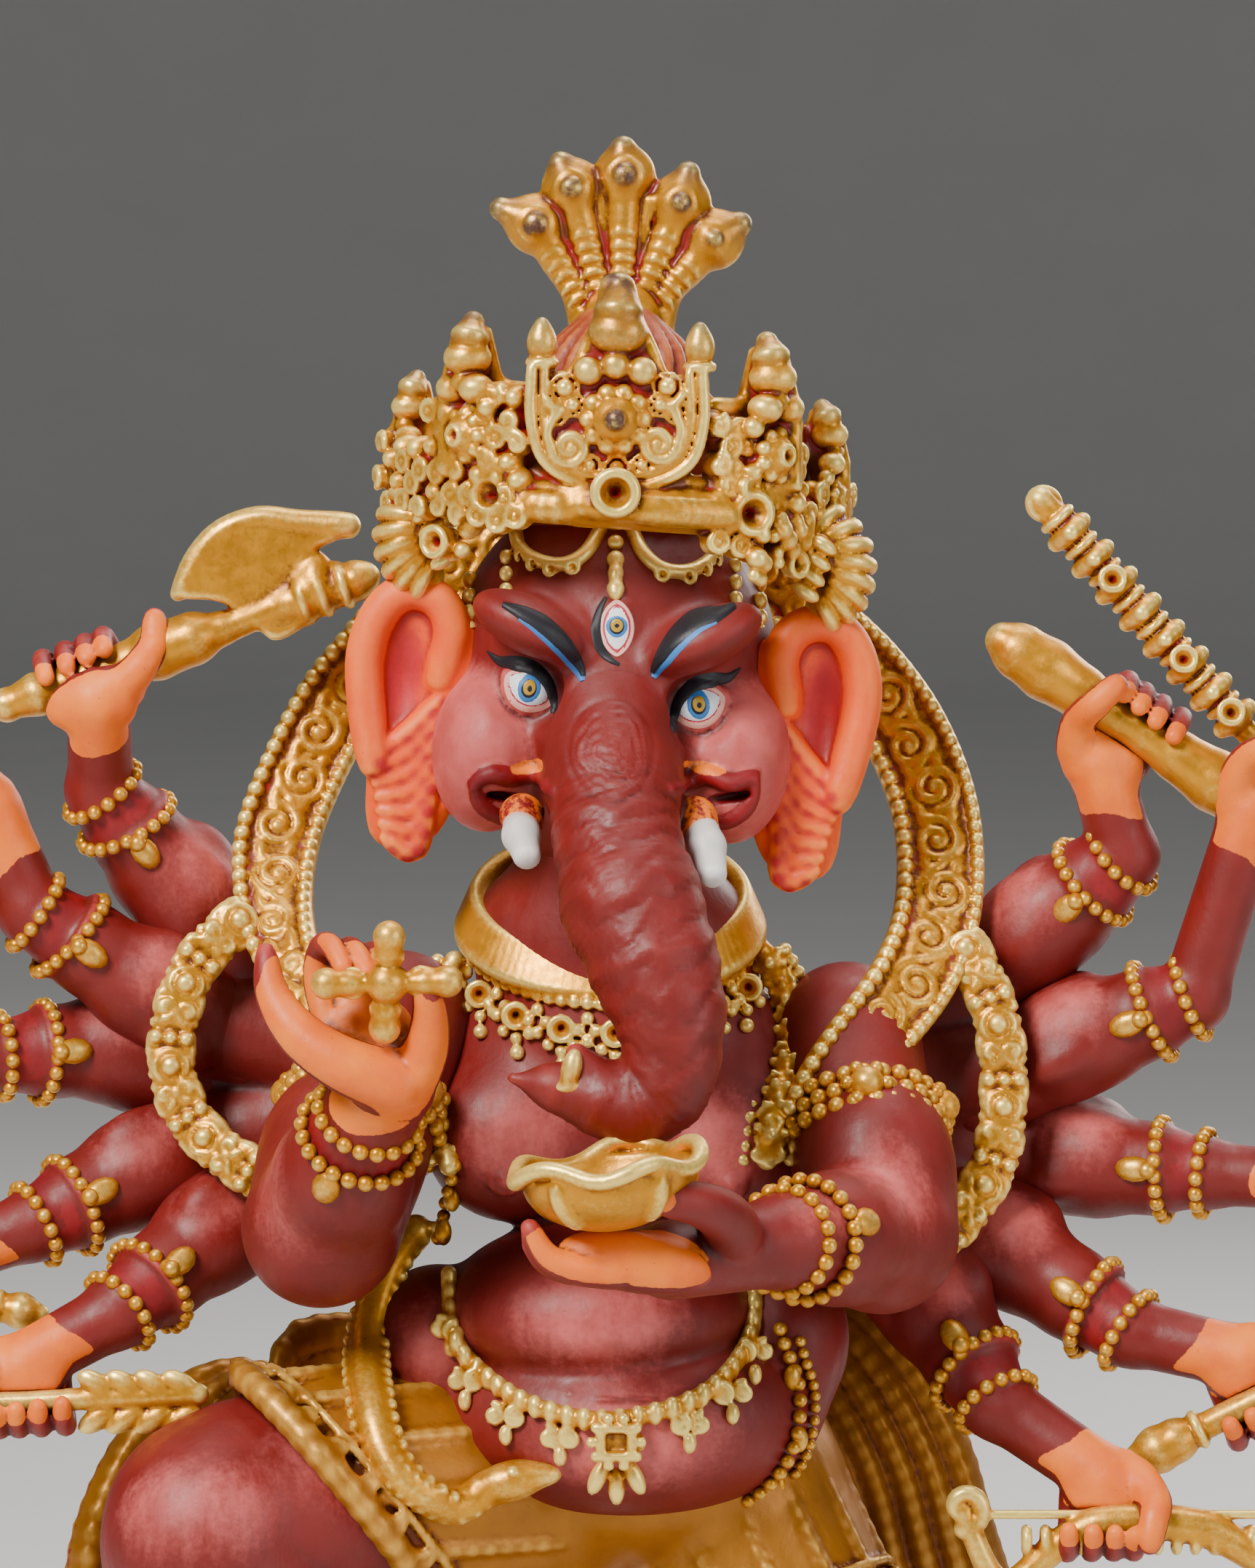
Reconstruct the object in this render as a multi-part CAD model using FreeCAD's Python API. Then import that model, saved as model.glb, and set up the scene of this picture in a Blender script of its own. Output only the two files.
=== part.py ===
"""Twelve-armed dancing ganesha idol, in millimetres.

+Z is up, the idol faces -Y, and the origin is the centre of the throne's underside.
"Right" and "left" in names are the idol's own: its right side is at -X.
Pieces are built in the order of assembly, and each is cut to seat on those already there.
"""
import FreeCAD
import Part
import math
import os

V = FreeCAD.Vector

# ---------------------------------------------------------------- driving dimensions
TOTAL_HEIGHT = 210.0        # underside of the throne to the tip of the cobra hood

THRONE_RADIUS = 33.0
THRONE_HEIGHT = 24.0
THRONE_WALL = 5.5           # thickness of the top and of the waist wall
CAVITY_RADIUS = 23.0
REBATE_RADIUS = 26.0        # step that the closing plate presses into
REBATE_DEPTH = 3.0
PLATE_THICKNESS = 1.6
PLATE_CLEARANCE = 0.08      # radial

FOOT_PIN_RADIUS = 1.2       # steel reinforcing pins
BODY_PIN_RADIUS = 2.0
SOLE_HEIGHT = 35.5          # where the standing foot rests on the mouse

CROWN_RADIUS = 15.6
LEAF_THICKNESS = 2.2

BAND_WIDTH = 6.2            # the broad scarf behind the head
BAND_THICKNESS = 1.8
BRACELET_TUBE = 0.85
CRUMB_SHARE = 0.08          # a cut may leave crumbs; solids under this share of the largest go

# ---------------------------------------------------------------- skeleton
HEAD_CENTRE = V(-0.4, -7.0, 162.0)
HEAD_ROLL = 4.5             # degrees; the idol's left side is lower

LEFT_LEG = [(V(8, -1, 93), 9.6), (V(22, -11, 67), 6.8), (V(9, -5, 44), 4.0)]
RIGHT_LEG = [(V(-8, -3, 92.5), 10.2), (V(-35, -17, 91.5), 8.8), (V(-15, -19, 64), 4.0)]
LEFT_TOE = V(17, -12, 38.2)
RIGHT_TOE = V(-5, -23, 57.5)

# Each rear arm leaves the fan at root, and its hand grips an implement at grip.
#   name: (root, swell, wrist, grip, implement's direction)
REAR_ARMS = {
    "axe": (V(-32.5, 8, 136.5), V(-40.2, 6, 145.8), V(-45.2, 3, 153.0), V(-45.8, 1, 163.2),
            V(0.94, 0.0, 0.335)),
    "goad": (V(-35.6, 5, 132.2), V(-42.0, 3, 136.0), V(-51.0, 1, 142.5), V(-58.0, -1, 150.4),
             V(-0.25, 0.0, 0.97)),
    "sword": (V(-36.2, 8, 127.1), V(-45.3, 5.6, 129.9), V(-54.2, 2.0, 129.6), V(-63.4, -2.0, 133.4),
              V(-0.22, 0.0, 0.97)),
    "spear": (V(-35.0, 5, 121.8), V(-43.0, 1, 119.0), V(-50.8, -3, 115.4), V(-58.6, -6, 109.6),
              V(-0.98, 0.0, 0.17)),
    "arrow": (V(-30.6, 3, 117.0), V(-36.0, -3, 114.0), V(-43.0, -9, 108.8), V(-50.8, -14, 102.0),
              V(-0.996, 0.0, -0.04)),
    "pestle": (V(32.0, 8, 135.8), V(39.3, 6, 142.2), V(44.4, 3, 147.2), V(44.6, 1, 158.9),
               V(0.83, 0.0, -0.55)),
    "skull_staff": (V(34.6, 5, 128.0), V(42.2, 3, 131.6), V(50.4, 1, 135.0), V(58.4, -1, 154.2),
                    V(-0.667, 0.0, 0.745)),
    "offering_cup": (V(33.8, 8, 120.8), V(42.8, 5, 119.6), V(51.8, 2, 119.2), V(60.5, -1, 119.0),
                     V(0.0, 0.0, 1.0)),
    "banner_lance": (V(28.5, 5, 115.8), V(35.2, 0, 112.0), V(44.6, -5, 106.4), V(55.6, -10, 101.6),
                     V(0.89, 0.0, 0.455)),
    "bow": (V(24.4, 3, 112.0), V(28.2, -3, 107.6), V(32.8, -9, 100.8), V(42.0, -15, 91.8),
            V(1.0, 0.0, 0.03)),
}
FAN_CENTRE = {-1: V(-15, 7, 127), 1: V(15, 7, 126)}
ARM_RADII = (4.9, 4.75, 3.15)       # at the root, the swell and the wrist
PALM_RADIUS = 3.1
FIST_RADIUS = 3.5
FIST_LENGTH = 6.4

# The two front arms: shoulder, elbow, wrist, palm.
FRONT_ARMS = {
    "vajra": (V(-19.0, -2, 133), V(-25.0, -17, 117.5), V(-20.6, -28, 128.6), V(-20.0, -32, 136.0)),
    "skull_cup": (V(20.0, -2, 132), V(22.4, -15, 116.5), V(14.2, -28, 118.2), V(2.0, -34.5, 117.6)),
}
FRONT_RADII = (6.4, 6.3, 4.1)

SCARF_RIGHT = [V(-19.5, 10.5, 167.5), V(-26.4, 9, 158), V(-29.6, 6, 149.5), V(-30.4, 1, 142.6),
               V(-28.8, -5, 136.6), V(-25.6, -8.5, 132.0), V(-22.2, -9.5, 128.2)]
SCARF_LEFT = [V(19.5, 10.5, 166.0), V(26.6, 9, 156.5), V(28.6, 6, 148.2), V(27.0, 0, 140.2),
              V(23.0, -6, 133.0), V(18.8, -9.5, 127.2), V(15.8, -10.5, 123.4)]
SCARF_ARCH = [V(-19.5, 10.5, 167.5), V(-12.5, 12.5, 173.5), V(0.0, 13.2, 176.2), V(12.0, 12.5, 172.6),
              V(19.5, 10.5, 166.0)]

ARC_RIGHT = [V(-33.4, 1.0, 142.0), V(-37.0, -0.5, 138.2), V(-38.6, -1.8, 132.4), V(-38.2, -2.2, 127.0),
             V(-35.8, -3.2, 123.4), V(-32.4, -5.0, 121.4), V(-29.6, -5.2, 120.0)]
ARC_LEFT = [V(30.4, 1.0, 139.6), V(32.8, -0.4, 134.0), V(33.6, -1.6, 127.6), V(32.8, -2.4, 121.2),
            V(30.0, -3.6, 116.8), V(26.4, -4.6, 114.2)]

made = {}                   # node name: finished shape, in the order of assembly
spaces = {}                 # node name: the shape before it was cut to seat on the others


# ---------------------------------------------------------------- shape helpers
def unit(v):
    return V(v).normalize()


def ball(centre, radius):
    return Part.makeSphere(radius, centre)


def ellipsoid(centre, rx, ry, rz, turn=None):
    """An ellipsoid; turn is (axis, degrees) about its own centre."""
    m = FreeCAD.Matrix()
    m.scale(V(rx, ry, rz))
    shape = Part.makeSphere(1.0).transformGeometry(m)
    if turn:
        shape.rotate(V(0, 0, 0), turn[0], turn[1])
    shape.translate(centre)
    return shape


def rod(a, b, radius, end_radius=None):
    """A straight round rod from a to b, tapered when end_radius is given."""
    length = (b - a).Length
    if end_radius is None or abs(end_radius - radius) < 1e-6:
        return Part.makeCylinder(radius, length, a, b - a)
    return Part.makeCone(radius, end_radius, length, a, b - a)


def fused(shapes):
    whole = shapes[0].fuse(shapes[1:]) if len(shapes) > 1 else shapes[0]
    return whole.removeSplitter()


def limb(points, cap_start=True, cap_end=True):
    """A chain of tapered rods with a ball at each joint; points is [(place, radius), ...]."""
    shapes = [rod(a, b, ra, rb) for (a, ra), (b, rb) in zip(points, points[1:])]
    first = 0 if cap_start else 1
    last = len(points) if cap_end else len(points) - 1
    shapes += [ball(p, r) for p, r in points[first:last]]
    return fused(shapes)


def ring(centre, axis, radius, tube):
    return Part.makeTorus(radius, tube, centre, axis)


def tube_along(points, radius):
    """A round tube along a smooth curve through the points."""
    curve = Part.BSplineCurve()
    curve.interpolate(points)
    start = curve.tangent(curve.FirstParameter)[0]
    section = Part.Wire(Part.makeCircle(radius, points[0], start))
    spine = Part.Wire(curve.toShape())
    return spine.makePipeShell([section], True, False)


def band_along(points, width, thickness, across):
    """A flat band lofted through the points; across(i, tangent) gives its width direction."""
    sections = []
    last = len(points) - 1
    for i, p in enumerate(points):
        tangent = unit(points[min(i + 1, last)] - points[max(i - 1, 0)])
        side = across(i, tangent)
        side = unit(side - tangent * side.dot(tangent))
        thick = unit(tangent.cross(side))
        w, t = side * (width / 2), thick * (thickness / 2)
        corners = [p - w - t, p + w - t, p + w + t, p - w + t]
        sections.append(Part.makePolygon(corners + corners[:1]))
    return Part.makeLoft(sections, True, False)


def revolved(profile, centre, axis):
    """A solid of revolution. profile is [(radius, height), ...] along axis from centre."""
    face = Part.Face(Part.makePolygon([V(r, 0, h) for r, h in profile + profile[:1]]))
    solid = face.revolve(V(0, 0, 0), V(0, 0, 1), 360)
    turn = FreeCAD.Rotation(V(0, 0, 1), axis)
    solid.Placement = FreeCAD.Placement(centre, turn)
    return solid


def plate(outline, normal_y, thickness):
    """A flat plate in the XZ plane at Y = normal_y, from an outline of (x, z) points."""
    points = [V(x, normal_y - thickness / 2, z) for x, z in outline]
    face = Part.Face(Part.makePolygon(points + points[:1]))
    return face.extrude(V(0, thickness, 0))


def head_place(x, y, z):
    """A point given in the head's own frame, which is rolled about Y."""
    turn = FreeCAD.Rotation(V(0, 1, 0), HEAD_ROLL)
    return HEAD_CENTRE + turn.multVec(V(x, y, z))


def add(name, shape, keep_all=False):
    """Keeps shape as a node, less the space of every piece made before it."""
    whole = shape
    for other in spaces.values():
        if shape.BoundBox.intersect(other.BoundBox):
            shape = shape.cut(other)
    solids = sorted(shape.Solids, key=lambda s: -s.Volume)
    limit = CRUMB_SHARE * solids[0].Volume
    solids = [s for s in solids if s.Volume > limit]
    if not keep_all:
        solids = solids[:1]
    spaces[name] = whole
    made[name] = solids[0] if len(solids) == 1 else Part.makeCompound(solids)


def add_group(name, shapes):
    """Several separate solids that share a node; each is seated by itself."""
    done = []
    for i, shape in enumerate(shapes):
        add(f"{name}_{i}", shape, keep_all=True)
        done += made.pop(f"{name}_{i}").Solids
    made[name] = Part.makeCompound(done)


# ---------------------------------------------------------------- pins and throne
def build_pins():
    """Steel pins are first, so that every casting gets its bore."""
    ankle = LEFT_LEG[2][0]
    foot_pin = rod(V(ankle.x, ankle.y, 19.5), V(ankle.x, ankle.y, 48), FOOT_PIN_RADIUS)
    neck_pin = rod(V(-0.5, -1, 134), V(-0.5, -1, 156), BODY_PIN_RADIUS)
    fan_pins = [rod(V(side * 8, 6, 127), V(side * 24, 6.5, 127), BODY_PIN_RADIUS) for side in (-1, 1)]
    add_group("steel_pins", [foot_pin, neck_pin] + fan_pins)


def build_throne():
    outer = [
        (0, 0), (THRONE_RADIUS - 0.8, 0), (THRONE_RADIUS, 0.8), (THRONE_RADIUS, 3.0), (32.2, 3.8),
        (33.4, 6.0), (33.6, 8.5), (32.2, 10.8), (29.0, 12.3), (31.2, 14.2), (32.2, 16.5),
        (31.6, 19.0), (29.4, 20.6), (29.2, 22.8), (28.0, THRONE_HEIGHT), (0, THRONE_HEIGHT),
    ]
    throne = revolved(outer, V(0, 0, 0), V(0, 0, 1))
    cavity_top = THRONE_HEIGHT - THRONE_WALL
    cavity = Part.makeCylinder(CAVITY_RADIUS, cavity_top)
    rebate = Part.makeCylinder(REBATE_RADIUS, REBATE_DEPTH)
    add("throne", throne.cut(cavity).cut(rebate))
    disc = Part.makeCylinder(REBATE_RADIUS - PLATE_CLEARANCE, PLATE_THICKNESS,
                             V(0, 0, REBATE_DEPTH - PLATE_THICKNESS))
    notch = Part.makeCylinder(2.0, PLATE_THICKNESS, V(0, -REBATE_RADIUS, REBATE_DEPTH - PLATE_THICKNESS))
    add("closing_plate", disc.cut(notch))


def build_mouse():
    body = fused([
        ellipsoid(V(5, -4, 29.8), 15.0, 8.2, 6.9),
        ellipsoid(V(-7, -4, 29.0), 7.4, 7.8, 6.0),
        ellipsoid(V(20.5, -7, 28.6), 6.6, 4.6, 4.4, (V(0, 0, 1), -18)),
    ])
    slab = Part.makeBox(80, 60, 12, V(-40, -30, THRONE_HEIGHT))
    standing = Part.makeBox(30, 22, 10, V(-1, -18, SOLE_HEIGHT))
    tail = tube_along([V(-12.0, -3, 26.6), V(-18, -6, 25.4), V(-19, -12.5, 25.2), V(-13, -16, 25.2)], 1.1)
    add("mouse", fused([body.common(slab).cut(standing), tail]))


# ---------------------------------------------------------------- figure
def build_torso():
    chest = ellipsoid(V(0.5, -0.5, 127), 16.2, 10.8, 14.0)
    belly_roll = ellipsoid(V(-1.5, -8.0, 109.0), 13.6, 12.4, 7.8)
    belly = ellipsoid(V(0.8, -7.0, 101.0), 17.4, 14.6, 11.0)
    neck = rod(V(-0.5, -1.5, 134), V(-0.5, -3.0, 152), 9.4, 7.6)
    add("torso", fused([chest, belly_roll, belly, neck]))


def foot(ankle, toe, radius):
    heel = ankle + (ankle - toe) * 0.18
    heel.z = toe.z + 0.4
    middle = (ankle + toe) * 0.5
    return fused([rod(ankle, heel, radius, radius * 0.8), ball(heel, radius * 0.8),
                  rod(heel, toe, radius * 0.8, radius * 0.72), ball(toe, radius * 0.72),
                  rod(ankle, middle, radius, radius * 0.6)])


def build_legs():
    left = limb(LEFT_LEG).fuse(foot(LEFT_LEG[2][0], LEFT_TOE, 3.6))
    left = left.cut(Part.makeBox(40, 40, 10, V(-10, -30, SOLE_HEIGHT - 10)))
    add("leg_left", left)
    add("leg_right", limb(RIGHT_LEG).fuse(foot(RIGHT_LEG[2][0], RIGHT_TOE, 3.6)))


def build_fans():
    """The cast cluster of upper arms on each side."""
    for side, name in ((-1, "arm_fan_right"), (1, "arm_fan_left")):
        centre = FAN_CENTRE[side]
        stumps = [rod(centre, arm[0], 6.2, ARM_RADII[0] - 0.25)
                  for arm in REAR_ARMS.values() if arm[0].x * side > 0]
        add(name, fused(stumps + [ball(centre, 6.4)]))


def fist(wrist, grip, direction):
    """A palm that ends in a closed fist around the implement's line."""
    d = unit(direction)
    start = grip - d * (FIST_LENGTH / 2)
    palm_end = grip + unit(wrist - grip) * 2.0
    return fused([rod(wrist, palm_end, ARM_RADII[2] - 0.25, PALM_RADIUS), ball(palm_end, PALM_RADIUS),
                  rod(start, start + d * FIST_LENGTH, FIST_RADIUS)])


def build_rear_arms():
    for name, (root, swell, wrist, grip, direction) in REAR_ARMS.items():
        r0, r1, r2 = ARM_RADII
        arm = limb([(root, r0), (swell, r1), (wrist, r2)], cap_start=False)
        if name == "offering_cup":
            hand = fused([rod(wrist, grip, 2.9, 3.3), ball(grip, 3.3)])
        else:
            hand = fist(wrist, grip, direction)
        add("arm_" + name, arm.fuse(hand))


def build_front_arms():
    for name, (shoulder, elbow, wrist, palm) in FRONT_ARMS.items():
        r0, r1, r2 = FRONT_RADII
        arm = limb([(shoulder, r0), (elbow, r1), (wrist, r2)])
        hand = [rod(wrist, palm, r2 - 0.3, 3.6), ball(palm, 3.6)]
        if name == "vajra":
            hand += [rod(palm, V(-26.5, -33, 141.5), 2.0, 1.0), rod(palm, V(-16.0, -33, 141.0), 2.0, 1.1)]
        else:
            hand += [rod(palm, V(-6.5, -36, 118.0), 3.0, 1.4), rod(V(8, -33, 118.5), V(4.2, -37, 123.0), 1.8)]
        add("arm_" + name, arm.fuse(hand))


# ---------------------------------------------------------------- head
TRUNK = [(head_place(0.2, -16.5, -3.0), 6.0), (V(0.2, -27.0, 152.8), 6.2), (V(1.8, -29.5, 146.8), 5.2),
         (V(4.1, -30.5, 140.8), 4.7), (V(5.4, -30.0, 135.5), 4.0), (V(4.5, -29.3, 131.3), 3.6),
         (V(1.2, -28.8, 129.2), 3.2), (V(-3.2, -28.8, 130.4), 2.5), (V(-7.6, -29.2, 132.2), 1.0)]


def build_head():
    skull = ellipsoid(head_place(0, 1.0, 4.0), 13.4, 13.5, 15.0)
    cheeks = [ellipsoid(head_place(s * 8.2, -4.5, -4.2), 7.4, 8.6, 8.8) for s in (-1, 1)]
    muzzle = ellipsoid(head_place(0, -9.5, -1.5), 8.0, 10.5, 11.5)
    jaw = ellipsoid(head_place(0, -2.0, -8.0), 9.0, 10.0, 6.6)
    trunk = limb(TRUNK)
    finger = rod(V(-3.4, -28.8, 131.0), V(-3.6, -29.6, 134.8), 1.7, 0.8)
    add("head", fused([skull, muzzle, jaw, trunk, finger] + cheeks))
    for side, name in ((-1, "ear_right"), (1, "ear_left")):
        lobe = fused([
            ellipsoid(head_place(side * 17.6, -1.0, 2.4), 4.8, 2.6, 8.2),
            ellipsoid(head_place(side * 16.4, -1.8, -7.0), 3.6, 2.4, 7.4, (V(0, 1, 0), side * -10)),
        ])
        add(name, lobe)
    add_group("tusks", [
        limb([(head_place(side * 7.4, -15.0, -8.4), 1.7), (head_place(side * 7.6, -20.5, -13.6), 1.2)])
        for side in (-1, 1)])


def leaf(centre, out, height, width, thickness):
    """One upright crown leaf facing the way out: a pointed plate on a stepped boss."""
    side = unit(out.cross(V(0, 0, 1)))
    half = [(0.50, 0.0), (0.50, 0.42), (0.34, 0.60), (0.22, 0.76), (0.16, 0.92)]
    outline = [(-x, z) for x, z in half] + [(0.0, 1.0)] + [(x, z) for x, z in reversed(half)]
    points = [centre - out * (thickness / 2) + side * (x * width) + V(0, 0, z * height)
              for x, z in outline]
    face = Part.Face(Part.makePolygon(points + points[:1]))
    blade = face.extrude(out * thickness)
    boss = [ball(centre + out * (thickness / 2) + V(0, 0, height * z), width * r)
            for z, r in ((0.22, 0.26), (0.50, 0.20), (0.72, 0.15))]
    return fused([blade] + boss)


def crown_leaf_at(angle, height, width):
    a = math.radians(angle)
    out = V(math.sin(a), -math.cos(a), 0)
    foot_point = head_place(out.x * CROWN_RADIUS, 0.5 + out.y * CROWN_RADIUS, 16.4)
    return leaf(foot_point, out, height, width, LEAF_THICKNESS)


def build_crown():
    base = head_place(0, 0.5, 15.8)
    up = head_place(0, 0.5, 20.0) - base
    band = revolved([(11.6, -1.6), (15.4, -1.6), (15.8, 1.4), (11.6, 1.4)], base, up)
    add("crown_band", band)
    add("hair_knot", fused([
        ellipsoid(head_place(0, 4.0, 18.0), 10.5, 9.5, 8.0),
        ellipsoid(head_place(0, 6.0, 25.0), 6.0, 5.5, 7.5),
    ]))
    # node: (angles from the front, height, width)
    leaves = {"crown_leaf_front": ((0,), 19.0, 15.0),
              "crown_leaves_diagonal": ((-42, 42), 15.0, 8.0),
              "crown_leaves_side": ((-80, 80), 12.5, 7.0)}
    for name, (angles, height, width) in leaves.items():
        add_group(name, [crown_leaf_at(angle, height, width) for angle in angles])
    add_group("ear_rosettes", [ellipsoid(head_place(side * 18.2, -1.5, 13.4), 4.4, 4.0, 5.2)
                               for side in (-1, 1)])
    build_hood()


def build_hood():
    """Five cobra heads in a flat fan on one neck."""
    root = V(0.4, 0.5, 184.5)
    throat = V(0.5, 1.5, 193.5)
    heads = []
    for i in range(5):
        angle = math.radians(90 + (2 - i) * 31)
        reach = (11.6, 13.4, 14.2, 13.4, 11.6)[i]
        top = throat + V(math.cos(angle), 0, math.sin(angle)) * (reach - 0.6)
        heads.append(limb([(throat, 1.7), (throat + (top - throat) * 0.7, 2.3), (top, 0.9)]))
    stem = limb([(root, 2.9), (throat, 2.5)], cap_start=False)
    hood = fused([stem] + heads)
    gap = TOTAL_HEIGHT - hood.BoundBox.ZMax
    hood.translate(V(0, 0, gap))
    add("snake_hood", hood)


# ---------------------------------------------------------------- implements
def along(grip, direction, distance):
    return grip + unit(direction) * distance


def shaft(name, back, front, radius):
    """The rod through a fist, from back behind the grip to front ahead of it."""
    _, _, _, grip, direction = REAR_ARMS[name]
    return rod(along(grip, direction, -back), along(grip, direction, front), radius)


def turned(name, stations):
    """A turned solid on the implement's line: stations are (distance from the grip, radius)."""
    _, _, _, grip, direction = REAR_ARMS[name]
    profile = [(0.0, stations[0][0])] + [(r, d) for d, r in stations] + [(0.0, stations[-1][0])]
    return revolved(profile, grip, direction)


def build_rods():
    """The parts that fists close on, so they are made before the arms."""
    add("axe", fused([
        turned("axe", [(-7.2, 1.2), (-6.2, 2.2), (-4.6, 2.2), (-3.6, 1.3), (3.6, 1.4), (5.2, 2.4),
                       (9.6, 2.2), (11.0, 1.3), (18.6, 1.2), (20.0, 2.0), (24.6, 1.9), (25.4, 1.2)]),
        plate([(-38.2, 170.6), (-36.8, 174.4), (-33.4, 176.9), (-29.0, 177.1), (-23.4, 176.3),
               (-25.2, 174.4), (-27.0, 172.2), (-27.2, 168.8), (-30.0, 168.0), (-33.0, 169.8)],
              REAR_ARMS["axe"][3].y, 1.8)]))
    add("pestle", turned("pestle", [(-12.0, 0.9), (-11.0, 2.2), (-8.6, 2.7), (-5.4, 2.2), (-1.8, 1.5),
                                    (1.8, 1.5), (6.0, 2.3), (9.6, 2.8), (12.6, 2.3), (13.8, 0.9)]))
    add("skull_staff", turned("skull_staff", [(-16.0, 1.0), (-15.0, 1.3), (12.0, 1.3), (14.0, 2.0),
                                              (22.0, 1.8), (30.0, 1.6), (32.6, 1.0)]))
    _, _, _, grip, direction = REAR_ARMS["goad"]
    top = along(grip, direction, 18)
    hook = tube_along([top - V(0, 0, 5), top + V(-3.2, 0, -3.0), top + V(-5.2, 0, -6.4)], 0.9)
    spike = limb([(top - V(0, 0, 0.6), 1.6), (top + V(-0.9, 0, 3.2), 0.5)])
    add("goad", fused([shaft("goad", 8, 18, 1.2), spike, hook]))
    _, _, _, grip, direction = REAR_ARMS["sword"]
    guard = along(grip, direction, 4.4)
    tip = along(grip, direction, 38)
    side = unit(V(direction.z, 0, -direction.x))
    blade_outline = [guard - side * 2.0, along(grip, direction, 32) - side * 2.2, tip,
                     along(grip, direction, 32) + side * 2.2, guard + side * 2.0]
    face = Part.Face(Part.makePolygon(blade_outline + blade_outline[:1]))
    blade = face.extrude(unit(direction.cross(side)) * 1.2)
    add("sword", fused([shaft("sword", 5.5, 5, 1.2), blade, rod(guard - side * 3.6, guard + side * 3.6, 1.0),
                        ball(along(grip, direction, -6), 1.7)]))
    add("spear", turned("spear", [(-8.6, 0.7), (-7.2, 1.7), (-5.2, 1.2), (12.0, 1.1), (13.2, 2.0),
                                  (17.0, 2.3), (24.0, 0.4)]))
    arrow = turned("arrow", [(-11.6, 0.9), (20.0, 0.9), (21.0, 2.0), (26.0, 0.3)])
    grip = REAR_ARMS["arrow"][3]
    vanes = [(6.4, -2.2), (14.4, -1.8), (15.4, 0.8), (13.8, 3.2), (7.2, 2.6), (5.2, 0.4)]
    feathers = plate([(grip.x + x, grip.z + z) for x, z in vanes], grip.y, 1.2)
    add("arrow", fused([arrow, feathers]))
    add("banner_lance", fused([
        turned("banner_lance", [(-11.4, 1.2), (-10.4, 2.0), (-8.0, 2.0), (-6.8, 1.3), (14.0, 1.2),
                                (15.0, 1.9), (23.0, 0.3)]),
        plate([(61.5, 104.2), (67.5, 107.4), (71.5, 98.0), (66.0, 99.6), (64.4, 95.6)],
              REAR_ARMS["banner_lance"][3].y, 1.0)]))
    build_bow()


def build_bow():
    grip = REAR_ARMS["bow"][3]
    reach = 12.4
    stave = tube_along([grip + V(-reach, 0, 0.4), grip + V(-9, 0, -5.6), grip + V(-4, 0, -1.6), grip,
                        grip + V(12, 0, -1.6), grip + V(23, 0, -5.6), grip + V(28, 0, 0.4)], 1.2)
    string = rod(grip + V(-reach, 0, 0.4), grip + V(28, 0, 0.4), 0.45)
    add("bow", fused([stave, string, ball(grip + V(-reach, 0, 0.4), 1.6), ball(grip + V(28, 0, 0.4), 1.6)]))


def bowl(centre, radius, height, wall):
    outer = [(radius * 0.35, 0), (radius * 0.80, height * 0.2), (radius, height)]
    inner = [(radius - wall, height), (radius * 0.76 - wall, height * 0.2 + wall * 0.6), (0, wall * 1.3)]
    return revolved([(0, 0)] + outer + inner, centre, V(0, 0, 1))


def build_cups():
    """The skull cup lies in the front left palm, the offering cup in a rear left palm."""
    add("skull_cup", bowl(V(-0.6, -38.4, 120.4), 7.2, 7.2, 1.0))
    grip = REAR_ARMS["offering_cup"][3]
    heap = ellipsoid(grip + V(1.0, 0, 6.4), 4.0, 4.0, 3.2)
    add("offering_cup", bowl(grip + V(1.0, 0, 1.6), 5.2, 5.0, 1.0).fuse(heap))


def build_vajra():
    centre = V(-18.6, -36.5, 140.8)
    bars = [limb([(centre - d * reach, 1.1), (centre, 1.0), (centre + d * reach, 1.1)])
            for d, reach in ((V(1, 0, 0.02), 4.4), (V(0.06, 0, 1), 3.6))]
    add("vajra", fused(bars + [ball(centre, 1.5)]))


# ---------------------------------------------------------------- ornaments and cloth
def build_scarf():
    def facing(i, tangent):
        return tangent.cross(V(0, 1, 0))
    add("scarf_arch", band_along(SCARF_ARCH, BAND_WIDTH, BAND_THICKNESS, facing))
    add("scarf_right", band_along(SCARF_RIGHT, BAND_WIDTH, BAND_THICKNESS, facing))
    add("scarf_left", band_along(SCARF_LEFT, BAND_WIDTH, BAND_THICKNESS, facing))


def bracelets():
    """Two rings on each forearm, and an armlet on each front arm."""
    rings = []
    for _, swell, wrist, _, _ in REAR_ARMS.values():
        axis = unit(wrist - swell)
        rings += [ring(wrist - axis * d, axis, r, BRACELET_TUBE) for d, r in ((0.2, 3.35), (3.9, 4.05))]
    for shoulder, elbow, wrist, _ in FRONT_ARMS.values():
        axis = unit(wrist - elbow)
        rings += [ring(wrist - axis * d, axis, r, BRACELET_TUBE) for d, r in ((-0.6, 4.2), (2.6, 4.85))]
        axis = unit(elbow - shoulder)
        rings.append(ring(shoulder + axis * 9.2, axis, 6.6, 1.0))
    return rings


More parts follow.
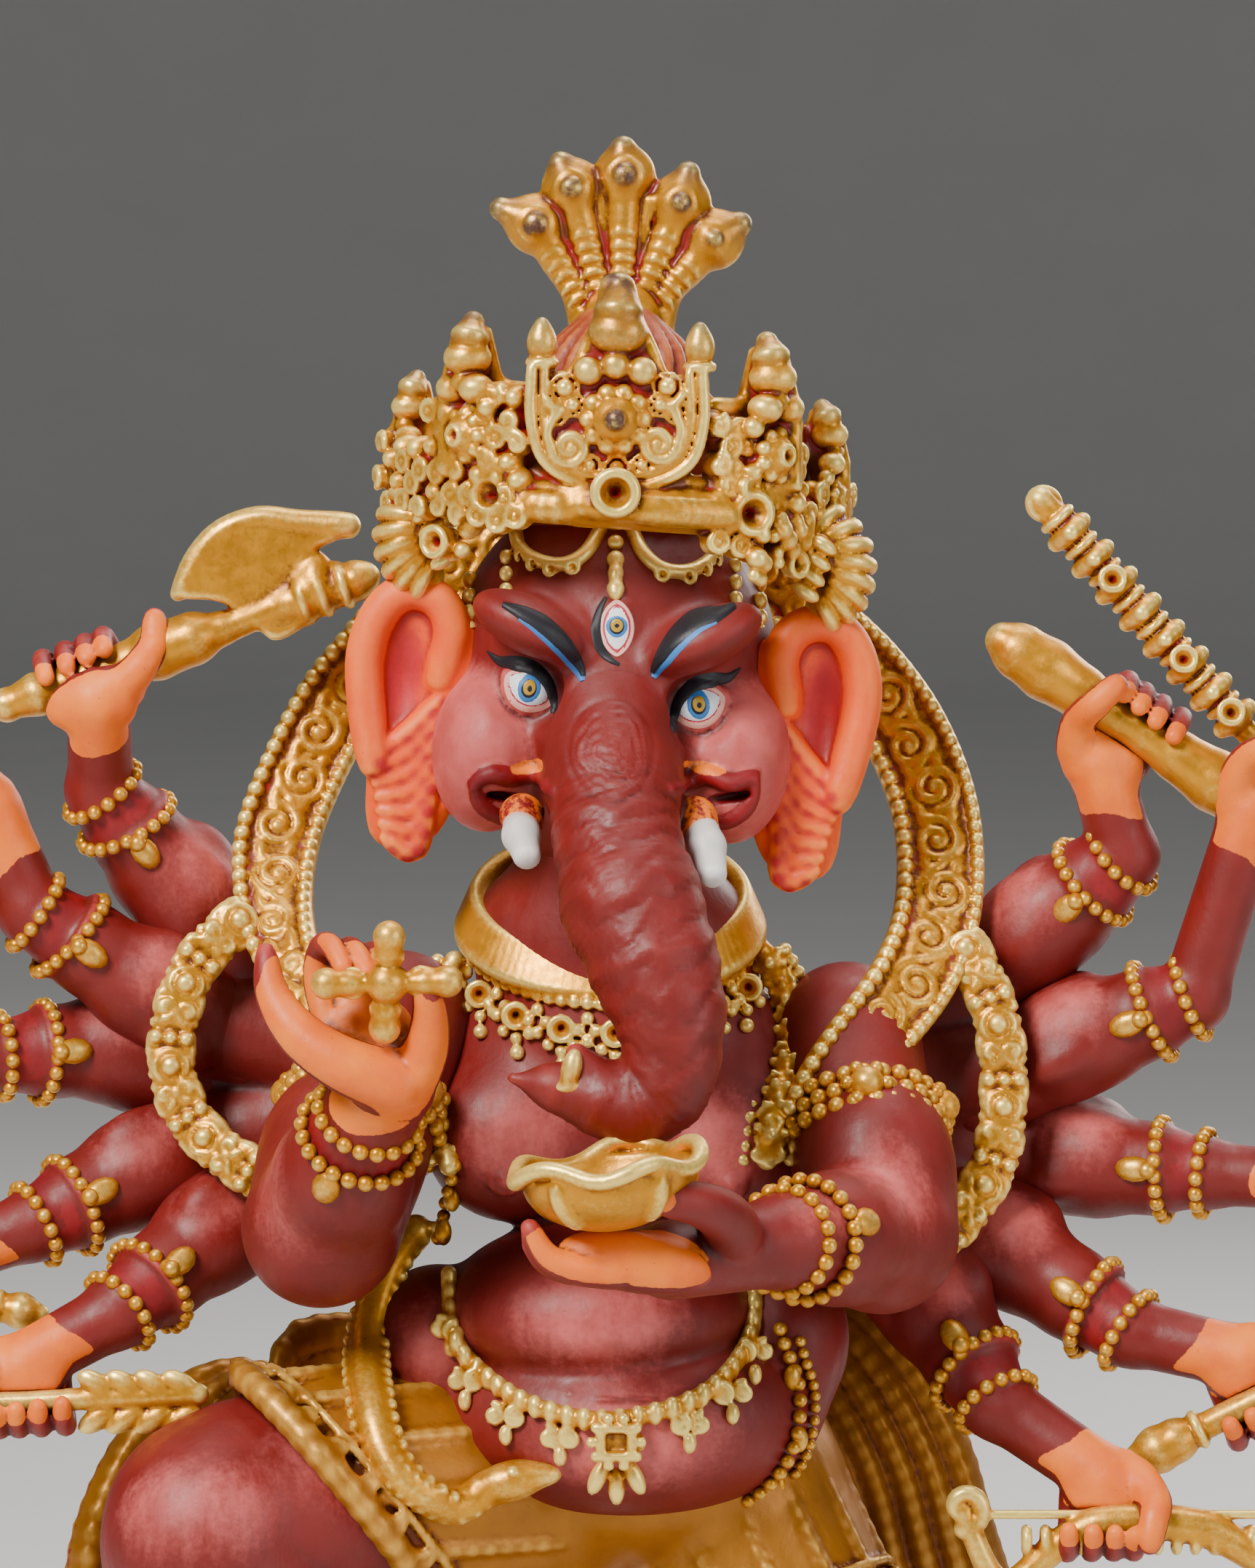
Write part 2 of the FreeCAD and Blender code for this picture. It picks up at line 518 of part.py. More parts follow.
def build_ornaments():
    add("collar", ring(V(-0.6, -2.6, 140.6), unit(V(0, -0.4, 0.92)), 11.6, 1.9))
    add("necklace", ring(V(-0.4, -5.0, 136.2), unit(V(0, -0.62, 0.78)), 13.6, 1.1))
    add_group("garlands", [
        tube_along([V(-13.8, -6.0, 133), V(-14.6, -8.0, 126), V(-13.0, -10.5, 119)], 1.5),
        tube_along([V(12.6, -8.0, 137), V(13.0, -9.4, 130), V(11.4, -10.6, 121)], 1.9)])
    add("belly_chain", tube_along([V(-13.8, -13.0, 113), V(-13.4, -18.0, 106.6), V(-8.6, -21.0, 101.8),
                                   V(-1.0, -22.4, 100.6), V(7.0, -21.2, 102.6), V(11.2, -17.6, 107.6),
                                   V(11.0, -13.0, 113.4)], 1.0))
    add("snake_belt", tube_along([V(-15.8, -9.0, 113.5), V(-19.4, -10.2, 107.5), V(-20.0, -14.0, 103.2),
                                  V(-19.0, -18.2, 99.4), V(-14.6, -18.4, 96.4), V(-9.0, -19.8, 97.0),
                                  V(-4.8, -20.8, 96.6)], 1.6))
    add_group("shoulder_arcs", [tube_along(points, 1.5) for points in (ARC_RIGHT, ARC_LEFT)])
    add_group("bracelets", bracelets())
    add_group("anklets", [ring(LEFT_LEG[2][0] + V(1.2, -0.6, 3.0), unit(V(0.45, -0.2, 1)), 4.3, 1.0),
                          ring(RIGHT_LEG[2][0] + V(-1.6, 0.2, 3.0), unit(V(-0.6, 0, 0.9)), 4.3, 1.0)])


def build_cloth():
    hip_l, hip_r = LEFT_LEG[0][0], RIGHT_LEG[0][0]
    thigh_l = hip_l + (LEFT_LEG[1][0] - hip_l) * 0.55
    thigh_r = hip_r + (RIGHT_LEG[1][0] - hip_r) * 0.52
    wrap = fused([ellipsoid(V(0.4, -2.5, 94.5), 18.4, 14.0, 9.4),
                  rod(hip_l, thigh_l, 11.2, 9.6), rod(hip_r, thigh_r, 11.8, 11.0)])
    add("dhoti", wrap)

    def turning(i, tangent):
        return V(0.5, 0, 0.9) if i < 2 else V(1, 0, 0.3)

    def sideways(i, tangent):
        return V(1, 0.25, 0)

    right = [V(-20, 9.5, 101), V(-32, 7.5, 99), V(-40, 5.5, 92), V(-42.5, 4.5, 80), V(-41, 5, 66)]
    left = [V(18, 11, 104), V(24, 11.5, 94), V(29, 11, 80), V(33, 10, 62)]
    back = [V(0, 12.5, 98), V(0, 14.5, 84), V(-1, 14, 66)]
    add("drape_right", band_along(right, 11.0, BAND_THICKNESS, turning))
    add("drape_left", band_along(left, 13.0, BAND_THICKNESS, sideways))
    add("back_sash", band_along(back, 12.0, BAND_THICKNESS, sideways))


def main():
    os.makedirs("parts", exist_ok=True)
    for old in os.listdir("parts"):
        os.remove(os.path.join("parts", old))
    build_pins()
    build_throne()
    build_mouse()
    build_torso()
    build_legs()
    build_fans()
    build_rods()
    build_cups()
    build_vajra()
    build_rear_arms()
    build_front_arms()
    build_head()
    build_crown()
    build_cloth()
    build_scarf()
    build_ornaments()
    for name, shape in made.items():
        if not shape.isValid():
            print("not valid:", name)
        shape.exportStep(os.path.join("parts", name + ".step"))
    print(len(made), "nodes")


main()
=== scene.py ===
"""Looks of the twelve-armed dancing ganesha idol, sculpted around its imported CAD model.

Shapes are worked out in millimetres in the model's own frame and turned into metres when a
piece is made. +Z is up, the idol faces -Y, and its right side is at -X.
"""
import math
import bpy
import numpy as np
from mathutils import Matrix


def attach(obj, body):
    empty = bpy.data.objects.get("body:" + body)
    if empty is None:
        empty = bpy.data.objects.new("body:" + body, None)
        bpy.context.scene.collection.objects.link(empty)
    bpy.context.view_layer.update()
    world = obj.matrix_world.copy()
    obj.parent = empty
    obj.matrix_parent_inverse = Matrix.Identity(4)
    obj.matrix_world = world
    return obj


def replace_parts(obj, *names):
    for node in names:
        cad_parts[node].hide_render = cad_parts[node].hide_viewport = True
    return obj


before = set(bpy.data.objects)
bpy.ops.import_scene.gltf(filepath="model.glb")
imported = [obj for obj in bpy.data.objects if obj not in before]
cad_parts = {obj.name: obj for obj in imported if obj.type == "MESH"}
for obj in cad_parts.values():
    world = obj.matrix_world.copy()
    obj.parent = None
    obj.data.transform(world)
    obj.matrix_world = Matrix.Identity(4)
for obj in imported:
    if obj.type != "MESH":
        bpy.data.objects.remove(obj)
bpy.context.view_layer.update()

import openvdb
from mathutils import Matrix, Vector
from mathutils.bvhtree import BVHTree

MM = 0.001
FINE = 1.0        # voxels are coarser while trying things


# ------------------------------------------------------------------ small maths
def vec(*p):
    return np.array(p, float)


def unit(v):
    v = np.asarray(v, float)
    return v / np.linalg.norm(v)


def frame_of(axis, up=(0, 0, 1)):
    """Rotation whose columns are side, cross and axis: local z runs along axis."""
    z = unit(axis)
    x = np.cross(up, z)
    if np.linalg.norm(x) < 1e-3:
        x = np.cross((0, 1, 0), z)
    x = unit(x)
    return np.column_stack([x, np.cross(z, x), z])


def turn(axis, degrees):
    return np.array(Matrix.Rotation(math.radians(degrees), 3, Vector(axis)))


def smooth_path(points, step=0.4, closed=False):
    """Catmull-Rom curve through the points, resampled about every step."""
    p = np.asarray(points, float)
    if closed:
        p = np.vstack([p[-1:], p, p[:2]])
    else:
        p = np.vstack([2 * p[0] - p[1], p, 2 * p[-1] - p[-2]])
    t = np.linspace(0, 1, 24, endpoint=False)[:, None]
    parts = []
    for a, b, c, d in zip(p, p[1:], p[2:], p[3:]):
        parts.append(0.5 * (2 * b + (c - a) * t + (2 * a - 5 * b + 4 * c - d) * t**2
                            + (3 * b - a - 3 * c + d) * t**3))
    dense = np.vstack(parts + [p[-2:-1]])
    run = np.concatenate([[0], np.cumsum(np.linalg.norm(np.diff(dense, axis=0), axis=1))])
    count = max(3, int(round(run[-1] / step)) + 1)
    at = np.linspace(0, run[-1], count)
    return np.column_stack([np.interp(at, run, dense[:, i]) for i in range(p.shape[1])])


def circle(centre, axis, radius, count, squash=1.0, start=0.0):
    r = frame_of(axis)
    a = start + np.arange(count) / count * 2 * math.pi
    return centre + radius * (np.cos(a)[:, None] * r[:, 0] + squash * np.sin(a)[:, None] * r[:, 1])


# ------------------------------------------------------------------ clay: sculpting in a voxel field
def orb(centre, radii, spin=None):
    """An ellipsoid (or ball). spin's columns are its own axes."""
    c = np.asarray(centre, float)
    r = np.broadcast_to(np.asarray(radii, float), 3)
    m = np.eye(3) if spin is None else spin

    def field(x, y, z):
        dx, dy, dz = x - c[0], y - c[1], z - c[2]
        q = [(dx * m[0, i] + dy * m[1, i] + dz * m[2, i]) / r[i] for i in range(3)]
        k = np.sqrt(q[0]**2 + q[1]**2 + q[2]**2)
        g = np.sqrt((q[0] / r[0])**2 + (q[1] / r[1])**2 + (q[2] / r[2])**2)
        return k * (k - 1) / (g + 1e-6)
    reach = np.sqrt(((m * r)**2).sum(axis=1))
    return field, c - reach, c + reach


def rod(a, b, ra, rb=None):
    """A round-ended rod, tapered when rb is given."""
    a, b = np.asarray(a, float), np.asarray(b, float)
    rb = ra if rb is None else rb
    ab = b - a
    span = float(ab @ ab) + 1e-9

    def field(x, y, z):
        dx, dy, dz = x - a[0], y - a[1], z - a[2]
        t = np.clip((dx * ab[0] + dy * ab[1] + dz * ab[2]) / span, 0, 1)
        return np.sqrt((dx - t * ab[0])**2 + (dy - t * ab[1])**2 + (dz - t * ab[2])**2) - (ra + (rb - ra) * t)
    big = max(ra, rb)
    return field, np.minimum(a, b) - big, np.maximum(a, b) + big


def hoop(centre, axis, radius, tube, flat=1.0):
    """A torus. flat under 1 thins it along its axis."""
    c, m = np.asarray(centre, float), frame_of(axis)

    def field(x, y, z):
        dx, dy, dz = x - c[0], y - c[1], z - c[2]
        q = [dx * m[0, i] + dy * m[1, i] + dz * m[2, i] for i in range(3)]
        return np.sqrt((np.sqrt(q[0]**2 + q[1]**2) - radius)**2 + (q[2] / flat)**2) - tube
    reach = np.full(3, radius + tube)
    return field, c - reach, c + reach


def slab(centre, half, spin, round_=0.3):
    """A box with rounded edges. spin's columns are its own axes."""
    c, h = np.asarray(centre, float), np.asarray(half, float) - round_

    def field(x, y, z):
        dx, dy, dz = x - c[0], y - c[1], z - c[2]
        q = [np.abs(dx * spin[0, i] + dy * spin[1, i] + dz * spin[2, i]) - h[i] for i in range(3)]
        out = np.sqrt(sum(np.maximum(v, 0)**2 for v in q))
        return out + np.minimum(np.maximum(np.maximum(q[0], q[1]), q[2]), 0) - round_
    reach = (np.abs(spin) * np.asarray(half)).sum(axis=1)
    return field, c - reach, c + reach


class Clay:
    """A signed-distance field with three paint masks, built by blending shapes."""

    def __init__(self, low, high, voxel, masks=True):
        self.low = np.asarray(low, float)
        self.h = voxel * FINE
        self.n = np.ceil((np.asarray(high, float) - self.low) / self.h).astype(int) + 1
        self.d = np.full(self.n, 3.0, np.float32)
        self.mask = np.zeros((*self.n, 3), np.float32) if masks else None

    def _window(self, low, high, margin):
        a = np.clip(np.floor((low - margin - self.low) / self.h).astype(int), 0, self.n)
        b = np.clip(np.ceil((high + margin - self.low) / self.h).astype(int) + 1, 0, self.n)
        if (b <= a).any():
            return None, None
        axes = [(self.low[i] + self.h * np.arange(a[i], b[i])).astype(np.float32) for i in range(3)]
        return tuple(slice(i, j) for i, j in zip(a, b)), np.meshgrid(*axes, indexing="ij", sparse=True)

    def add(self, shape, blend=0.4, paint=None):
        field, low, high = shape
        where, grid = self._window(low, high, max(1.0, blend))
        if where is None:
            return self
        new, old = field(*grid), self.d[where]
        t = np.clip(0.5 + 0.5 * (old - new) / blend, 0, 1)
        self.d[where] = old * (1 - t) + new * t - blend * t * (1 - t)
        if self.mask is not None:
            colour = np.zeros(3) if paint is None else np.asarray(paint, float)
            self.mask[where] += (colour - self.mask[where]) * t[..., None]
        return self

    def carve(self, shape, blend=0.4, paint=None):
        field, low, high = shape
        where, grid = self._window(low, high, max(1.0, blend))
        if where is None:
            return self
        new, old = field(*grid), self.d[where]
        t = np.clip(0.5 - 0.5 * (old + new) / blend, 0, 1)
        self.d[where] = old * (1 - t) - new * t + blend * t * (1 - t)
        if self.mask is not None and paint is not None:
            self.mask[where] += (np.asarray(paint, float) - self.mask[where]) * t[..., None]
        return self

    def brush(self, shape, paint, soft=0.5):
        """Paints the masks inside a shape and leaves the form alone."""
        field, low, high = shape
        where, grid = self._window(low, high, soft)
        if where is None:
            return self
        t = np.clip(0.5 - field(*grid) / (2 * soft), 0, 1)[..., None]
        value = np.array([0 if p is None else p for p in paint], float)
        keep = np.array([p is not None for p in paint], float)
        self.mask[where] += (value - self.mask[where]) * t * keep
        return self

    def brush_facing(self, shape, paint, way=(0, -1, 0), level=0.4, soft=0.5):
        """Paints only the surface inside a shape that faces a given way."""
        field, low, high = shape
        where, grid = self._window(low, high, soft)
        if where is None:
            return self
        slopes = np.gradient(self.d[where])
        steep = np.sqrt(sum(s**2 for s in slopes)) + 1e-6
        facing = sum(s * w for s, w in zip(slopes, unit(way))) / steep
        t = np.clip(0.5 - field(*grid) / (2 * soft), 0, 1) * np.clip((facing - level) / 0.16 + 0.5, 0, 1)
        value = np.array([0 if p is None else p for p in paint], float)
        keep = np.array([p is not None for p in paint], float)
        self.mask[where] += (value - self.mask[where]) * t[..., None] * keep
        return self

    def chain(self, points, radii, blend=0.4, paint=None):
        for a, b, ra, rb in zip(points, points[1:], radii, radii[1:]):
            self.add(rod(a, b, ra, rb), blend, paint)
        return self

    def beads(self, points, radius, blend=0.12, paint=None):
        for p in points:
            self.add(orb(p, radius), blend, paint)
        return self

    def sample(self, volume, points):
        q = (np.asarray(points) - self.low) / self.h
        i = np.clip(np.floor(q).astype(int), 0, self.n - 2)
        f = q - i
        total = 0
        for dx in (0, 1):
            for dy in (0, 1):
                for dz in (0, 1):
                    w = (abs(1 - dx - f[:, 0])) * (abs(1 - dy - f[:, 1])) * (abs(1 - dz - f[:, 2]))
                    got = volume[i[:, 0] + dx, i[:, 1] + dy, i[:, 2] + dz]
                    total = total + (got * w[:, None] if got.ndim == 2 else got * w)
        return total

    def skin(self):
        """Vertices (mm), quads, and each vertex's fine and broad exposure and masks."""
        grid = openvdb.FloatGrid(background=3.0)
        grid.copyFromArray(self.d)
        points, quads = grid.convertToQuads(isovalue=0.0)
        points = points.astype(float) * self.h + self.low
        near = np.clip(self.d, -1.0, 1.0)
        fine = blur(near, max(1, int(round(0.42 / self.h))))
        broad = blur(near, max(2, int(round(1.1 / self.h))))
        masks = None if self.mask is None else self.sample(self.mask, points)
        return points, quads, self.sample(fine, points), self.sample(broad, points), masks

    def piece(self, name, material, wrinkle=None, tidy=True):
        points, quads, fine, broad, masks = self.skin()
        if wrinkle is not None:
            normals = normals_of(points, quads)
            depth = wrinkle(points, normals)
            points = points + normals * depth[:, None]
            # the wrinkle depth also goes into the exposure, so grooves get painted shade and ridges painted highlight
            fine = fine + depth * 0.5
        if tidy:
            points, quads, (fine, broad, masks) = drop_crumbs(points, quads, (fine, broad, masks))
        return make_piece(name, points, quads, material, fine, broad, masks)


def blur(a, r):
    """Two box blurs of half-width r along each axis."""
    for axis in (0, 1, 2):
        for _ in range(2):
            pad = [(0, 0)] * 3
            pad[axis] = (r + 1, r)
            c = np.cumsum(np.pad(a, pad, mode="edge"), axis=axis, dtype=np.float64)
            n = a.shape[axis]
            hi = np.take(c, np.arange(2 * r + 1, 2 * r + 1 + n), axis=axis)
            lo = np.take(c, np.arange(0, n), axis=axis)
            a = ((hi - lo) / (2 * r + 1)).astype(np.float32)
    return a


def normals_of(points, quads):
    a, b, c, d = (points[quads[:, i]] for i in range(4))
    face = np.cross(c - a, d - b)
    total = np.zeros_like(points)
    for k in range(3):
        for i in range(4):
            total[:, k] += np.bincount(quads[:, i], face[:, k], len(points))
    return total / (np.linalg.norm(total, axis=1)[:, None] + 1e-12)


def drop_crumbs(points, quads, extras, least=40):
    """Removes shells of fewer than `least` vertices."""
    label = np.arange(len(points))
    while True:
        low = label[quads].min(axis=1)
        new = label.copy()
        for i in range(4):
            np.minimum.at(new, quads[:, i], low)
        new = new[new]
        if (new == label).all():
            break
        label = new
    size = np.bincount(label, minlength=len(points))[label]
    keep = size >= least
    if keep.all():
        return points, quads, extras
    index = np.cumsum(keep) - 1
    quads = index[quads[keep[quads].all(axis=1)]]
    return points[keep], quads, tuple(None if e is None else e[keep] for e in extras)


def make_piece(name, points, faces, material, fine=None, broad=None, masks=None, body="idol"):
    """A mesh object from points in mm, with the attributes that its material reads."""
    mesh = bpy.data.meshes.new(name)
    mesh.from_pydata((np.asarray(points) * MM).tolist(), [], np.asarray(faces).tolist()
                     if not isinstance(faces, list) else faces)
    count = len(points)
    for label, values in (("fine", fine), ("broad", broad)):
        data = mesh.attributes.new(label, "FLOAT", "POINT").data
        data.foreach_set("value", np.zeros(count, np.float32) if values is None else values.astype(np.float32))
    data = mesh.attributes.new("masks", "FLOAT_VECTOR", "POINT").data
    rows = np.zeros((count, 3), np.float32) if masks is None else masks.astype(np.float32)
    data.foreach_set("vector", rows.ravel())
    mesh.polygons.foreach_set("use_smooth", np.ones(len(mesh.polygons), bool))
    mesh.materials.append(material)
    piece = bpy.data.objects.new(name, mesh)
    bpy.context.scene.collection.objects.link(piece)
    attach(piece, body)
    return piece


def tree_of(piece):
    mesh = piece.data
    points = [v.co / MM for v in mesh.vertices]
    return BVHTree.FromPolygons(points, [tuple(p.vertices) for p in mesh.polygons])


def on_surface(tree, x, z, proud=0.0, start_y=-80.0):
    """The front surface under (x, z), and its normal. A miss beside the surface takes the nearest hit inwards."""
    for k in range(24):
        inward = 1 - 0.02 * k
        casts = [t.ray_cast(Vector((x * inward, start_y, z)), Vector((0, 1, 0)))
                 for t in (tree if isinstance(tree, tuple) else (tree,))]
        casts = [c for c in casts if c[0] is not None]
        hit, normal = min(casts, key=lambda c: c[0].y)[:2] if casts else (None, None)
        if hit is not None:
            break
    if hit is None:
        return None, None
    hit = Vector((x, hit.y, z))
    return np.array(hit) + np.array(normal) * proud, np.array(normal)


# ------------------------------------------------------------------ paint
def ink(code):
    """A colour written as sRGB hex, as linear RGBA."""
    parts = [int(code[i:i + 2], 16) / 255 for i in (1, 3, 5)]
    return tuple(p / 12.92 if p <= 0.04045 else ((p + 0.055) / 1.055)**2.4 for p in parts) + (1.0,)


class Paint:
    """A short way to write a node material."""

    def __init__(self, name):
        self.material = bpy.data.materials.new(name)
        self.material.use_nodes = True
        self.tree = self.material.node_tree
        self.shader = self.tree.nodes["Principled BSDF"]
        self.place = self.node("ShaderNodeTexCoord").outputs["Object"]

    def node(self, kind, **settings):
        made = self.tree.nodes.new(kind)
        for key, value in settings.items():
            setattr(made, key, value)
        return made

    def link(self, source, socket):
        if isinstance(source, (int, float, tuple)):
            socket.default_value = source
        else:
            self.tree.links.new(source, socket)

    def math(self, operation, a, b=0.0, clamp=False):
        n = self.node("ShaderNodeMath", operation=operation, use_clamp=clamp)
        self.link(a, n.inputs[0])
        self.link(b, n.inputs[1])
        return n.outputs[0]

    def ramp(self, value, low, high, to_low=0.0, to_high=1.0):
        n = self.node("ShaderNodeMapRange", interpolation_type="SMOOTHSTEP")
        for socket, v in zip(n.inputs, (value, low, high, to_low, to_high)):
            self.link(v, socket)
        return n.outputs[0]

    def mix(self, amount, a, b, blend="MIX"):
        n = self.node("ShaderNodeMix", data_type="RGBA", blend_type=blend)
        self.link(amount, n.inputs[0])
        self.link(a, n.inputs[6])
        self.link(b, n.inputs[7])
        return n.outputs[2]

    def noise(self, size_mm, detail=3.0, roughness=0.55, stretch=None):
        n = self.node("ShaderNodeTexNoise")
        place = self.place
        if stretch:
            m = self.node("ShaderNodeMapping")
            m.inputs["Scale"].default_value = stretch
            self.link(place, m.inputs["Vector"])
            place = m.outputs[0]
        self.link(place, n.inputs["Vector"])
        n.inputs["Scale"].default_value = 1.0 / (size_mm * MM)
        n.inputs["Detail"].default_value = detail
        n.inputs["Roughness"].default_value = roughness
        return n.outputs["Fac"]

    def attribute(self, name):
        return self.node("ShaderNodeAttribute", attribute_name=name)

    def masks(self):
        n = self.node("ShaderNodeSeparateXYZ")
        self.link(self.attribute("masks").outputs["Vector"], n.inputs[0])
        return n.outputs[0], n.outputs[1], n.outputs[2]

    def finish(self, colour, roughness, metallic=0.0, bumps=(), specular=0.5, coat=0.0):
        self.link(colour, self.shader.inputs["Base Color"])
        self.link(roughness, self.shader.inputs["Roughness"])
        self.link(metallic, self.shader.inputs["Metallic"])
        self.shader.inputs["Specular IOR Level"].default_value = specular
        self.shader.inputs["Coat Weight"].default_value = coat
        normal = None
        for height, strength, distance_mm in bumps:
            n = self.node("ShaderNodeBump")
            n.inputs["Strength"].default_value = strength
            n.inputs["Distance"].default_value = distance_mm * MM
            self.link(height, n.inputs["Height"])
            if normal is not None:
                self.link(normal, n.inputs["Normal"])
            normal = n.outputs[0]
        if normal is not None:
            self.link(normal, self.shader.inputs["Normal"])
        return self.material


def painted_resin(name, base, highlight_and_mottle, hollow, layers=(), rough=(0.42, 0.62), highlight_on_broad=0.0):
    """Matte paint over cast resin with painted light: the first pale colour is a painted highlight on the high spots,
    the second is mottled through the base, and hollow is painted shade in the creases and the colour of small specks.

    layers are (mask index, colour, crisp) painted over the base where a mask says."""
    p = Paint(name)
    fine, broad = p.attribute("fine").outputs["Fac"], p.attribute("broad").outputs["Fac"]
    cloud, grain, streak = p.noise(5.0, 4), p.noise(0.55, 5, 0.65), p.noise(1.6, 4, 0.6, (1.0, 1.0, 0.35))
    colour = p.mix(p.ramp(cloud, 0.3, 0.7, 0.0, 0.55), ink(base), ink(highlight_and_mottle[1]))
    # painted highlight: the fine and broad high spots take the first pale colour
    lift = p.math("ADD", p.ramp(fine, 0.02, 0.16, 0.0, 0.8), p.ramp(broad, 0.22, 0.5, 0.0, highlight_on_broad))
    lift = p.math("MULTIPLY", lift, p.ramp(streak, 0.3, 0.62, 0.35, 1.0), clamp=True)
    colour = p.mix(lift, colour, ink(highlight_and_mottle[0]))
    masks = p.masks()
    for index, tone, crisp in layers:
        edge = p.math("ADD", masks[index], p.ramp(grain, 0.2, 0.8, -0.10, 0.10))
        edge = p.math("ADD", edge, p.ramp(streak, 0.2, 0.8, -0.12, 0.12))
        width = 0.06 if crisp else 0.42
        shade = p.mix(p.ramp(cloud, 0.3, 0.7, 0.0, 1.0), ink(tone[0]), ink(tone[1]))
        colour = p.mix(p.ramp(edge, 0.5 - width, 0.5 + width), colour, shade)
    # painted shade: the creases take the hollow colour
    crease_shade = p.ramp(p.math("ADD", fine, p.ramp(grain, 0.2, 0.8, -0.02, 0.02)), -0.02, -0.12)
    colour = p.mix(p.math("MULTIPLY", crease_shade, 0.85), colour, ink(hollow))
    speck = p.ramp(p.noise(0.32, 2, 0.5), 0.70, 0.78, 0.0, 0.35)
    colour = p.mix(speck, colour, ink(hollow))
    roughness = p.ramp(streak, 0.25, 0.75, rough[0], rough[1])
    return p.finish(colour, roughness, bumps=[(cloud, 0.25, 0.35), (streak, 0.35, 0.12), (grain, 0.4, 0.06)],
                    specular=0.42)


def gold_paint(name="gold", base="#c48206", pale="#ffe27c", deep_shade="#5c2404", red="#86100a", red_at=-0.13,
               metallic=0.58, worn_tip=None):
    """Satin gold paint: pale and brushed on the high spots as a painted highlight; in the creases brown painted shade,
    and red in the deepest.
    """
    p = Paint(name)
    fine, broad = p.attribute("fine").outputs["Fac"], p.attribute("broad").outputs["Fac"]
    cloud, grain, streak = p.noise(3.6, 4), p.noise(0.42, 5, 0.65), p.noise(1.1, 4, 0.6)
    colour = p.mix(p.ramp(cloud, 0.32, 0.68, 0.0, 0.6), ink(base), ink("#dc9a18"))
    jitter = p.ramp(grain, 0.25, 0.75, -0.03, 0.03)
    level = p.math("ADD", fine, jitter)
    # painted highlight: pale on the high spots; painted shade: deep brown in the creases
    colour = p.mix(p.ramp(level, 0.05, 0.22, 0.0, 0.85), colour, ink(pale))
    colour = p.mix(p.ramp(level, 0.01, -0.10, 0.0, 0.95), colour, ink(deep_shade))
    patchy = p.math("ADD", level, p.ramp(cloud, 0.35, 0.65, 0.06, -0.05))
    reds = p.ramp(patchy, red_at + 0.03, red_at - 0.04)
    colour = p.mix(reds, colour, ink(red))
    shine = p.math("MULTIPLY", p.ramp(reds, 0.0, 0.6, metallic, 0.0), p.ramp(level, -0.2, 0.0, 0.45, 1.0))
    if worn_tip:
        amount = p.math("MULTIPLY", p.masks()[2], p.ramp(streak, 0.35, 0.6, 0.45, 1.0), clamp=True)
        colour = p.mix(amount, colour, ink(worn_tip))
    roughness = p.ramp(streak, 0.25, 0.75, 0.27, 0.46)
    return p.finish(colour, roughness, shine, [(cloud, 0.2, 0.3), (streak, 0.3, 0.10), (grain, 0.35, 0.05)])


ORANGE = (("#f27a12", "#e06008"))
PINK = (("#c9605c", "#ad4743"))
CRIMSON = (("#8a0d14", "#6a0810"))
# on skin, mask 1 (pink) is the eyelids' pink paint and also the pink painted highlights on cheeks, arm swells, elbows,
# wrists, chest, belly, knees and thighs
skin = painted_resin("skin_paint", "#69110d", ("#a8372f", "#7e1c17"), "#380405",
                     [(1, PINK, False), (0, ORANGE, True), (2, CRIMSON, True)], highlight_on_broad=0.25)
ear_paint = painted_resin("ear_paint", "#ee5208", ("#ff8a30", "#dc3c0a"), "#980a14",
                          [(2, ("#c41c26", "#a81420"), False)], highlight_on_broad=0.4)
ivory = painted_resin("ivory_paint", "#cfcac6", ("#efeae4", "#bdb9b8"), "#8d6a55",
                      [(0, ("#e98a50", "#dd7438"), False)], rough=(0.35, 0.55))
gold = gold_paint(worn_tip="#5d4238")
black_paint = painted_resin("black_paint", "#14131a", ("#2a2a33", "#1b1a22"), "#0a0a0e")
blue_paint = painted_resin("blue_paint", "#2f74b8", ("#4f93d2", "#2a66a6"), "#1f4f88")
white_paint = painted_resin("white_paint", "#dfe3e8", ("#f2f4f6", "#cfd6de"), "#b8bfc8")
pale_pink = painted_resin("pale_pink_paint", "#e3a898", ("#efc3b4", "#d98f84"), "#b8485a")
rose_red = painted_resin("rose_red_paint", "#b01c34", ("#c43046", "#9c1730"), "#7c0f20")
iris_gold = painted_resin("iris_gold_paint", "#b08a2a", ("#cfa63c", "#9a7722"), "#6d5312", rough=(0.3, 0.45))


# ------------------------------------------------------------------ head
HEAD_CENTRE = vec(-0.4, -7.0, 162.0)
HEAD_ROLL = 4.5
ROLL = turn((0, 1, 0), HEAD_ROLL)
UPRIGHT = np.eye(3)


def head_place(x, y, z):
    return HEAD_CENTRE + ROLL @ vec(x, y, z)


def outline_distance(outline):
    """Signed distance in the XZ plane from a closed outline of (x, z) points."""
    ring = np.asarray(outline, float)

    def distance(x, z):
        best, inside = 1e9, False
        for a, b in zip(ring, np.roll(ring, -1, axis=0)):
            e = b - a
            wx, wz = x - a[0], z - a[1]
            t = np.clip((wx * e[0] + wz * e[1]) / (e @ e + 1e-12), 0, 1)
            best = np.minimum(best, (wx - e[0] * t)**2 + (wz - e[1] * t)**2)
            crosses = ((a[1] > z) != (b[1] > z)) & (x < e[0] * (z - a[1]) / (e[1] + 1e-12) + a[0])
            inside = inside ^ crosses
        return np.where(inside, -1, 1) * np.sqrt(best)
    return distance


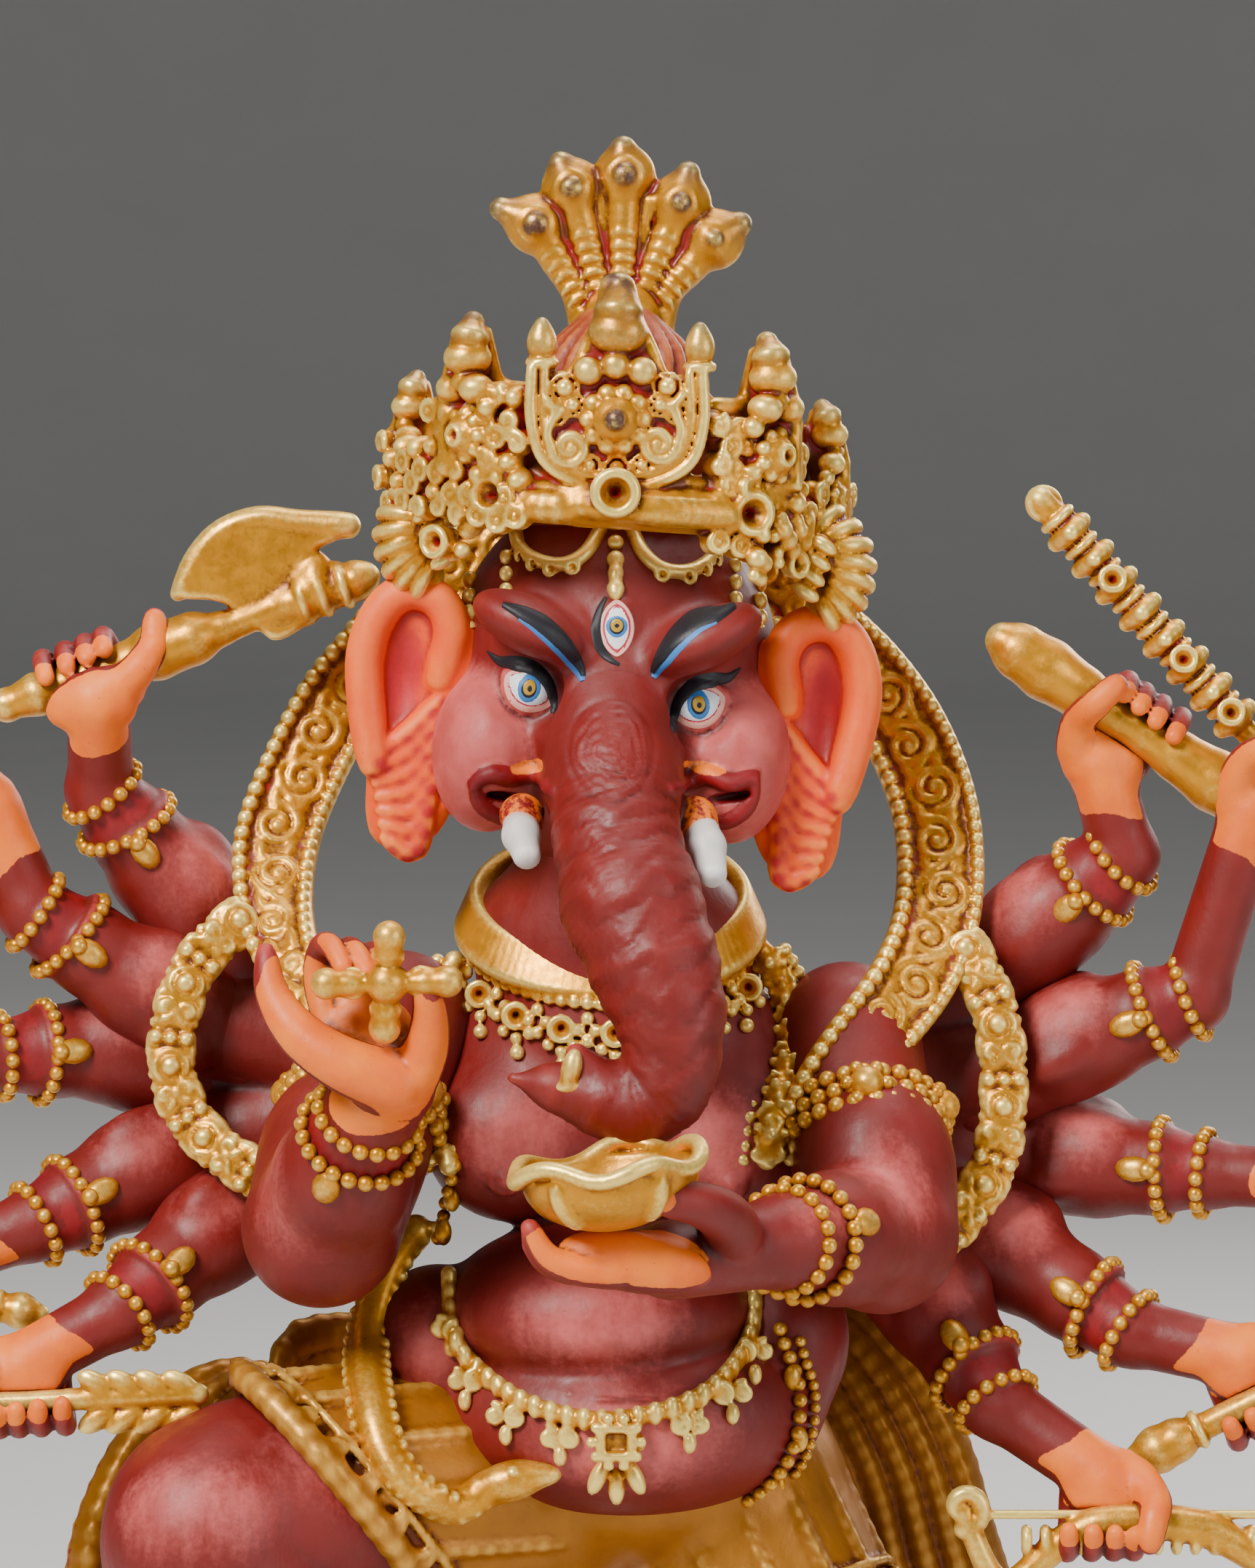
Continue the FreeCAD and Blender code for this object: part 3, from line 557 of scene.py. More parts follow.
def blade(outline, y, half, round_=0.3, inset=0.0):
    """An outline in the XZ plane given thickness along Y, with rounded edges."""
    flat = outline_distance(outline)
    ring = np.asarray(outline, float)

    def field(x, yy, z):
        a = flat(x, z) + inset + round_
        b = np.abs(yy - y) - half + round_
        return np.sqrt(np.maximum(a, 0)**2 + np.maximum(b, 0)**2) + np.minimum(np.maximum(a, b), 0) - round_
    low = vec(ring[:, 0].min(), y - half, ring[:, 1].min())
    high = vec(ring[:, 0].max(), y + half, ring[:, 1].max())
    return field, low, high


def front_of(clay, x, z, proud=0.0):
    """The first surface met from the front at (x, z)."""
    ys = clay.low[1] + clay.h * np.arange(clay.n[1])
    column = np.column_stack([np.full(len(ys), x), ys, np.full(len(ys), z)])
    d = clay.sample(clay.d, column)
    first = int(np.argmax(d < 0))
    if d[first] >= 0:
        return vec(x, ys[int(np.argmin(d))] - proud, z)     # beside the shape: its nearest depth
    share = d[first - 1] / (d[first - 1] - d[first]) if first else 0.0
    return vec(x, ys[first - 1] + clay.h * share - proud, z)


TRUNK = np.array([(-0.3, -14.0, 160.0), (-0.3, -18.3, 155.5), (0.0, -22.5, 151.0), (1.2, -25.8, 146.2),
                  (3.1, -28.0, 141.2), (4.3, -29.2, 137.6), (4.7, -29.8, 134.4), (4.0, -30.0, 131.2),
                  (1.4, -29.9, 129.6), (-2.0, -29.8, 130.6), (-5.4, -30.0, 131.4), (-8.6, -30.2, 132.1)])
TRUNK_RADII = [5.9, 5.6, 5.1, 5.7, 5.2, 4.5, 3.8, 3.5, 3.4, 2.8, 1.7, 0.45]
EYES = {-1: (vec(-7.45, 163.0), 32.0), 1: (vec(6.95, 161.6), -20.0)}
UPPER_LIP = {-1: [(-12.2, 155.1), (-10.6, 156.0), (-8.7, 155.6), (-7.0, 155.9), (-5.3, 154.9)],
             1: [(4.5, 155.2), (6.1, 155.3), (7.7, 155.9), (9.6, 155.2), (11.7, 155.9)]}
LOWER_LIP = {-1: [(-12.1, 154.8), (-11.3, 153.0), (-9.5, 152.0), (-7.8, 152.1)],
             1: [(11.7, 155.4), (11.1, 153.2), (9.2, 151.8), (7.1, 152.1)]}


def trunk_rings(points, normals):
    """Ring wrinkles down the trunk, and whorls on its bridge."""
    route = smooth_path(TRUNK, 0.5)
    run = np.arange(len(route)) * 0.5
    near = np.full(len(points), 1e9)
    s = np.zeros(len(points))
    for k, p in enumerate(route):
        d = ((points - p)**2).sum(axis=1)
        closer = d < near
        near[closer], s[closer] = d[closer], run[k]
    depth = np.zeros(len(points))
    reach = np.sqrt(near)
    on_trunk = np.clip((6.9 - reach) / 1.2, 0, 1) * np.clip((s - 7.0) / 3.0, 0, 1) * np.clip((50 - s) / 5, 0, 1)
    on_trunk *= points[:, 1] < -15.0
    side = points[:, 0] - np.interp(s, run, route[:, 0])
    wobble = 0.55 * np.sin(side * 0.9 + s * 0.35) + 0.4 * np.sin(side * 1.9 + s * 0.9)
    pitch = 1.5 + 0.022 * s
    phase = (s + wobble * 0.55 + 0.10 * side**2 / 3) / pitch
    ridge = 0.5 + 0.5 * np.cos(2 * math.pi * phase)
    fine = 0.5 + 0.5 * np.cos(2 * math.pi * (phase * 2.0 + 0.4 * np.sin(side * 1.3)))
    depth += on_trunk * (0.19 * ridge**0.7 - 0.12 + 0.04 * (fine - 0.5))
    # whorls on the bridge of the trunk
    u, v = points[:, 0] + 0.45, (points[:, 2] - 158.6) * 0.90
    r = np.sqrt(u**2 + v**2)
    swirl = r + 0.22 * np.sin(3 * np.arctan2(v, u) + 1.0) + 0.10 * np.sin(5 * u)
    whorl = 0.5 + 0.5 * np.cos(2 * math.pi * swirl / 0.62)
    here = np.clip((3.4 - r) / 0.7, 0, 1) * (points[:, 1] < -14)
    depth += here * (0.17 * whorl - 0.08) - 0.10 * np.exp(-((r - 3.6) / 0.22)**2) * (points[:, 1] < -14)
    return depth


def build_head():
    c = Clay((-18, -37, 122), (17, 10, 184), 0.30)
    c.add(orb((-0.2, -3.5, 165.0), (14.0, 13.0, 14.5)), 1.0)
    c.add(orb((-0.3, -2.0, 154.0), (11.0, 11.0, 9.0)), 3.0)
    # cheeks: pink painted highlight on their round fronts
    for x, z in ((-10.9, 157.6), (9.9, 156.6)):
        c.add(orb((x, -8.6, z), (5.0, 7.6, 7.2), ROLL), 1.6, (0, 1.0, 0))
    c.add(orb((-0.3, -11.0, 158.4), (6.8, 8.6, 9.8)), 2.6)
    for side in (-1, 1):
        c.add(orb(head_place(side * 7.4, -9.4, 6.0), (5.2, 4.4, 2.4), turn((0, 1, 0), side * -26)), 2.2)
    c.chain(TRUNK, TRUNK_RADII, 1.2)
    c.chain([(-1.2, -29.9, 131.2), (-2.6, -30.4, 133.0), (-3.2, -30.8, 134.2)], [2.1, 1.5, 0.95], 0.7)
    # eye sockets, balls and lids
    for side, (place, tilt) in EYES.items():
        spin = turn((0, 1, 0), tilt)
        y = front_of(c, place[0], place[1])[1]
        socket = vec(place[0], y, place[1])
        c.carve(orb(socket + vec(0, -1.1, 0), (3.3, 2.0, 2.8), spin), 1.2)
        c.add(orb(socket + vec(0, 1.3, 0), (2.35, 2.0, 2.05), spin), 0.5)
        for lid, lift in ((1, 1.55), (-1, -1.45)):
            arc = [socket + spin @ vec(x, 0.35 + 0.10 * x * x, lid * (abs(lift) - 0.30 * x * x)) for x in
                   (-2.3, -1.5, -0.5, 0.5, 1.5, 2.3)]
            c.chain(arc, [0.28, 0.44, 0.52, 0.52, 0.44, 0.28], 0.5, (0, 1.0, 0))
    third = front_of(c, 0.0, 168.3)
    c.add(orb(third + vec(0, 0.9, 0), (1.75, 1.3, 2.5)), 0.7)
    # mouths: crimson lips round a dark slit on each side of the trunk
    for side in (-1, 1):
        for path, sizes in ((UPPER_LIP[side], (0.35, 0.6, 0.7, 0.65, 0.35)), (LOWER_LIP[side], (0.35, 0.6, 0.65,
                0.4))):
            line = smooth_path(path, 0.7)
            points = [front_of(c, x, z, 0.1) for x, z in line]
            c.chain(points, np.interp(np.linspace(0, 1, len(line)), np.linspace(0, 1, len(sizes)), sizes), 0.45,
                    (0, 0, 1.0))
        middle = front_of(c, side * 9.3, 153.9)
        c.carve(orb(middle + vec(0, 0.1, 0), (2.1, 1.2, 0.42), turn((0, 1, 0), side * -12)), 0.35, (0, 0, 1.0))
    # orange along the top of the upper lips: the lips' orange edge, and a painted highlight where the top faces the
    # light
    for side in (-1, 1):
        top = front_of(c, side * 7.4, 156.4, 0.1)
        c.brush(orb(top + vec(0, 0, 0.1), (1.9, 1.6, 0.65), turn((0, 1, 0), side * 12)), (1.0, None, 0.2), 0.25)
    # tusk sockets
    for side in (-1, 1):
        root, tip = tusk_line(side)
        c.add(rod(root, root + (tip - root) * 0.2, 1.9, 1.75), 0.8, (0.7, 0, 0.5))
    piece = c.piece("head_sculpt", skin, trunk_rings)
    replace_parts(piece, "head")
    return c, tree_of(piece)


def tusk_line(side):
    if side < 0:
        return vec(-8.0, -17.4, 152.6), vec(-7.5, -22.0, 149.7)
    return vec(6.6, -17.6, 152.4), vec(8.0, -22.6, 148.2)


def build_tusks():
    c = Clay((-12, -28, 142), (12, -12, 158), 0.22)
    for side in (-1, 1):
        root, tip = tusk_line(side)
        axis = unit(tip - root)
        middle = root + (tip - root) * 0.5 + vec(side * 0.25, -0.3, 0)
        c.chain([root, middle, tip], [1.6, 1.55, 1.2], 0.5)
        c.carve(slab(tip + axis * 2.0, (3, 3, 1.0), frame_of(axis), 0.1), 0.5)
        c.brush(orb(root + axis * 0.3 + vec(-side * 0.4, 0, 0), 2.3), (1.0, 0, 0), 0.6)
    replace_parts(c.piece("tusk_pair", ivory), "tusks")
    nail = Clay((-7, -36, 129), (0, -29, 138), 0.16)
    nail.add(orb((-3.7, -31.9, 133.1), (0.85, 0.9, 1.7), turn((0, 1, 0), 12)), 0.2)
    nail.add(orb((-3.9, -31.6, 131.6), (1.3, 0.9, 0.6)), 0.5)
    nail.piece("trunk_finger_tip", gold)


EAR_OUTLINE = [(18.6, 8.7), (21.2, 6.6), (22.6, 2.2), (22.0, -2.7), (20.6, -7.6), (20.3, -11.6), (19.4, -13.9),
               (16.9, -14.7), (14.2, -13.2), (12.6, -9.5), (12.7, -5.0), (13.0, 1.0), (13.4, 6.0), (15.4, 8.6)]


def build_ear(side, name):
    """A cupped ear with a thick rolled rim, and folds that run down to the lobe."""
    turned = [head_place(side * x, 0, z) for x, z in smooth_path(EAR_OUTLINE, 1.0, closed=True)]
    outline = [(p[0], p[2]) for p in turned]
    y = HEAD_CENTRE[1] - 1.4
    xs, zs = [p[0] for p in outline], [p[1] for p in outline]
    c = Clay((min(xs) - 2, y - 6, min(zs) - 2), (max(xs) + 2, y + 5, max(zs) + 2), 0.25)

    def at(x, depth, z):
        return head_place(side * x, depth, z)
    c.add(blade(outline, y + 0.8, 1.7, 1.3), 0.5)
    c.carve(orb(at(18.0, -5.4, 0.4), (2.9, 4.2, 7.0), ROLL), 0.9, (0, 0, 0.9))
    rim = [(14.6, 0.5), (14.0, 4.6), (15.4, 7.2), (18.2, 7.7), (20.4, 5.6), (21.4, 1.8), (20.8, -3.2), (19.8, -7.2)]
    path = [at(x, -2.3 - 0.3 * math.sin(i), z) for i, (x, z) in enumerate(rim)]
    c.chain(smooth_path(path, 1.0), np.linspace(1.35, 1.35, len(smooth_path(path, 1.0))), 0.7)
    for i in range(7):
        top = (14.0 + 0.15 * i, -0.6 - 1.9 * i)
        middle = (16.6 - 0.1 * i, -4.0 - 1.75 * i)
        low = (20.0 - 0.25 * i, -6.6 - 1.15 * i)
        ridge = smooth_path([at(p[0], d, p[1]) for p, d in ((top, -2.5), (middle, -2.0), (low, -2.6))], 0.8)
        taper = 0.95 * np.sin(np.linspace(0.35, 2.85, len(ridge)))**0.6
        c.chain(ridge, taper, 0.45)
        # red in the groove just under each fold: red paint in the folds, set where the fold's shadow falls as painted
        # shade
        groove = [p + ROLL @ vec(0, -0.9, -0.95) for p in ridge]
        for p in groove[::2]:
            c.brush(orb(p, 0.75), (None, None, 0.9), 0.3)
    c.chain([at(12.6, -1.4, 4.5), at(12.4, -1.8, -2.0), at(12.6, -1.6, -8.5)], [1.3, 1.6, 1.2], 0.8, (0, 0, 0.35))
    piece = c.piece(name, ear_paint)
    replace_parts(piece, "ear_right" if side < 0 else "ear_left")


# ------------------------------------------------------------------ brushwork laid on a surface
def laid_patch(name, tree, outline, material, rise, edge=0.02, rings=9):
    """A closed spot of paint, proud by rise in its middle, lying on the surface of tree."""
    ring = np.asarray(outline, float)
    middle = ring.mean(axis=0)
    points, faces, count = [], [], len(ring)
    for k in range(rings + 1):
        share = 1 - k / rings
        height = edge + (rise - edge) * math.sin(min(1.0, (1 - share) * 2.2) * math.pi / 2)
        for q in (middle + (ring - middle) * share if k < rings else [middle]):
            hit, _ = on_surface(tree, q[0], q[1], height)
            points.append(hit)
    for k in range(rings - 1):
        for i in range(count):
            j = (i + 1) % count
            faces.append((k * count + i, k * count + j, (k + 1) * count + j, (k + 1) * count + i))
    for i in range(count):
        faces.append(((rings - 1) * count + i, (rings - 1) * count + (i + 1) % count, rings * count))
    return make_piece(name, points, faces, material)


def laid_stroke(name, tree, path, widths, material, rise=0.10):
    """A tapered brush stroke along a path of (x, z) points."""
    line = smooth_path(path, 0.16)
    width = np.interp(np.linspace(0, 1, len(line)), np.linspace(0, 1, len(widths)), widths)
    along = np.gradient(line, axis=0)
    along /= np.linalg.norm(along, axis=1)[:, None]
    side = np.column_stack([-along[:, 1], along[:, 0]])
    profile = [(-0.5, 0.02), (-0.38, 0.75), (-0.15, 1.0), (0.15, 1.0), (0.38, 0.75), (0.5, 0.02)]
    points, faces = [], []
    for p, s, w in zip(line, side, width):
        for u, h in profile:
            q = p + s * (u * w)
            hit, _ = on_surface(tree, q[0], q[1], 0.015 + rise * h * min(1.0, w / 0.5))
            points.append(hit)
    n = len(profile)
    for i in range(len(line) - 1):
        for j in range(n - 1):
            faces.append((i * n + j, i * n + j + 1, (i + 1) * n + j + 1, (i + 1) * n + j))
    return make_piece(name, points, faces, material)


def almond(centre, length, height, tilt, count=40, skew=0.0):
    a = np.arange(count) / count * 2 * math.pi
    x = np.cos(a) * length / 2
    z = np.sin(a) * height / 2 * np.abs(np.sin(a))**0.35 + skew * np.cos(a)**2
    t = math.radians(-tilt)
    return np.column_stack([centre[0] + x * math.cos(t) - z * math.sin(t),
                            centre[1] + x * math.sin(t) + z * math.cos(t)])


def oval(centre, rx, rz, tilt=0.0, count=32):
    a = np.arange(count) / count * 2 * math.pi
    t = math.radians(-tilt)
    x, z = np.cos(a) * rx, np.sin(a) * rz
    return np.column_stack([centre[0] + x * math.cos(t) - z * math.sin(t),
                            centre[1] + x * math.sin(t) + z * math.cos(t)])


def build_eyes(tree):
    """Painted eyes and brows: each colour is a coat laid over the last."""
    for side, (place, tilt) in EYES.items():
        tag = "right" if side < 0 else "left"
        laid_patch(f"lid_pink_{tag}", tree, almond(place, 4.6, 3.7, tilt), pale_pink, 0.07)
        laid_patch(f"lid_rose_{tag}", tree, almond(place + vec(0, 0.05), 4.2, 3.2, tilt), rose_red, 0.10)
        laid_patch(f"eye_white_{tag}", tree, almond(place + vec(0, 0.08), 3.95, 2.9, tilt), white_paint, 0.14)
        iris = place + vec(-side * 0.05, 0.15)
        laid_patch(f"iris_blue_{tag}", tree, oval(iris, 1.22, 1.42, tilt * 0.4), blue_paint, 0.18)
        laid_patch(f"iris_ring_{tag}", tree, oval(iris, 0.86, 1.05, tilt * 0.4), black_paint, 0.21)
        laid_patch(f"iris_gold_{tag}", tree, oval(iris + vec(0.02, 0.08), 0.70, 0.86, tilt * 0.4), iris_gold, 0.24)
        laid_patch(f"pupil_{tag}", tree, oval(iris + vec(0.05, 0.0), 0.27, 0.34), black_paint, 0.27)
        s = -side
        liner = [place + vec(-s * 3.55, 3.1), place + vec(-s * 2.5, 2.35), place + vec(-s * 1.3, 2.25),
                 place + vec(s * 0.3, 1.85), place + vec(s * 1.6, 0.55), place + vec(s * 2.15, -1.2),
                 place + vec(s * 2.0, -1.95)]
        laid_stroke(f"eye_liner_{tag}", tree, liner, (0.15, 0.9, 1.35, 1.35, 1.15, 0.9, 0.35), black_paint, 0.2)
    brows = {"right": [(-9.5, 170.5), (-8.0, 169.9), (-6.2, 168.9), (-4.4, 167.2), (-3.1, 165.2), (-2.8, 164.4)],
             "left": [(9.9, 170.3), (8.2, 169.6), (6.4, 169.0), (4.8, 167.6), (3.6, 165.9), (3.0, 164.7)]}
    for tag, path in brows.items():
        s = 1 if tag == "left" else -1
        shadow = [(x + s * 0.10, z - 0.42) for x, z in path]
        laid_stroke(f"brow_blue_{tag}", tree, shadow[1:], (0.5, 1.25, 1.45, 1.3, 0.5), blue_paint, 0.09)
        laid_stroke(f"brow_black_{tag}", tree, path, (0.45, 1.25, 1.55, 1.5, 1.15, 0.45), black_paint, 0.22)
    third = vec(0.0, 168.35)
    laid_patch("third_eye_pink", tree, almond(third, 4.7, 2.9, 90), pale_pink, 0.06)
    laid_patch("third_eye_red", tree, almond(third, 4.4, 2.6, 90), rose_red, 0.09)
    laid_patch("third_eye_white", tree, almond(third, 4.1, 2.35, 90), white_paint, 0.12)
    laid_patch("third_iris_blue", tree, oval(third + vec(0, 0.1), 1.08, 1.22), blue_paint, 0.15)
    laid_patch("third_iris_ring", tree, oval(third + vec(0, 0.15), 0.84, 0.92), black_paint, 0.18)
    laid_patch("third_iris_gold", tree, oval(third + vec(0, 0.2), 0.70, 0.76), iris_gold, 0.21)
    laid_patch("third_pupil", tree, oval(third + vec(0, 0.2), 0.26, 0.26), black_paint, 0.24)
    stroke = [(-0.9, 170.9), (-1.45, 169.8), (-1.75, 168.3), (-1.4, 166.7), (-0.6, 165.8), (0.2, 165.35)]
    laid_stroke("third_eye_liner", tree, stroke, (0.3, 0.6, 0.85, 0.8, 0.7, 0.3), black_paint, 0.12)


# ------------------------------------------------------------------ casting: many small simple forms in one piece
class Casting:
    """Collects balls and drops, with the exposure that the paint reads."""

    def __init__(self):
        self.points, self.faces, self.fine = [], [], []
        self.count = 0

    def _take(self, points, faces, fine):
        self.points.append(points)
        self.faces.extend((np.asarray(faces) + self.count).tolist())
        self.fine.append(fine)
        self.count += len(points)

    def ball(self, centre, radii, out=(0, -1, 0), spin=None, around=12, rows=8):
        """out is the side that is seen; the side against the surface gets painted shade, and the seen side a painted
        highlight.
        """
        m = np.eye(3) if spin is None else spin
        v = np.linspace(0, math.pi, rows + 1)[1:-1]
        u = np.arange(around) / around * 2 * math.pi
        ring = np.stack([np.outer(np.sin(v), np.cos(u)), np.outer(np.sin(v), np.sin(u)),
                         np.outer(np.cos(v), np.ones(around))], axis=-1).reshape(-1, 3)
        ball = np.vstack([[0, 0, 1], ring, [0, 0, -1]])
        r = np.broadcast_to(np.asarray(radii, float), 3)
        points = centre + (ball * r) @ m.T
        faces = []
        for j in range(around):
            k = (j + 1) % around
            faces.append((0, 1 + j, 1 + k, 1 + k))
            for i in range(rows - 2):
                a, b = 1 + i * around, 1 + (i + 1) * around
                faces.append((a + j, b + j, b + k, a + k))
            last = 1 + (rows - 2) * around
            faces.append((len(ball) - 1, last + k, last + j, last + j))
        # painted light: exposure rises on the side facing out and falls on the side against the surface
        facing = (ball @ m.T) @ unit(out)
        self._take(points, faces, 0.13 * facing)
        return self

    def beads(self, points, radius, outs):
        for p, o in zip(points, outs):
            self.ball(p, radius, o)
        return self

    def piece(self, name, material):
        faces = [tuple(dict.fromkeys(f)) for f in self.faces]
        return make_piece(name, np.vstack(self.points), faces, material, np.concatenate(self.fine))


def spiral(centre, radius, turns, start, across, up, handed=1, count=26):
    """A flat volute that winds in to its centre."""
    t = np.linspace(0, 1, count)
    a = math.radians(start) + handed * turns * 2 * math.pi * t
    r = radius * (1 - t)**0.85
    return centre + (r * np.cos(a))[:, None] * across + (r * np.sin(a))[:, None] * up


def socket(clay, centre, out, radius, depth=0.9, paint=None):
    """An empty round stone setting: a raised ring round a hollow cone."""
    out = unit(out)
    clay.add(orb(centre - out * 0.2, radius * 0.95), 0.25)
    clay.add(hoop(centre + out * radius * 0.45, out, radius * 0.80, radius * 0.24), 0.2)
    clay.carve(orb(centre + out * radius * 0.75, radius * 0.62), 0.15, paint)
    clay.carve(rod(centre + out * radius, centre - out * depth * 0.4, radius * 0.5, radius * 0.14), 0.1, paint)


def rosette(clay, centre, out, radius, petals=9, stud=0.4, paint=None):
    """Two rows of round petals about a stud."""
    out = unit(out)
    clay.add(orb(centre - out * 0.3, radius * 0.8), 0.4)
    for k, (share, size, lift, shift) in enumerate(((0.80, 0.31, 0.05, 0.0), (0.45, 0.22, 0.45, 0.5))):
        count = petals if k == 0 else petals - 1
        for p in circle(centre + out * lift * radius * 0.6, out, radius * share, count, start=shift * 6.28 / count):
            clay.add(orb(p, radius * size), 0.10)
    clay.add(orb(centre + out * radius * 0.52, radius * stud * 0.85), 0.12, paint)


WORN = (0, 0, 1.0)
CROWN_AXIS = vec(-0.6, -6.5, 0.0)


def build_crown():
    c = Clay((-24, -28, 168), (23, 9, 199.5), 0.24)
    front = vec(0, -1, 0)
    y = -21.4
    # band: bars between the sockets, on a ring that follows the head
    ring = [head_place(15.4 * math.sin(a), 0.5 - 15.4 * math.cos(a), 16.6) for a in np.linspace(-2.9, 2.9, 60)]
    c.chain(ring, [0.95] * len(ring), 0.6)
    c.chain([p + vec(0, 0.3, 0.9) for p in ring], [0.9] * len(ring), 0.6)
    for x0, x1 in ((-8.7, -2.0), (2.3, 9.0)):
        bar = [(x0, -19.4, 178.9), ((x0 + x1) / 2, -21.2 + 0.02 * abs(x0), 178.6), (x1, -20.2, 178.4)]
        bar = sorted(bar) if x0 < 0 else [(x0, -21.9, 178.5), ((x0 + x1) / 2, -21.3, 178.3), (x1, -19.8, 178.0)]
        line = smooth_path(bar, 1.0)
        c.chain(line, [1.25] * len(line), 0.3)
        c.chain([p + vec(0, -0.55, 0.75) for p in line], [0.5] * len(line), 0.3)
    # the wall that the leaves stand on
    for a in np.linspace(-1.85, 1.85, 60):
        foot = head_place(14.4 * math.sin(a), 0.9 - 14.4 * math.cos(a), 16.0)
        tall = 3.0 if abs(a) < 0.5 else 9.6 - 3.2 * max(0.0, abs(a) - 0.9)
        c.add(rod(foot, foot + vec(0, 0, tall), 1.1, 0.8), 0.6)
    build_front_leaf(c, y, front)
    crown_filigree(c)
    # four side leaves: stacked bulbs over a rosette that holds a socket
    leaves = [(-12.1, 184.6, 195.0, 0.95, -46), (12.7, 182.9, 193.3, 0.95, 48),
              (-17.2, 181.2, 190.2, 0.74, -76), (17.7, 178.9, 187.7, 0.74, 78)]
    for x, z, top, size, angle in leaves:
        a = math.radians(angle)
        out = vec(math.sin(a), -math.cos(a), 0)
        side = vec(math.cos(a), math.sin(a), 0)
        base = vec(x, CROWN_AXIS[1] - 15.8 * math.cos(a) * (1.0 if abs(angle) < 60 else 0.55), z)
        lean = vec(-0.02 * x, 0, 0)
        tall = top - z
        c.add(blade([(x - 3.0 * size, z - 3), (x + 3.0 * size, z - 3), (x + 3.0 * size, z + tall * 0.35),
                     (x + 1.7 * size, z + tall * 0.85), (x, z + tall - 0.8), (x - 1.7 * size, z + tall * 0.85),
                     (x - 3.0 * size, z + tall * 0.35)], base[1] + 1.2, 1.1, 0.6), 0.8)
        rosette(c, base + out * 0.9, out, 2.35 * size, 9, 0.1)
        socket(c, base + out * 1.9 * size, out, 0.98 * size)
        for s in (-1, 1):
            c.add(orb(base + side * s * 1.45 * size + vec(0, 0, 4.1 * size) + out * 0.8, (1.6 * size,
                    1.5 * size, 1.35 * size)), 0.15)
            c.add(orb(base + side * s * 2.6 * size + vec(0, 0, 2.5 * size) + out * 0.5, 1.0 * size), 0.15)
            c.add(orb(base + side * s * 2.4 * size + vec(0, 0, -1.5 * size) + out * 0.3, 0.85 * size), 0.2)
            curl = spiral(base + side * s * 3.0 * size + vec(0, 0, -2.6 * size) + out * 0.3, 1.25 * size, 1.4,
                          90, side,
                          vec(0, 0, 1), s)
            c.chain(curl, np.linspace(0.42, 0.30, len(curl)), 0.12)
        c.add(orb(base + vec(0, 0, tall * 0.62) + out * 0.8 + lean, (2.15 * size, 1.7 * size, 1.65 * size)), 0.15)
        c.add(orb(base + vec(0, 0, tall * 0.62 - 2.1 * size) + out * 1.2 + lean, (1.15 * size, 1.1 * size,
                1.0 * size)), 0.15)
        tip = base + vec(0, 0, tall * 0.80) + out * 0.5 + lean
        c.add(rod(tip, vec(tip[0] - 0.02 * x, tip[1] + 0.4, top - 1.0), 1.75 * size, 1.0 * size), 0.25, (0, 0, 0.35))
        c.brush(orb(vec(tip[0], tip[1], top), 1.3), (None, None, 0.9), 0.8)
    # sockets along the band
    socket(c, vec(-0.1, -22.6, 180.0), front, 2.05)
    socket(c, vec(-10.3, -18.9, 179.7), (-0.45, -0.9, 0), 1.7)
    socket(c, vec(11.0, -18.4, 178.1), (0.45, -0.9, 0), 1.95)
    socket(c, vec(-15.0, -15.6, 175.6), (-0.6, -0.8, 0), 1.45)
    socket(c, vec(15.0, -14.6, 173.6), (0.7, -0.7, 0), 1.2)
    # knots and small leaves that fill the band under the side leaves
    local = np.random.default_rng(5)
    for side in (-1, 1):
        for _ in range(34):
            a = side * local.uniform(0.72, 1.55)
            p = head_place(16.6 * math.sin(a), 0.5 - 16.6 * math.cos(a), local.uniform(11.5, 18.5))
            c.add(orb(p, local.uniform(0.55, 1.05)), 0.15)
    build_swags(c)
    piece = c.piece("crown_sculpt", gold)
    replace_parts(piece, "crown_band", "crown_leaf_front", "crown_leaves_diagonal", "crown_leaves_side")


def crown_filigree(c):
    """Small rings, knobs and curls packed between the leaves."""
    local = np.random.default_rng(8)
    for side in (-1, 1):
        for x in np.arange(8.4, 20.5, 1.55):
            top = 186.6 if x < 10 else (185.2 if x < 15 else 182.6)
            for k, z in enumerate(np.arange(176.6, top, 1.65)):
                dx, dz = local.uniform(-0.3, 0.3, 2)
                px = side * (x + (0.7 if k % 2 else 0.0) + dx)
                a = math.asin(max(-0.98, min(0.98, (px + 0.6) / 20.6)))
                out = vec(math.sin(a), -math.cos(a), 0)
                p = vec(px, -6.8 - 15.6 * math.cos(a * 1.25), z + dz - 0.12 * side * x)
                kind = local.integers(0, 3)
                if kind == 0:
                    c.add(hoop(p + out * 0.4, out, 0.78, 0.33), 0.12)
                    c.add(orb(p + out * 0.45, 0.34), 0.1)
                elif kind == 1:
                    c.add(orb(p, local.uniform(0.75, 1.0)), 0.15)
                else:
                    curl = spiral(p + out * 0.4, 0.95, 1.3, local.uniform(0, 360), vec(math.cos(a), math.sin(a),
                            0), vec(0, 0, 1),
                                  1 if k % 2 else -1, 14)
                    c.chain(curl, [0.36] * len(curl), 0.12)
                c.add(orb(p - out * 0.7, 1.15), 0.3)


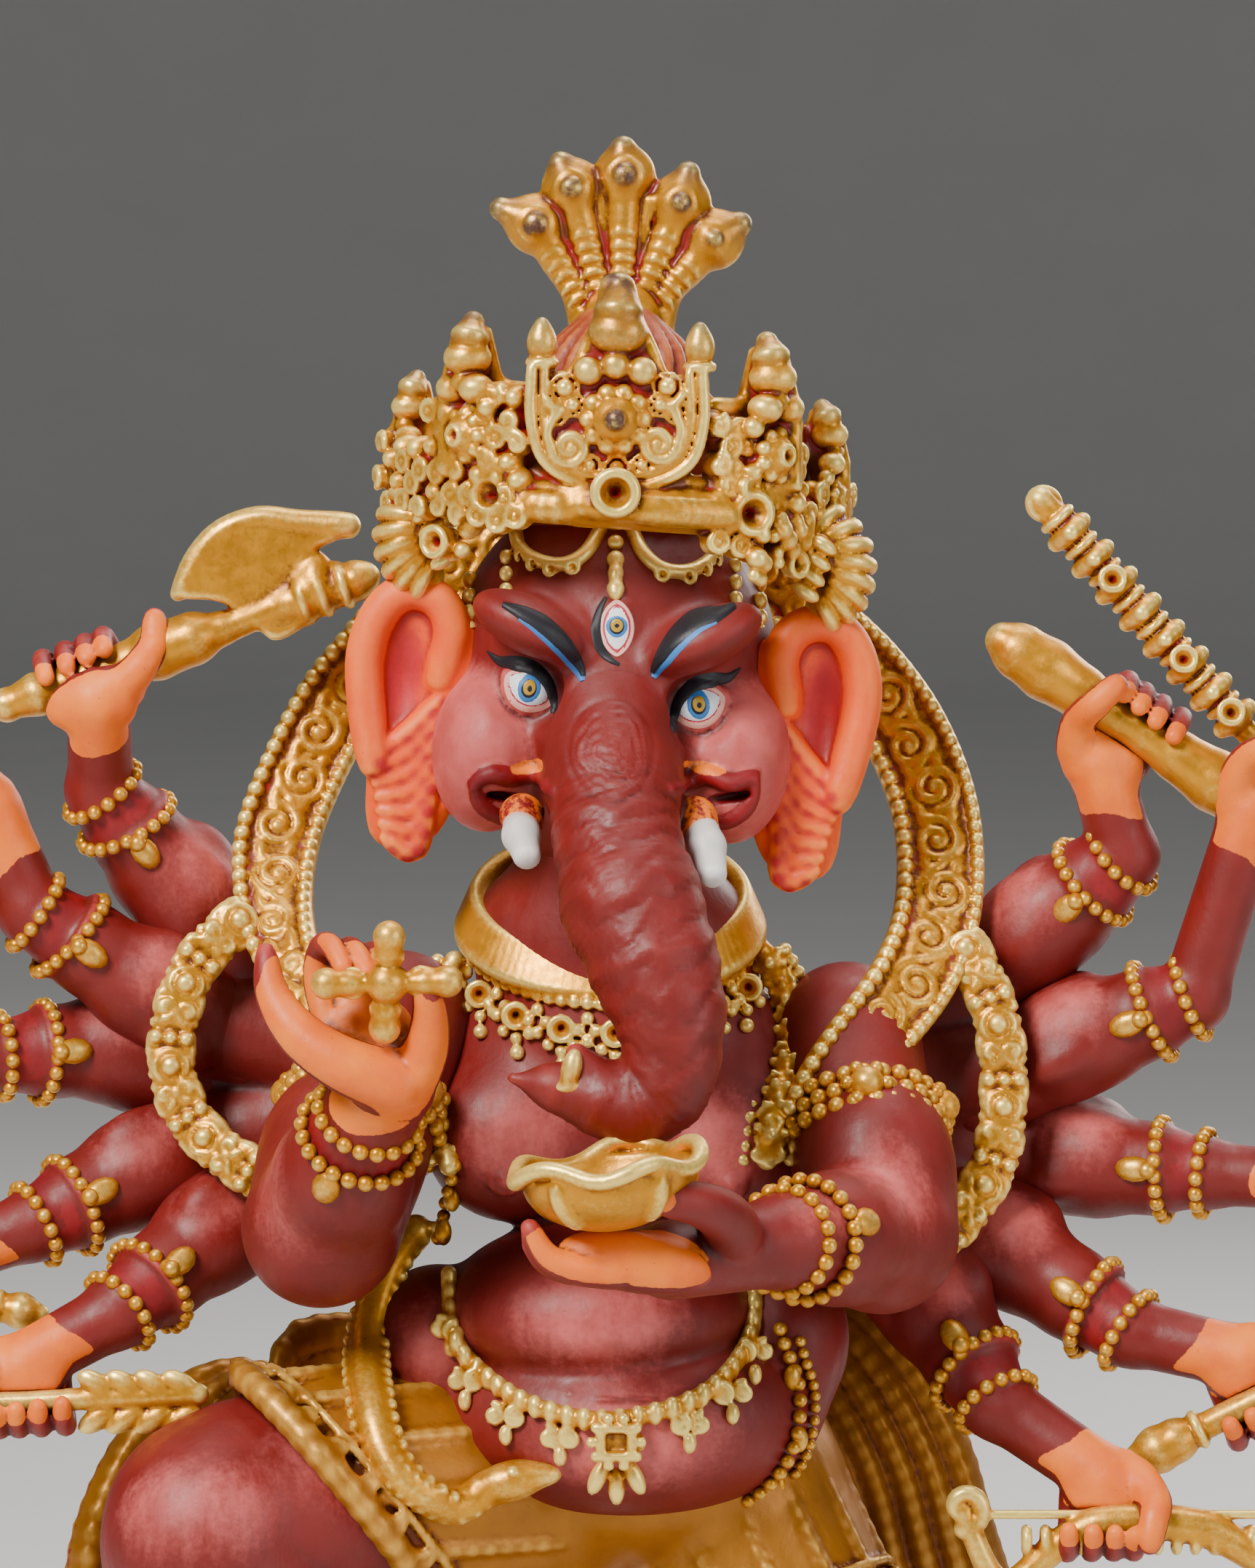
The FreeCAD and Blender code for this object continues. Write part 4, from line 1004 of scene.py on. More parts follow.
def build_front_leaf(c, y, front):
    outline = smooth_path([(-7.2, 190.6), (-7.4, 186.0), (-6.2, 182.0), (-2.5, 179.8), (2.5, 179.8), (6.2, 181.8),
                           (7.5, 185.6), (7.4, 190.2), (4.6, 189.6), (3.4, 192.0), (2.0, 195.0), (1.3, 197.6),
                           (-1.1, 197.8), (-1.8, 195.0), (-3.0, 192.2), (-4.4, 190.0)], 0.8, closed=True)
    c.add(blade(outline, y + 1.3, 1.0, 0.5), 0.6)
    for inset, size in ((0.0, 0.50), (1.05, 0.40)):
        rim = smooth_path([(-7.0 + inset, y, 190.2), (-7.1 + inset, y, 186.0), (-6.0 + inset * 0.8, y,
                182.6 + inset * 0.5),
                           (-3.0, y, 180.6 + inset), (0, y, 180.2 + inset), (3.0, y, 180.6 + inset),
                           (6.1 - inset * 0.8, y, 182.4 + inset * 0.5), (7.2 - inset, y, 185.8), (7.1 - inset,
                                   y, 189.8)], 0.6)
        c.chain(rim, [size] * len(rim), 0.15)
    for x, z in ((-6.2, 192.3), (6.9, 191.9)):
        c.add(orb((x, y + 0.8, z), (1.25, 1.2, 1.75)), 0.3, (0, 0, 0.25))
        c.add(orb((x, y + 0.8, z + 1.1), (0.75, 0.8, 1.1)), 0.3, (0, 0, 0.9))
        c.add(hoop((x, y + 0.9, z - 1.6), (0, 0, 1), 1.0, 0.42), 0.15)
    rosette(c, vec(-0.1, y - 0.1, 186.0), front, 2.75, 10, 0.42, WORN)
    for x, z in ((-2.35, 190.0), (-0.1, 190.5), (2.1, 190.0)):
        c.add(orb((x, y - 0.2, z), (1.25, 1.1, 1.2)), 0.12, (0, 0, 0.2))
    c.add(orb((0.1, y + 0.3, 193.2), (2.45, 1.9, 1.95)), 0.2, (0, 0, 0.35))
    c.add(rod((0.15, y + 0.6, 195.2), (0.25, y + 0.9, 197.0), 2.05, 1.15), 0.3, (0, 0, 0.5))
    for x, z, r in ((-4.3, 188.6, 0.8), (4.2, 188.7, 0.8), (-3.6, 187.2, 0.6), (3.6, 187.2, 0.6), (-2.2, 182.2, 0.5),
                    (2.1, 182.2, 0.5), (-5.0, 186.4, 0.55), (5.0, 186.5, 0.55), (0, 182.0, 0.6)):
        c.add(orb((x, y - 0.1, z), r), 0.15)
        c.add(hoop((x, y - 0.1, z), (0, -1, 0), r + 0.35, 0.2), 0.1)
    c.brush(orb((0.2, y, 198.2), 1.8), (None, None, 1.0), 0.9)
    for s, cx, cz in ((-1, -3.9, 183.7), (1, 3.5, 184.0)):
        curl = spiral(vec(cx, y - 0.25, cz), 1.55, 1.7, 200 if s < 0 else -20, vec(1, 0, 0), vec(0, 0, 1), -s)
        c.chain(curl, np.linspace(0.46, 0.34, len(curl)), 0.12)
        stem = smooth_path([curl[0], curl[0] + vec(s * 0.4, 0, 1.8), curl[0] + vec(-s * 0.2, 0, 3.4),
                            curl[0] + vec(s * 0.5, 0, 4.6)], 0.5)
        c.chain(stem, np.linspace(0.45, 0.35, len(stem)), 0.12)
        c.add(orb((cx + s * 0.9, y, cz + 3.1), 0.62), 0.15)
        c.add(orb((cx + s * 1.0, y, cz - 1.3), 0.5), 0.15)


def build_swags(c):
    """Loops of chain over the brow, their sockets, the middle pendant and the drops at the sides."""
    loops = [[(-8.8, 177.4), (-8.3, 174.9), (-6.6, 173.8), (-4.4, 173.6), (-2.6, 174.6), (-1.3, 176.6)],
             [(1.1, 176.8), (2.2, 174.6), (3.9, 173.2), (6.2, 173.0), (8.3, 174.2), (9.3, 176.6)]]

    def scalp(x, z, proud=0.35):
        dx, dz = (x + 0.2) / 14.0, (z - 165.0) / 14.5
        return vec(x, -3.5 - 13.0 * math.sqrt(max(0.02, 1 - dx * dx - dz * dz)) - proud, z)
    for loop in loops:
        path = smooth_path([scalp(x, z, 0.2) for x, z in loop], 0.5)
        c.chain(path, [0.62] * len(path), 0.12)
        for k in (0.34, 0.46, 0.58, 0.70):
            p = path[int(k * len(path))] + vec(0, 0, -0.45)
            c.add(hoop(p + vec(0, -0.35, 0), (0, -1, 0), 0.52, 0.26), 0.12)
            c.carve(orb(p + vec(0, -0.6, 0), 0.34), 0.08)
    for z, r in ((177.0, 0.9), (175.4, 0.72), (174.0, 0.78), (172.9, 0.70), (171.6, 0.78)):
        c.add(orb(scalp(-0.1, z), (r, r * 0.8, r * 0.95)), 0.15)
    c.add(rod(scalp(-0.1, 174.2), scalp(-0.1, 171.2), 0.6), 0.1)
    drops = [(-9.4, 174.0, 169.0, 0.62), (-12.6, 171.8, 166.4, 0.75), (10.1, 174.6, 169.9, 0.62),
             (12.2, 171.5, 166.2, 0.70)]
    for x, top, low, r in drops:
        for z in np.arange(top, low, -1.35):
            c.add(orb(scalp(x, z, 0.5), (r, r * 0.8, r * 1.15)), 0.12)


def build_side_coils():
    """Pleated ribbon shells beside the crown, over the ears."""
    for side in (-1, 1):
        tag = "right" if side < 0 else "left"
        middle = head_place(side * 17.4, -1.6, 13.6)
        c = Clay(middle - 8, middle + 8, 0.25, masks=False)
        hub = middle + vec(-side * 2.4, -0.6, -1.4)
        turns = np.linspace(-1.0, 2.3, 12)
        roll = [hub + vec(side * 3.7 * math.cos(a), -0.6 * math.cos(a), 3.7 * math.sin(a)) for a in turns]
        size = 2.1 * np.sin(np.linspace(0.7, 2.5, len(roll)))**0.6
        c.chain(roll, size, 0.5)
        for k, (p, r, a) in enumerate(zip(roll, size, turns)):
            way = vec(-side * math.sin(a), 0.15, math.cos(a))
            c.add(hoop(p, way + vec(side * 0.35, 0, 0), r + 0.15, 0.78), 0.12)
        for k in range(4):
            p = hub + vec(side * (0.4 + 0.5 * k), -3.6, -1.6 + 1.3 * k)
            c.add(orb(p, (1.3, 0.9, 0.7), turn((0, 1, 0), 35 * side)), 0.15)
        piece = c.piece(f"ear_coil_{tag}", gold)
        if side < 0:
            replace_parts(piece, "ear_rosettes")


def build_hood():
    c = Clay((-13, -6, 180), (14, 9, 212), 0.25)
    y = 2.2
    heads = [((-10.5, 203.8), (-7.0, 202.3), 1.35), ((-5.1, 208.0), (-3.9, 205.4), 1.25),
             ((0.5, 209.4), (0.65, 206.5), 1.3), ((6.3, 207.2), (5.5, 204.1), 1.15), ((11.1, 202.6), (8.4,
                     201.0), 1.05)]
    c.chain([(0.3, 0.5, 182), (0.3, y, 188), (0.4, y, 194)], [3.6, 3.6, 3.7], 0.8)
    for i, (tip, boss, size) in enumerate(heads):
        tip, boss = vec(tip[0], y, tip[1]), vec(boss[0], y, boss[1])
        foot = vec(0.4 + (i - 2) * 1.55, y, 190.5)
        elbow = vec(0.4 + (i - 2) * 1.9, y, 196.0)
        path = smooth_path([foot, elbow, elbow * 0.45 + boss * 0.55, boss], 0.9)
        c.chain(path, np.linspace(1.1, 1.6, len(path)), 0.18)
        c.add(orb(boss + vec(0, 0.3, 0), (2.7, 1.5, 2.7)), 0.5)
        c.add(rod(boss + vec(0, 0.2, 0), tip - unit(tip - boss) * 0.5, 2.2, 1.05), 0.7, (0, 0, 0.15))
        c.brush(orb(tip, 1.9), (None, None, 0.9), 1.2)
        c.add(hoop(boss + vec(0, -1.3, 0), (0, -1, 0), size * 1.12, 0.22), 0.2)
        c.add(orb(boss + vec(0, -1.35, 0), (size * 0.92, 0.9, size * 0.92)), 0.08, WORN)
        way = unit(boss - elbow)
        across = np.cross(way, (0, 1, 0))
        for k in range(7):
            p = elbow + way * (k * 1.15 - 1.2) + vec(0, -1.25, 0)
            if (p - boss) @ way > -2.4:
                continue
            bow = [p + across * x + way * (-0.25 * x * x) + vec(0, 0.22 * x * x, 0) for x in (-0.95, -0.4, 0.4, 0.95)]
            c.chain(bow, [0.26, 0.36, 0.36, 0.26], 0.15)
        if i < 4:
            nxt = vec(heads[i + 1][1][0], y, heads[i + 1][1][1])
            middle = (boss + nxt) / 2
            c.add(rod(vec(0.4 + (i - 1.5) * 1.6, y + 0.9, 192), middle + vec(0, 1.0, 0), 0.8, 1.0), 0.5)
            c.chain([vec(0.4 + (i - 1.5) * 1.9, y - 0.1, 195), middle * 0.9 + vec(0.04, 0.1 * y - 0.3,
                    0.1 * 196)], [0.3, 0.5], 0.3)
    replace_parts(c.piece("snake_hood_sculpt", gold), "snake_hood")


def build_hair():
    c = Clay((-14, -20, 172), (13, 10, 200), 0.35)
    c.add(orb((-0.2, -3.0, 181.0), (10.8, 9.8, 7.6)), 1.0)
    c.add(orb((0.2, -0.8, 188.0), (6.0, 5.6, 7.2)), 1.5)
    for k in range(22):
        a = k / 22 * 2 * math.pi
        path = [vec(0.1 + r * math.cos(a + w), -2.0 + r * 0.92 * math.sin(a + w), z)
                for r, z, w in ((10.8, 179.5, 0.0), (9.4, 184.6, 0.10), (6.6, 188.2, 0.22), (5.6, 191.4, 0.36),
                                (2.4, 194.6, 0.6))]
        line = smooth_path(path, 0.9)
        c.chain(line, np.linspace(1.05, 0.5, len(line)), 0.25)
    c.add(hoop((0.2, -1.0, 186.4), (0, 0, 1), 6.4, 0.9), 0.3, (1, 0, 0))
    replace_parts(c.piece("hair_sculpt", hair_paint), "hair_knot")


# ------------------------------------------------------------------ scarf bands
SCARF_RIGHT = [(-19.4, 10.5, 167.0), (-21.6, 10.0, 164.2), (-24.9, 9.2, 159.8), (-27.9, 7.6, 154.0),
               (-29.8, 5.2, 148.9), (-30.1, 2.2, 144.6), (-29.3, -1.2, 140.6), (-27.2, -4.8, 136.6),
               (-25.2, -7.4, 133.6), (-23.0, -9.2, 130.6)]
SCARF_LEFT = [(19.0, 10.5, 165.8), (22.4, 9.8, 162.2), (25.8, 8.6, 157.0), (27.9, 6.6, 151.4), (28.4, 4.0, 146.0),
              (27.7, 0.8, 141.2), (25.6, -3.2, 137.0), (22.3, -6.8, 133.2), (18.9, -9.2, 129.4), (16.0, -10.8, 125.2)]
SCARF_ARCH = [(-19.4, 10.5, 167.0), (-12.5, 12.5, 173.2), (0.0, 13.2, 175.8), (12.0, 12.5, 172.3), (19.0, 10.5,
        165.8)]


def band_frames(route, step=0.5):
    """Points along a band, with its width direction and the direction that it faces."""
    path = smooth_path(route, step)
    along = np.gradient(path, axis=0)
    along /= np.linalg.norm(along, axis=1)[:, None]
    width = np.cross(along, (0, 1, 0))
    width /= np.linalg.norm(width, axis=1)[:, None]
    face = np.cross(width, along)
    face *= np.sign(-face[:, 1])[:, None]
    return path, along, width, face


def build_band(name, route, widths, node, twist_end=True):
    """A broad scarf with a beaded edge each side and a running scroll between."""
    path, along, width, face = band_frames(route)
    low, high = path.min(axis=0) - 7, path.max(axis=0) + 7
    c = Clay(low, high, 0.25)
    count = len(path)
    half = np.interp(np.linspace(0, 1, count), np.linspace(0, 1, len(widths)), widths) / 2
    for i in range(0, count, 2):
        spin = np.column_stack([width[i], along[i], face[i]])
        c.add(slab(path[i], (half[i], 1.3, 0.8), spin, 0.5), 0.5)
    for edge, size, pitch in ((-1, 0.74, 1.42), (1, 0.58, 1.18)):
        line = path + width * (edge * (half - 0.55))[:, None] + face * 0.55
        c.chain(line[::2], [0.55] * len(line[::2]), 0.25)
        beads = smooth_path(line[::3], pitch)
        c.beads(beads + np.mean(face, axis=0) * 0.40, size, 0.10)
    # scroll: volutes lean to each side in turn, joined by a waving stem with leaves
    pitch = 4.9
    run = count * 0.5
    knots = np.arange(2.2, run - 2.5, pitch)
    stem = []
    for k, s in enumerate(knots):
        i = min(count - 1, int(s / 0.5))
        lean = 1 if k % 2 else -1
        room = max(0.6, half[i] - 1.35)
        centre = path[i] + face[i] * 0.85 + width[i] * lean * room * 0.16
        curl = spiral(centre, room * 0.92, 1.75, 100 * lean, width[i], along[i], -lean, 30)
        c.chain(curl, np.linspace(0.44, 0.36, len(curl)), 0.10)
        c.add(orb(centre, 0.5), 0.1)
        stem.append(path[i] + face[i] * 0.7 - width[i] * lean * room * 0.85)
        j = min(count - 1, i + 5)
        for t in (-1, 1):
            leaf = path[j] + face[j] * 0.8 + width[j] * t * room * 0.55
            c.add(orb(leaf, (0.95, 0.42, 0.55), np.column_stack([unit(along[j] + t * width[j]), face[j],
                                                                 width[j]])), 0.12)
            c.add(orb(leaf + along[j] * 0.9 - width[j] * t * 0.5, 0.4), 0.1)
    if len(stem) > 2:
        wave = smooth_path(stem, 0.6)
        c.chain(wave, [0.40] * len(wave), 0.12)
    if twist_end:
        tip = path[-1]
        for k in range(4):
            c.add(hoop(tip + along[-1] * (k * 0.9), along[-1] + width[-1] * 0.5, 1.25 - 0.2 * k, 0.5), 0.2)
    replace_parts(c.piece(name, gold), node)


def build_shoulder_arcs():
    arcs = {"right": [(-32.6, -0.5, 142.2), (-36.6, -2.2, 138.2), (-38.6, -3.4, 132.4), (-38.2, -4.0, 127.4),
                      (-35.8, -5.0, 123.6), (-32.4, -6.5, 121.2), (-29.6, -7.0, 119.6)],
            "left": [(30.2, -0.4, 139.8), (32.8, -2.0, 134.2), (33.6, -3.0, 127.8), (32.8, -4.0, 121.4),
                     (30.0, -5.4, 116.8), (26.4, -6.4, 113.8)]}
    for tag, route in arcs.items():
        path, along, width, face = band_frames(route, 0.6)
        c = Clay(path.min(axis=0) - 4, path.max(axis=0) + 4, 0.25, masks=False)
        for i in range(0, len(path), 2):
            c.add(slab(path[i], (1.9 + 0.35 * math.sin(i * 0.9), 0.9, 0.75), np.column_stack([width[i],
                    along[i], face[i]]), 0.4), 0.5)
        for i in range(1, len(path) - 1, 4):
            p = path[i] + face[i] * 0.75
            if (i // 4) % 3 == 2:
                for s in (-1, 0, 1):
                    c.add(orb(p + width[i] * s * 1.3, 0.66), 0.12)
            elif (i // 4) % 3 == 1:
                for s in (-1, 1):
                    curl = spiral(p + width[i] * s * 0.95, 0.95, 1.2, 90, width[i], along[i], s, 14)
                    c.chain(curl, [0.36] * len(curl), 0.12)
            else:
                c.add(orb(p, (1.0, 0.8, 1.0)), 0.15)
                c.add(hoop(p, face[i], 1.35, 0.34), 0.12)
        for edge in (-1, 1):
            line = smooth_path(path[::3] + width[::3] * edge * 1.65 + face[::3] * 0.2, 1.15)
            c.beads(line, 0.5, 0.12)
        piece = c.piece(f"shoulder_arc_{tag}", gold)
        if tag == "right":
            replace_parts(piece, "shoulder_arcs")


# ------------------------------------------------------------------ arms and hands
# root, swell, wrist, grip and implement direction of each rear arm; the same places as the CAD arms
REAR_ARMS = {
    "axe": ((-32.5, 8, 136.5), (-40.2, 6, 145.8), (-45.2, 3, 153.0), (-45.8, 1, 163.2), (0.94, 0.0, 0.335)),
    "goad": ((-35.6, 5, 132.2), (-42.0, 3, 136.0), (-51.0, 1, 142.5), (-58.0, -1, 150.4), (-0.25, 0.0, 0.97)),
    "sword": ((-36.2, 8, 127.1), (-45.3, 5.6, 129.9), (-54.2, 2.0, 129.6), (-63.4, -2.0, 133.4), (-0.22, 0.0, 0.97)),
    "spear": ((-35.0, 5, 121.8), (-43.0, 1, 119.0), (-50.8, -3, 115.4), (-58.6, -6, 109.6), (-0.98, 0.0, 0.17)),
    "arrow": ((-30.6, 3, 117.0), (-36.0, -3, 114.0), (-43.0, -9, 108.8), (-50.8, -14, 102.0), (-0.996, 0.0, -0.04)),
    "pestle": ((32.0, 8, 135.8), (39.3, 6, 142.2), (44.4, 3, 147.2), (44.6, 1, 158.9), (0.83, 0.0, -0.55)),
    "skull_staff": ((34.6, 5, 128.0), (42.2, 3, 131.6), (50.4, 1, 135.0), (58.4, -1, 154.2), (-0.667, 0.0, 0.745)),
    "offering_cup": ((33.8, 8, 120.8), (42.8, 5, 119.6), (51.8, 2, 119.2), (60.5, -1, 119.0), (0.0, 0.0, 1.0)),
    "banner_lance": ((28.5, 5, 115.8), (35.2, 0, 112.0), (44.6, -5, 106.4), (55.6, -10, 101.6), (0.89, 0.0, 0.455)),
    "bow": ((24.4, 3, 112.0), (28.2, -3, 107.6), (32.8, -9, 100.8), (42.0, -15, 91.8), (1.0, 0.0, 0.03)),
}
FRONT_ARMS = {
    "vajra": ((-19.0, -2, 133), (-25.0, -17, 117.5), (-20.6, -28, 128.6), (-20.0, -32, 136.0)),
    "skull_cup": ((20.0, -2, 132), (22.4, -15, 116.5), (14.2, -28, 118.2), (2.0, -34.5, 117.6)),
}
SHAFT_RADIUS = {"axe": 1.7, "goad": 1.3, "sword": 1.4, "spear": 1.3, "arrow": 1.1, "pestle": 2.0,
                "skull_staff": 1.7, "banner_lance": 1.4, "bow": 1.4}


def arm_box(points, margin=7.5):
    p = np.asarray(points, float)
    return p.min(axis=0) - margin, p.max(axis=0) + margin


def finger(c, path, r0, r1, paint=None, nail=None):
    line = smooth_path(path, 0.6)
    c.chain(line, np.linspace(r0, r1, len(line)), 0.25, paint)
    if nail is not None:
        c.brush(orb(line[-1] + nail * 0.5, r1 * 0.75), (0.0, 0.0, 0.0), 0.15)


def gripping_hand(c, wrist, grip, direction, shaft, before=False):
    """A palm that faces the front, with fingers behind the shaft whose tips come over its top.

    before puts the palm in front of the shaft, as on the hand with the axe."""
    d = unit(direction)
    u = np.asarray(grip, float) - wrist
    u = unit(u - d * (u @ d))
    f = np.cross(d, u)
    f = f if f[1] < 0 else -f
    g = np.asarray(grip, float)
    spin = np.column_stack([d, u, f])
    palm = g - u * (shaft + 2.0) - f * 0.3
    if before:
        palm = g - u * 1.4 + f * (shaft + 1.2)
    c.chain([wrist, palm - u * 0.6], [2.9, 2.7], 1.0)
    s = -1 if (d @ unit(g - wrist)) > 0 or d[0] * g[0] < 0 else 1       # the thumb is on the arm's upper side
    c.add(orb(palm, (4.6 if before else 3.7, 2.6 if before else 3.3, 1.8), spin), 1.0)
    c.add(orb(palm - d * s * 1.7 + f * 0.8 - u * 0.4, (1.7, 2.5, 1.3), spin), 0.5)
    for k in range(4):
        o = d * (s * (k - 1.2) * 1.72)
        r = shaft + 0.85
        spread = 1.0 + 0.05 * k
        path = [palm + o * 0.9 - f * 1.0, g + o - f * (r + 0.35) - u * 0.8,
                g + o * spread - f * r * 0.85 + u * r * 0.8,
                g + o * spread + u * (r + 0.25 - 0.1 * k), g + o * spread + u * r * (0.85 - 0.08 * k) + f * r * 0.75]
        line = smooth_path(path, 0.55)
        c.chain(line, np.linspace(1.15, 0.78, len(line)), 0.2)
        for p in line[-2:]:
            c.brush_facing(orb(p + f * 0.3, 1.1), (1.0, 0, 0), f, 0.2, 0.2)
    heel = palm - d * s * 2.6 - u * 0.6 + f * 0.5
    lift = shaft + (2.4 if before else 1.0)
    thumb = [heel, g - d * s * 3.9 - u * (shaft - 0.2) + f * 1.4, g - d * s * 3.7 + u * 0.6 + f * lift,
             g - d * s * 3.2 + u * 2.9 + f * (lift - 0.4)]
    if before:
        thumb = [palm + d * 2.0, g + d * 4.6 + f * lift * 0.8, g + d * 6.3 + u * 1.2 + f * 1.4,
                 g + d * 7.0 + u * 3.0 + f * 0.6]
    line = smooth_path(thumb, 0.6)
    c.chain(line, np.linspace(1.6, 0.95, len(line)), 0.5)
    c.brush_facing(orb(palm + f * 1.2 - u * 0.4, (6.2, 4.4, 2.6), spin), (1.0, 0, 0), f, 0.35, 0.25)
    for p in line:
        c.brush_facing(orb(p + f * 0.5, 1.7), (1.0, 0, 0), f + u * 0.2, 0.4, 0.25)
    c.carve(rod(g - d * 5, g + d * 5, shaft - 0.12), 0.1)


def build_rear_arm(name, root, swell, wrist, grip, direction):
    root, swell, wrist, grip = (vec(*p) for p in (root, swell, wrist, grip))
    low, high = arm_box([root, swell, wrist, grip])
    c = Clay(low, high, 0.32)
    before = root - unit(swell - root) * 4.0
    c.chain([before, root, swell * 0.6 + root * 0.4, swell, wrist * 0.5 + swell * 0.5, wrist],
            [4.9, 4.75, 4.75, 4.6, 3.9, 3.1], 1.0)
    along = unit(wrist - swell)
    light = unit(vec(0.0, -0.8, 0.75) - along * (vec(0.0, -0.8, 0.75) @ along))
    c.add(orb(swell * 0.75 + root * 0.25 + light * 0.5, (4.7, 4.7, 5.6), frame_of(along)), 1.5)
    # pink painted highlight on the side of the swell that faces up and to the front (light)
    c.brush(orb(swell + light * 3.6 - along * 1.5, (2.3, 3.4, 3.6), frame_of(along)), (None, 0.95, None), 1.7)
    if name == "offering_cup":
        open_hand(c, wrist, grip, vec(0, 0, 1), vec(0, -1, 0))
    else:
        gripping_hand(c, wrist, grip, direction, SHAFT_RADIUS[name], name in ("axe",))
    for shift in (0.2, 3.9):
        c.add(hoop(wrist - along * shift, along, 3.15 + 0.21 * shift, 0.42), 0.4)
    c.brush(orb(wrist - along * 1.9, (4.6, 4.6, 2.9), frame_of(along)), (None, 0.0, 0.55), 0.6)
    for k in range(3):
        a = 1.2 + k * 2.2
        side, cross = frame_of(along)[:, 0], frame_of(along)[:, 1]
        at = swell - along * (1.5 + 2.2 * k) + (side * math.cos(a) + cross * math.sin(a)) * 4.6
        c.add(orb(at, (1.4, 1.4, 2.6), frame_of(along)), 1.6)
    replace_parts(c.piece(f"arm_{name}_sculpt", skin), f"arm_{name}")


def open_hand(c, wrist, palm, up, front):
    """A palm held flat under a cup, with the fingers reaching round it."""
    out = unit(palm - wrist)
    side = unit(np.cross(up, out))
    spin = np.column_stack([out, side, up])
    c.chain([wrist, palm - out * 1.0], [2.8, 2.6], 1.0)
    c.add(orb(palm, (3.4, 3.1, 1.8), spin), 1.0)
    for k in range(4):
        s = side * (k - 1.5) * 1.7
        path = [palm + s + out * 1.5, palm + s * 1.1 + out * 3.8 + up * 0.6, palm + s * 1.15 + out * 4.9 + up * 2.8,
                palm + s * 1.1 + out * 5.0 + up * 4.6]
        finger(c, path, 1.05, 0.72)
    thumb = [palm - out * 1.5 + front * 1.5, palm - out * 2.6 + front * 2.8 + up * 2.0,
             palm - out * 2.2 + front * 3.2 + up * 4.4]
    finger(c, thumb, 1.3, 0.85, (1.0, 0, 0))
    c.brush_facing(orb(palm + front * 1.5, (5.5, 4.5, 3.5)), (1.0, 0, 0), front + up * 0.4, 0.45, 0.3)


def build_vajra_arm():
    shoulder, elbow, wrist, palm = (vec(*p) for p in FRONT_ARMS["vajra"])
    low, high = arm_box([shoulder, elbow, wrist, palm, (-26.5, -33, 143)], 8.5)
    c = Clay(low, high, 0.34)
    c.chain([shoulder, shoulder * 0.4 + elbow * 0.6, elbow, elbow * 0.5 + wrist * 0.5, wrist], [6.4, 6.3, 6.4,
            5.6, 4.0], 1.6)
    c.add(orb(shoulder * 0.3 + elbow * 0.7 + vec(-0.8, -1.0, 0), (6.6, 6.2, 8.2)), 2.0)
    # pink painted highlight on the front and top of the elbow
    c.brush(orb(elbow + vec(-1.0, -5.0, 4.0), (4.2, 3.2, 5.0)), (None, 0.8, None), 2.2)
    # a boat-shaped palm: its near edge sweeps from the raised first finger down to the wrist, and up again to the thumb
    edge = smooth_path([(-28.7, -32.0, 142.8), (-28.1, -33.0, 139.4), (-25.8, -34.2, 136.2), (-22.2, -34.6,
            133.8), (-18.0, -33.6, 132.0)], 0.7)
    c.chain(edge, np.interp(np.linspace(0, 1, len(edge)), (0, 0.12, 0.45, 1.0), (0.75, 1.05, 1.75, 2.5)), 0.5)
    c.chain([wrist, vec(-18.2, -31.5, 131.6)], [3.8, 3.4], 1.0)
    near = smooth_path([(-17.0, -32.8, 132.0), (-15.5, -34.0, 135.2), (-15.2, -35.2, 138.2), (-15.6, -36.4,
            140.6)], 0.7)
    c.chain(near, np.linspace(2.1, 0.85, len(near)), 0.6)
    c.add(orb((-20.8, -31.6, 135.6), (4.4, 1.5, 3.4), turn((0, 1, 0), -22)), 0.9)
    for k, x in enumerate((-24.6, -22.6, -20.6)):
        finger(c, [(x + 1.0, -31.2, 136.6), (x, -30.4, 140.4), (x + 0.4, -31.2, 143.0 - 0.3 * k), (x + 1.4,
                -34.2, 143.5 - 0.5 * k),
                   (x + 2.4, -36.2, 142.0 - 0.5 * k)], 1.25, 0.78)
    c.brush_facing(orb((-21.8, -34.0, 136.0), (9.5, 5.0, 9.0)), (1.0, 0, 0), (0.1, -1, 0.25), 0.30, 0.3)
    c.brush(orb((-20.6, -31.0, 143.5), (5.2, 3.2, 2.4)), (0.0, None, 0.2), 0.3)
    c.brush(orb((-29.6, -31.5, 142.0), (1.0, 2.6, 3.4), turn((0, 1, 0), -8)), (0.0, None, 0.3), 0.15)
    c.brush(orb(wrist - unit(wrist - elbow) * 1.0, (5.6, 5.6, 3.2), frame_of(wrist - elbow)), (0.0, 0.0, 0.55), 0.5)
    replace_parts(c.piece("arm_vajra_sculpt", skin), "arm_vajra")


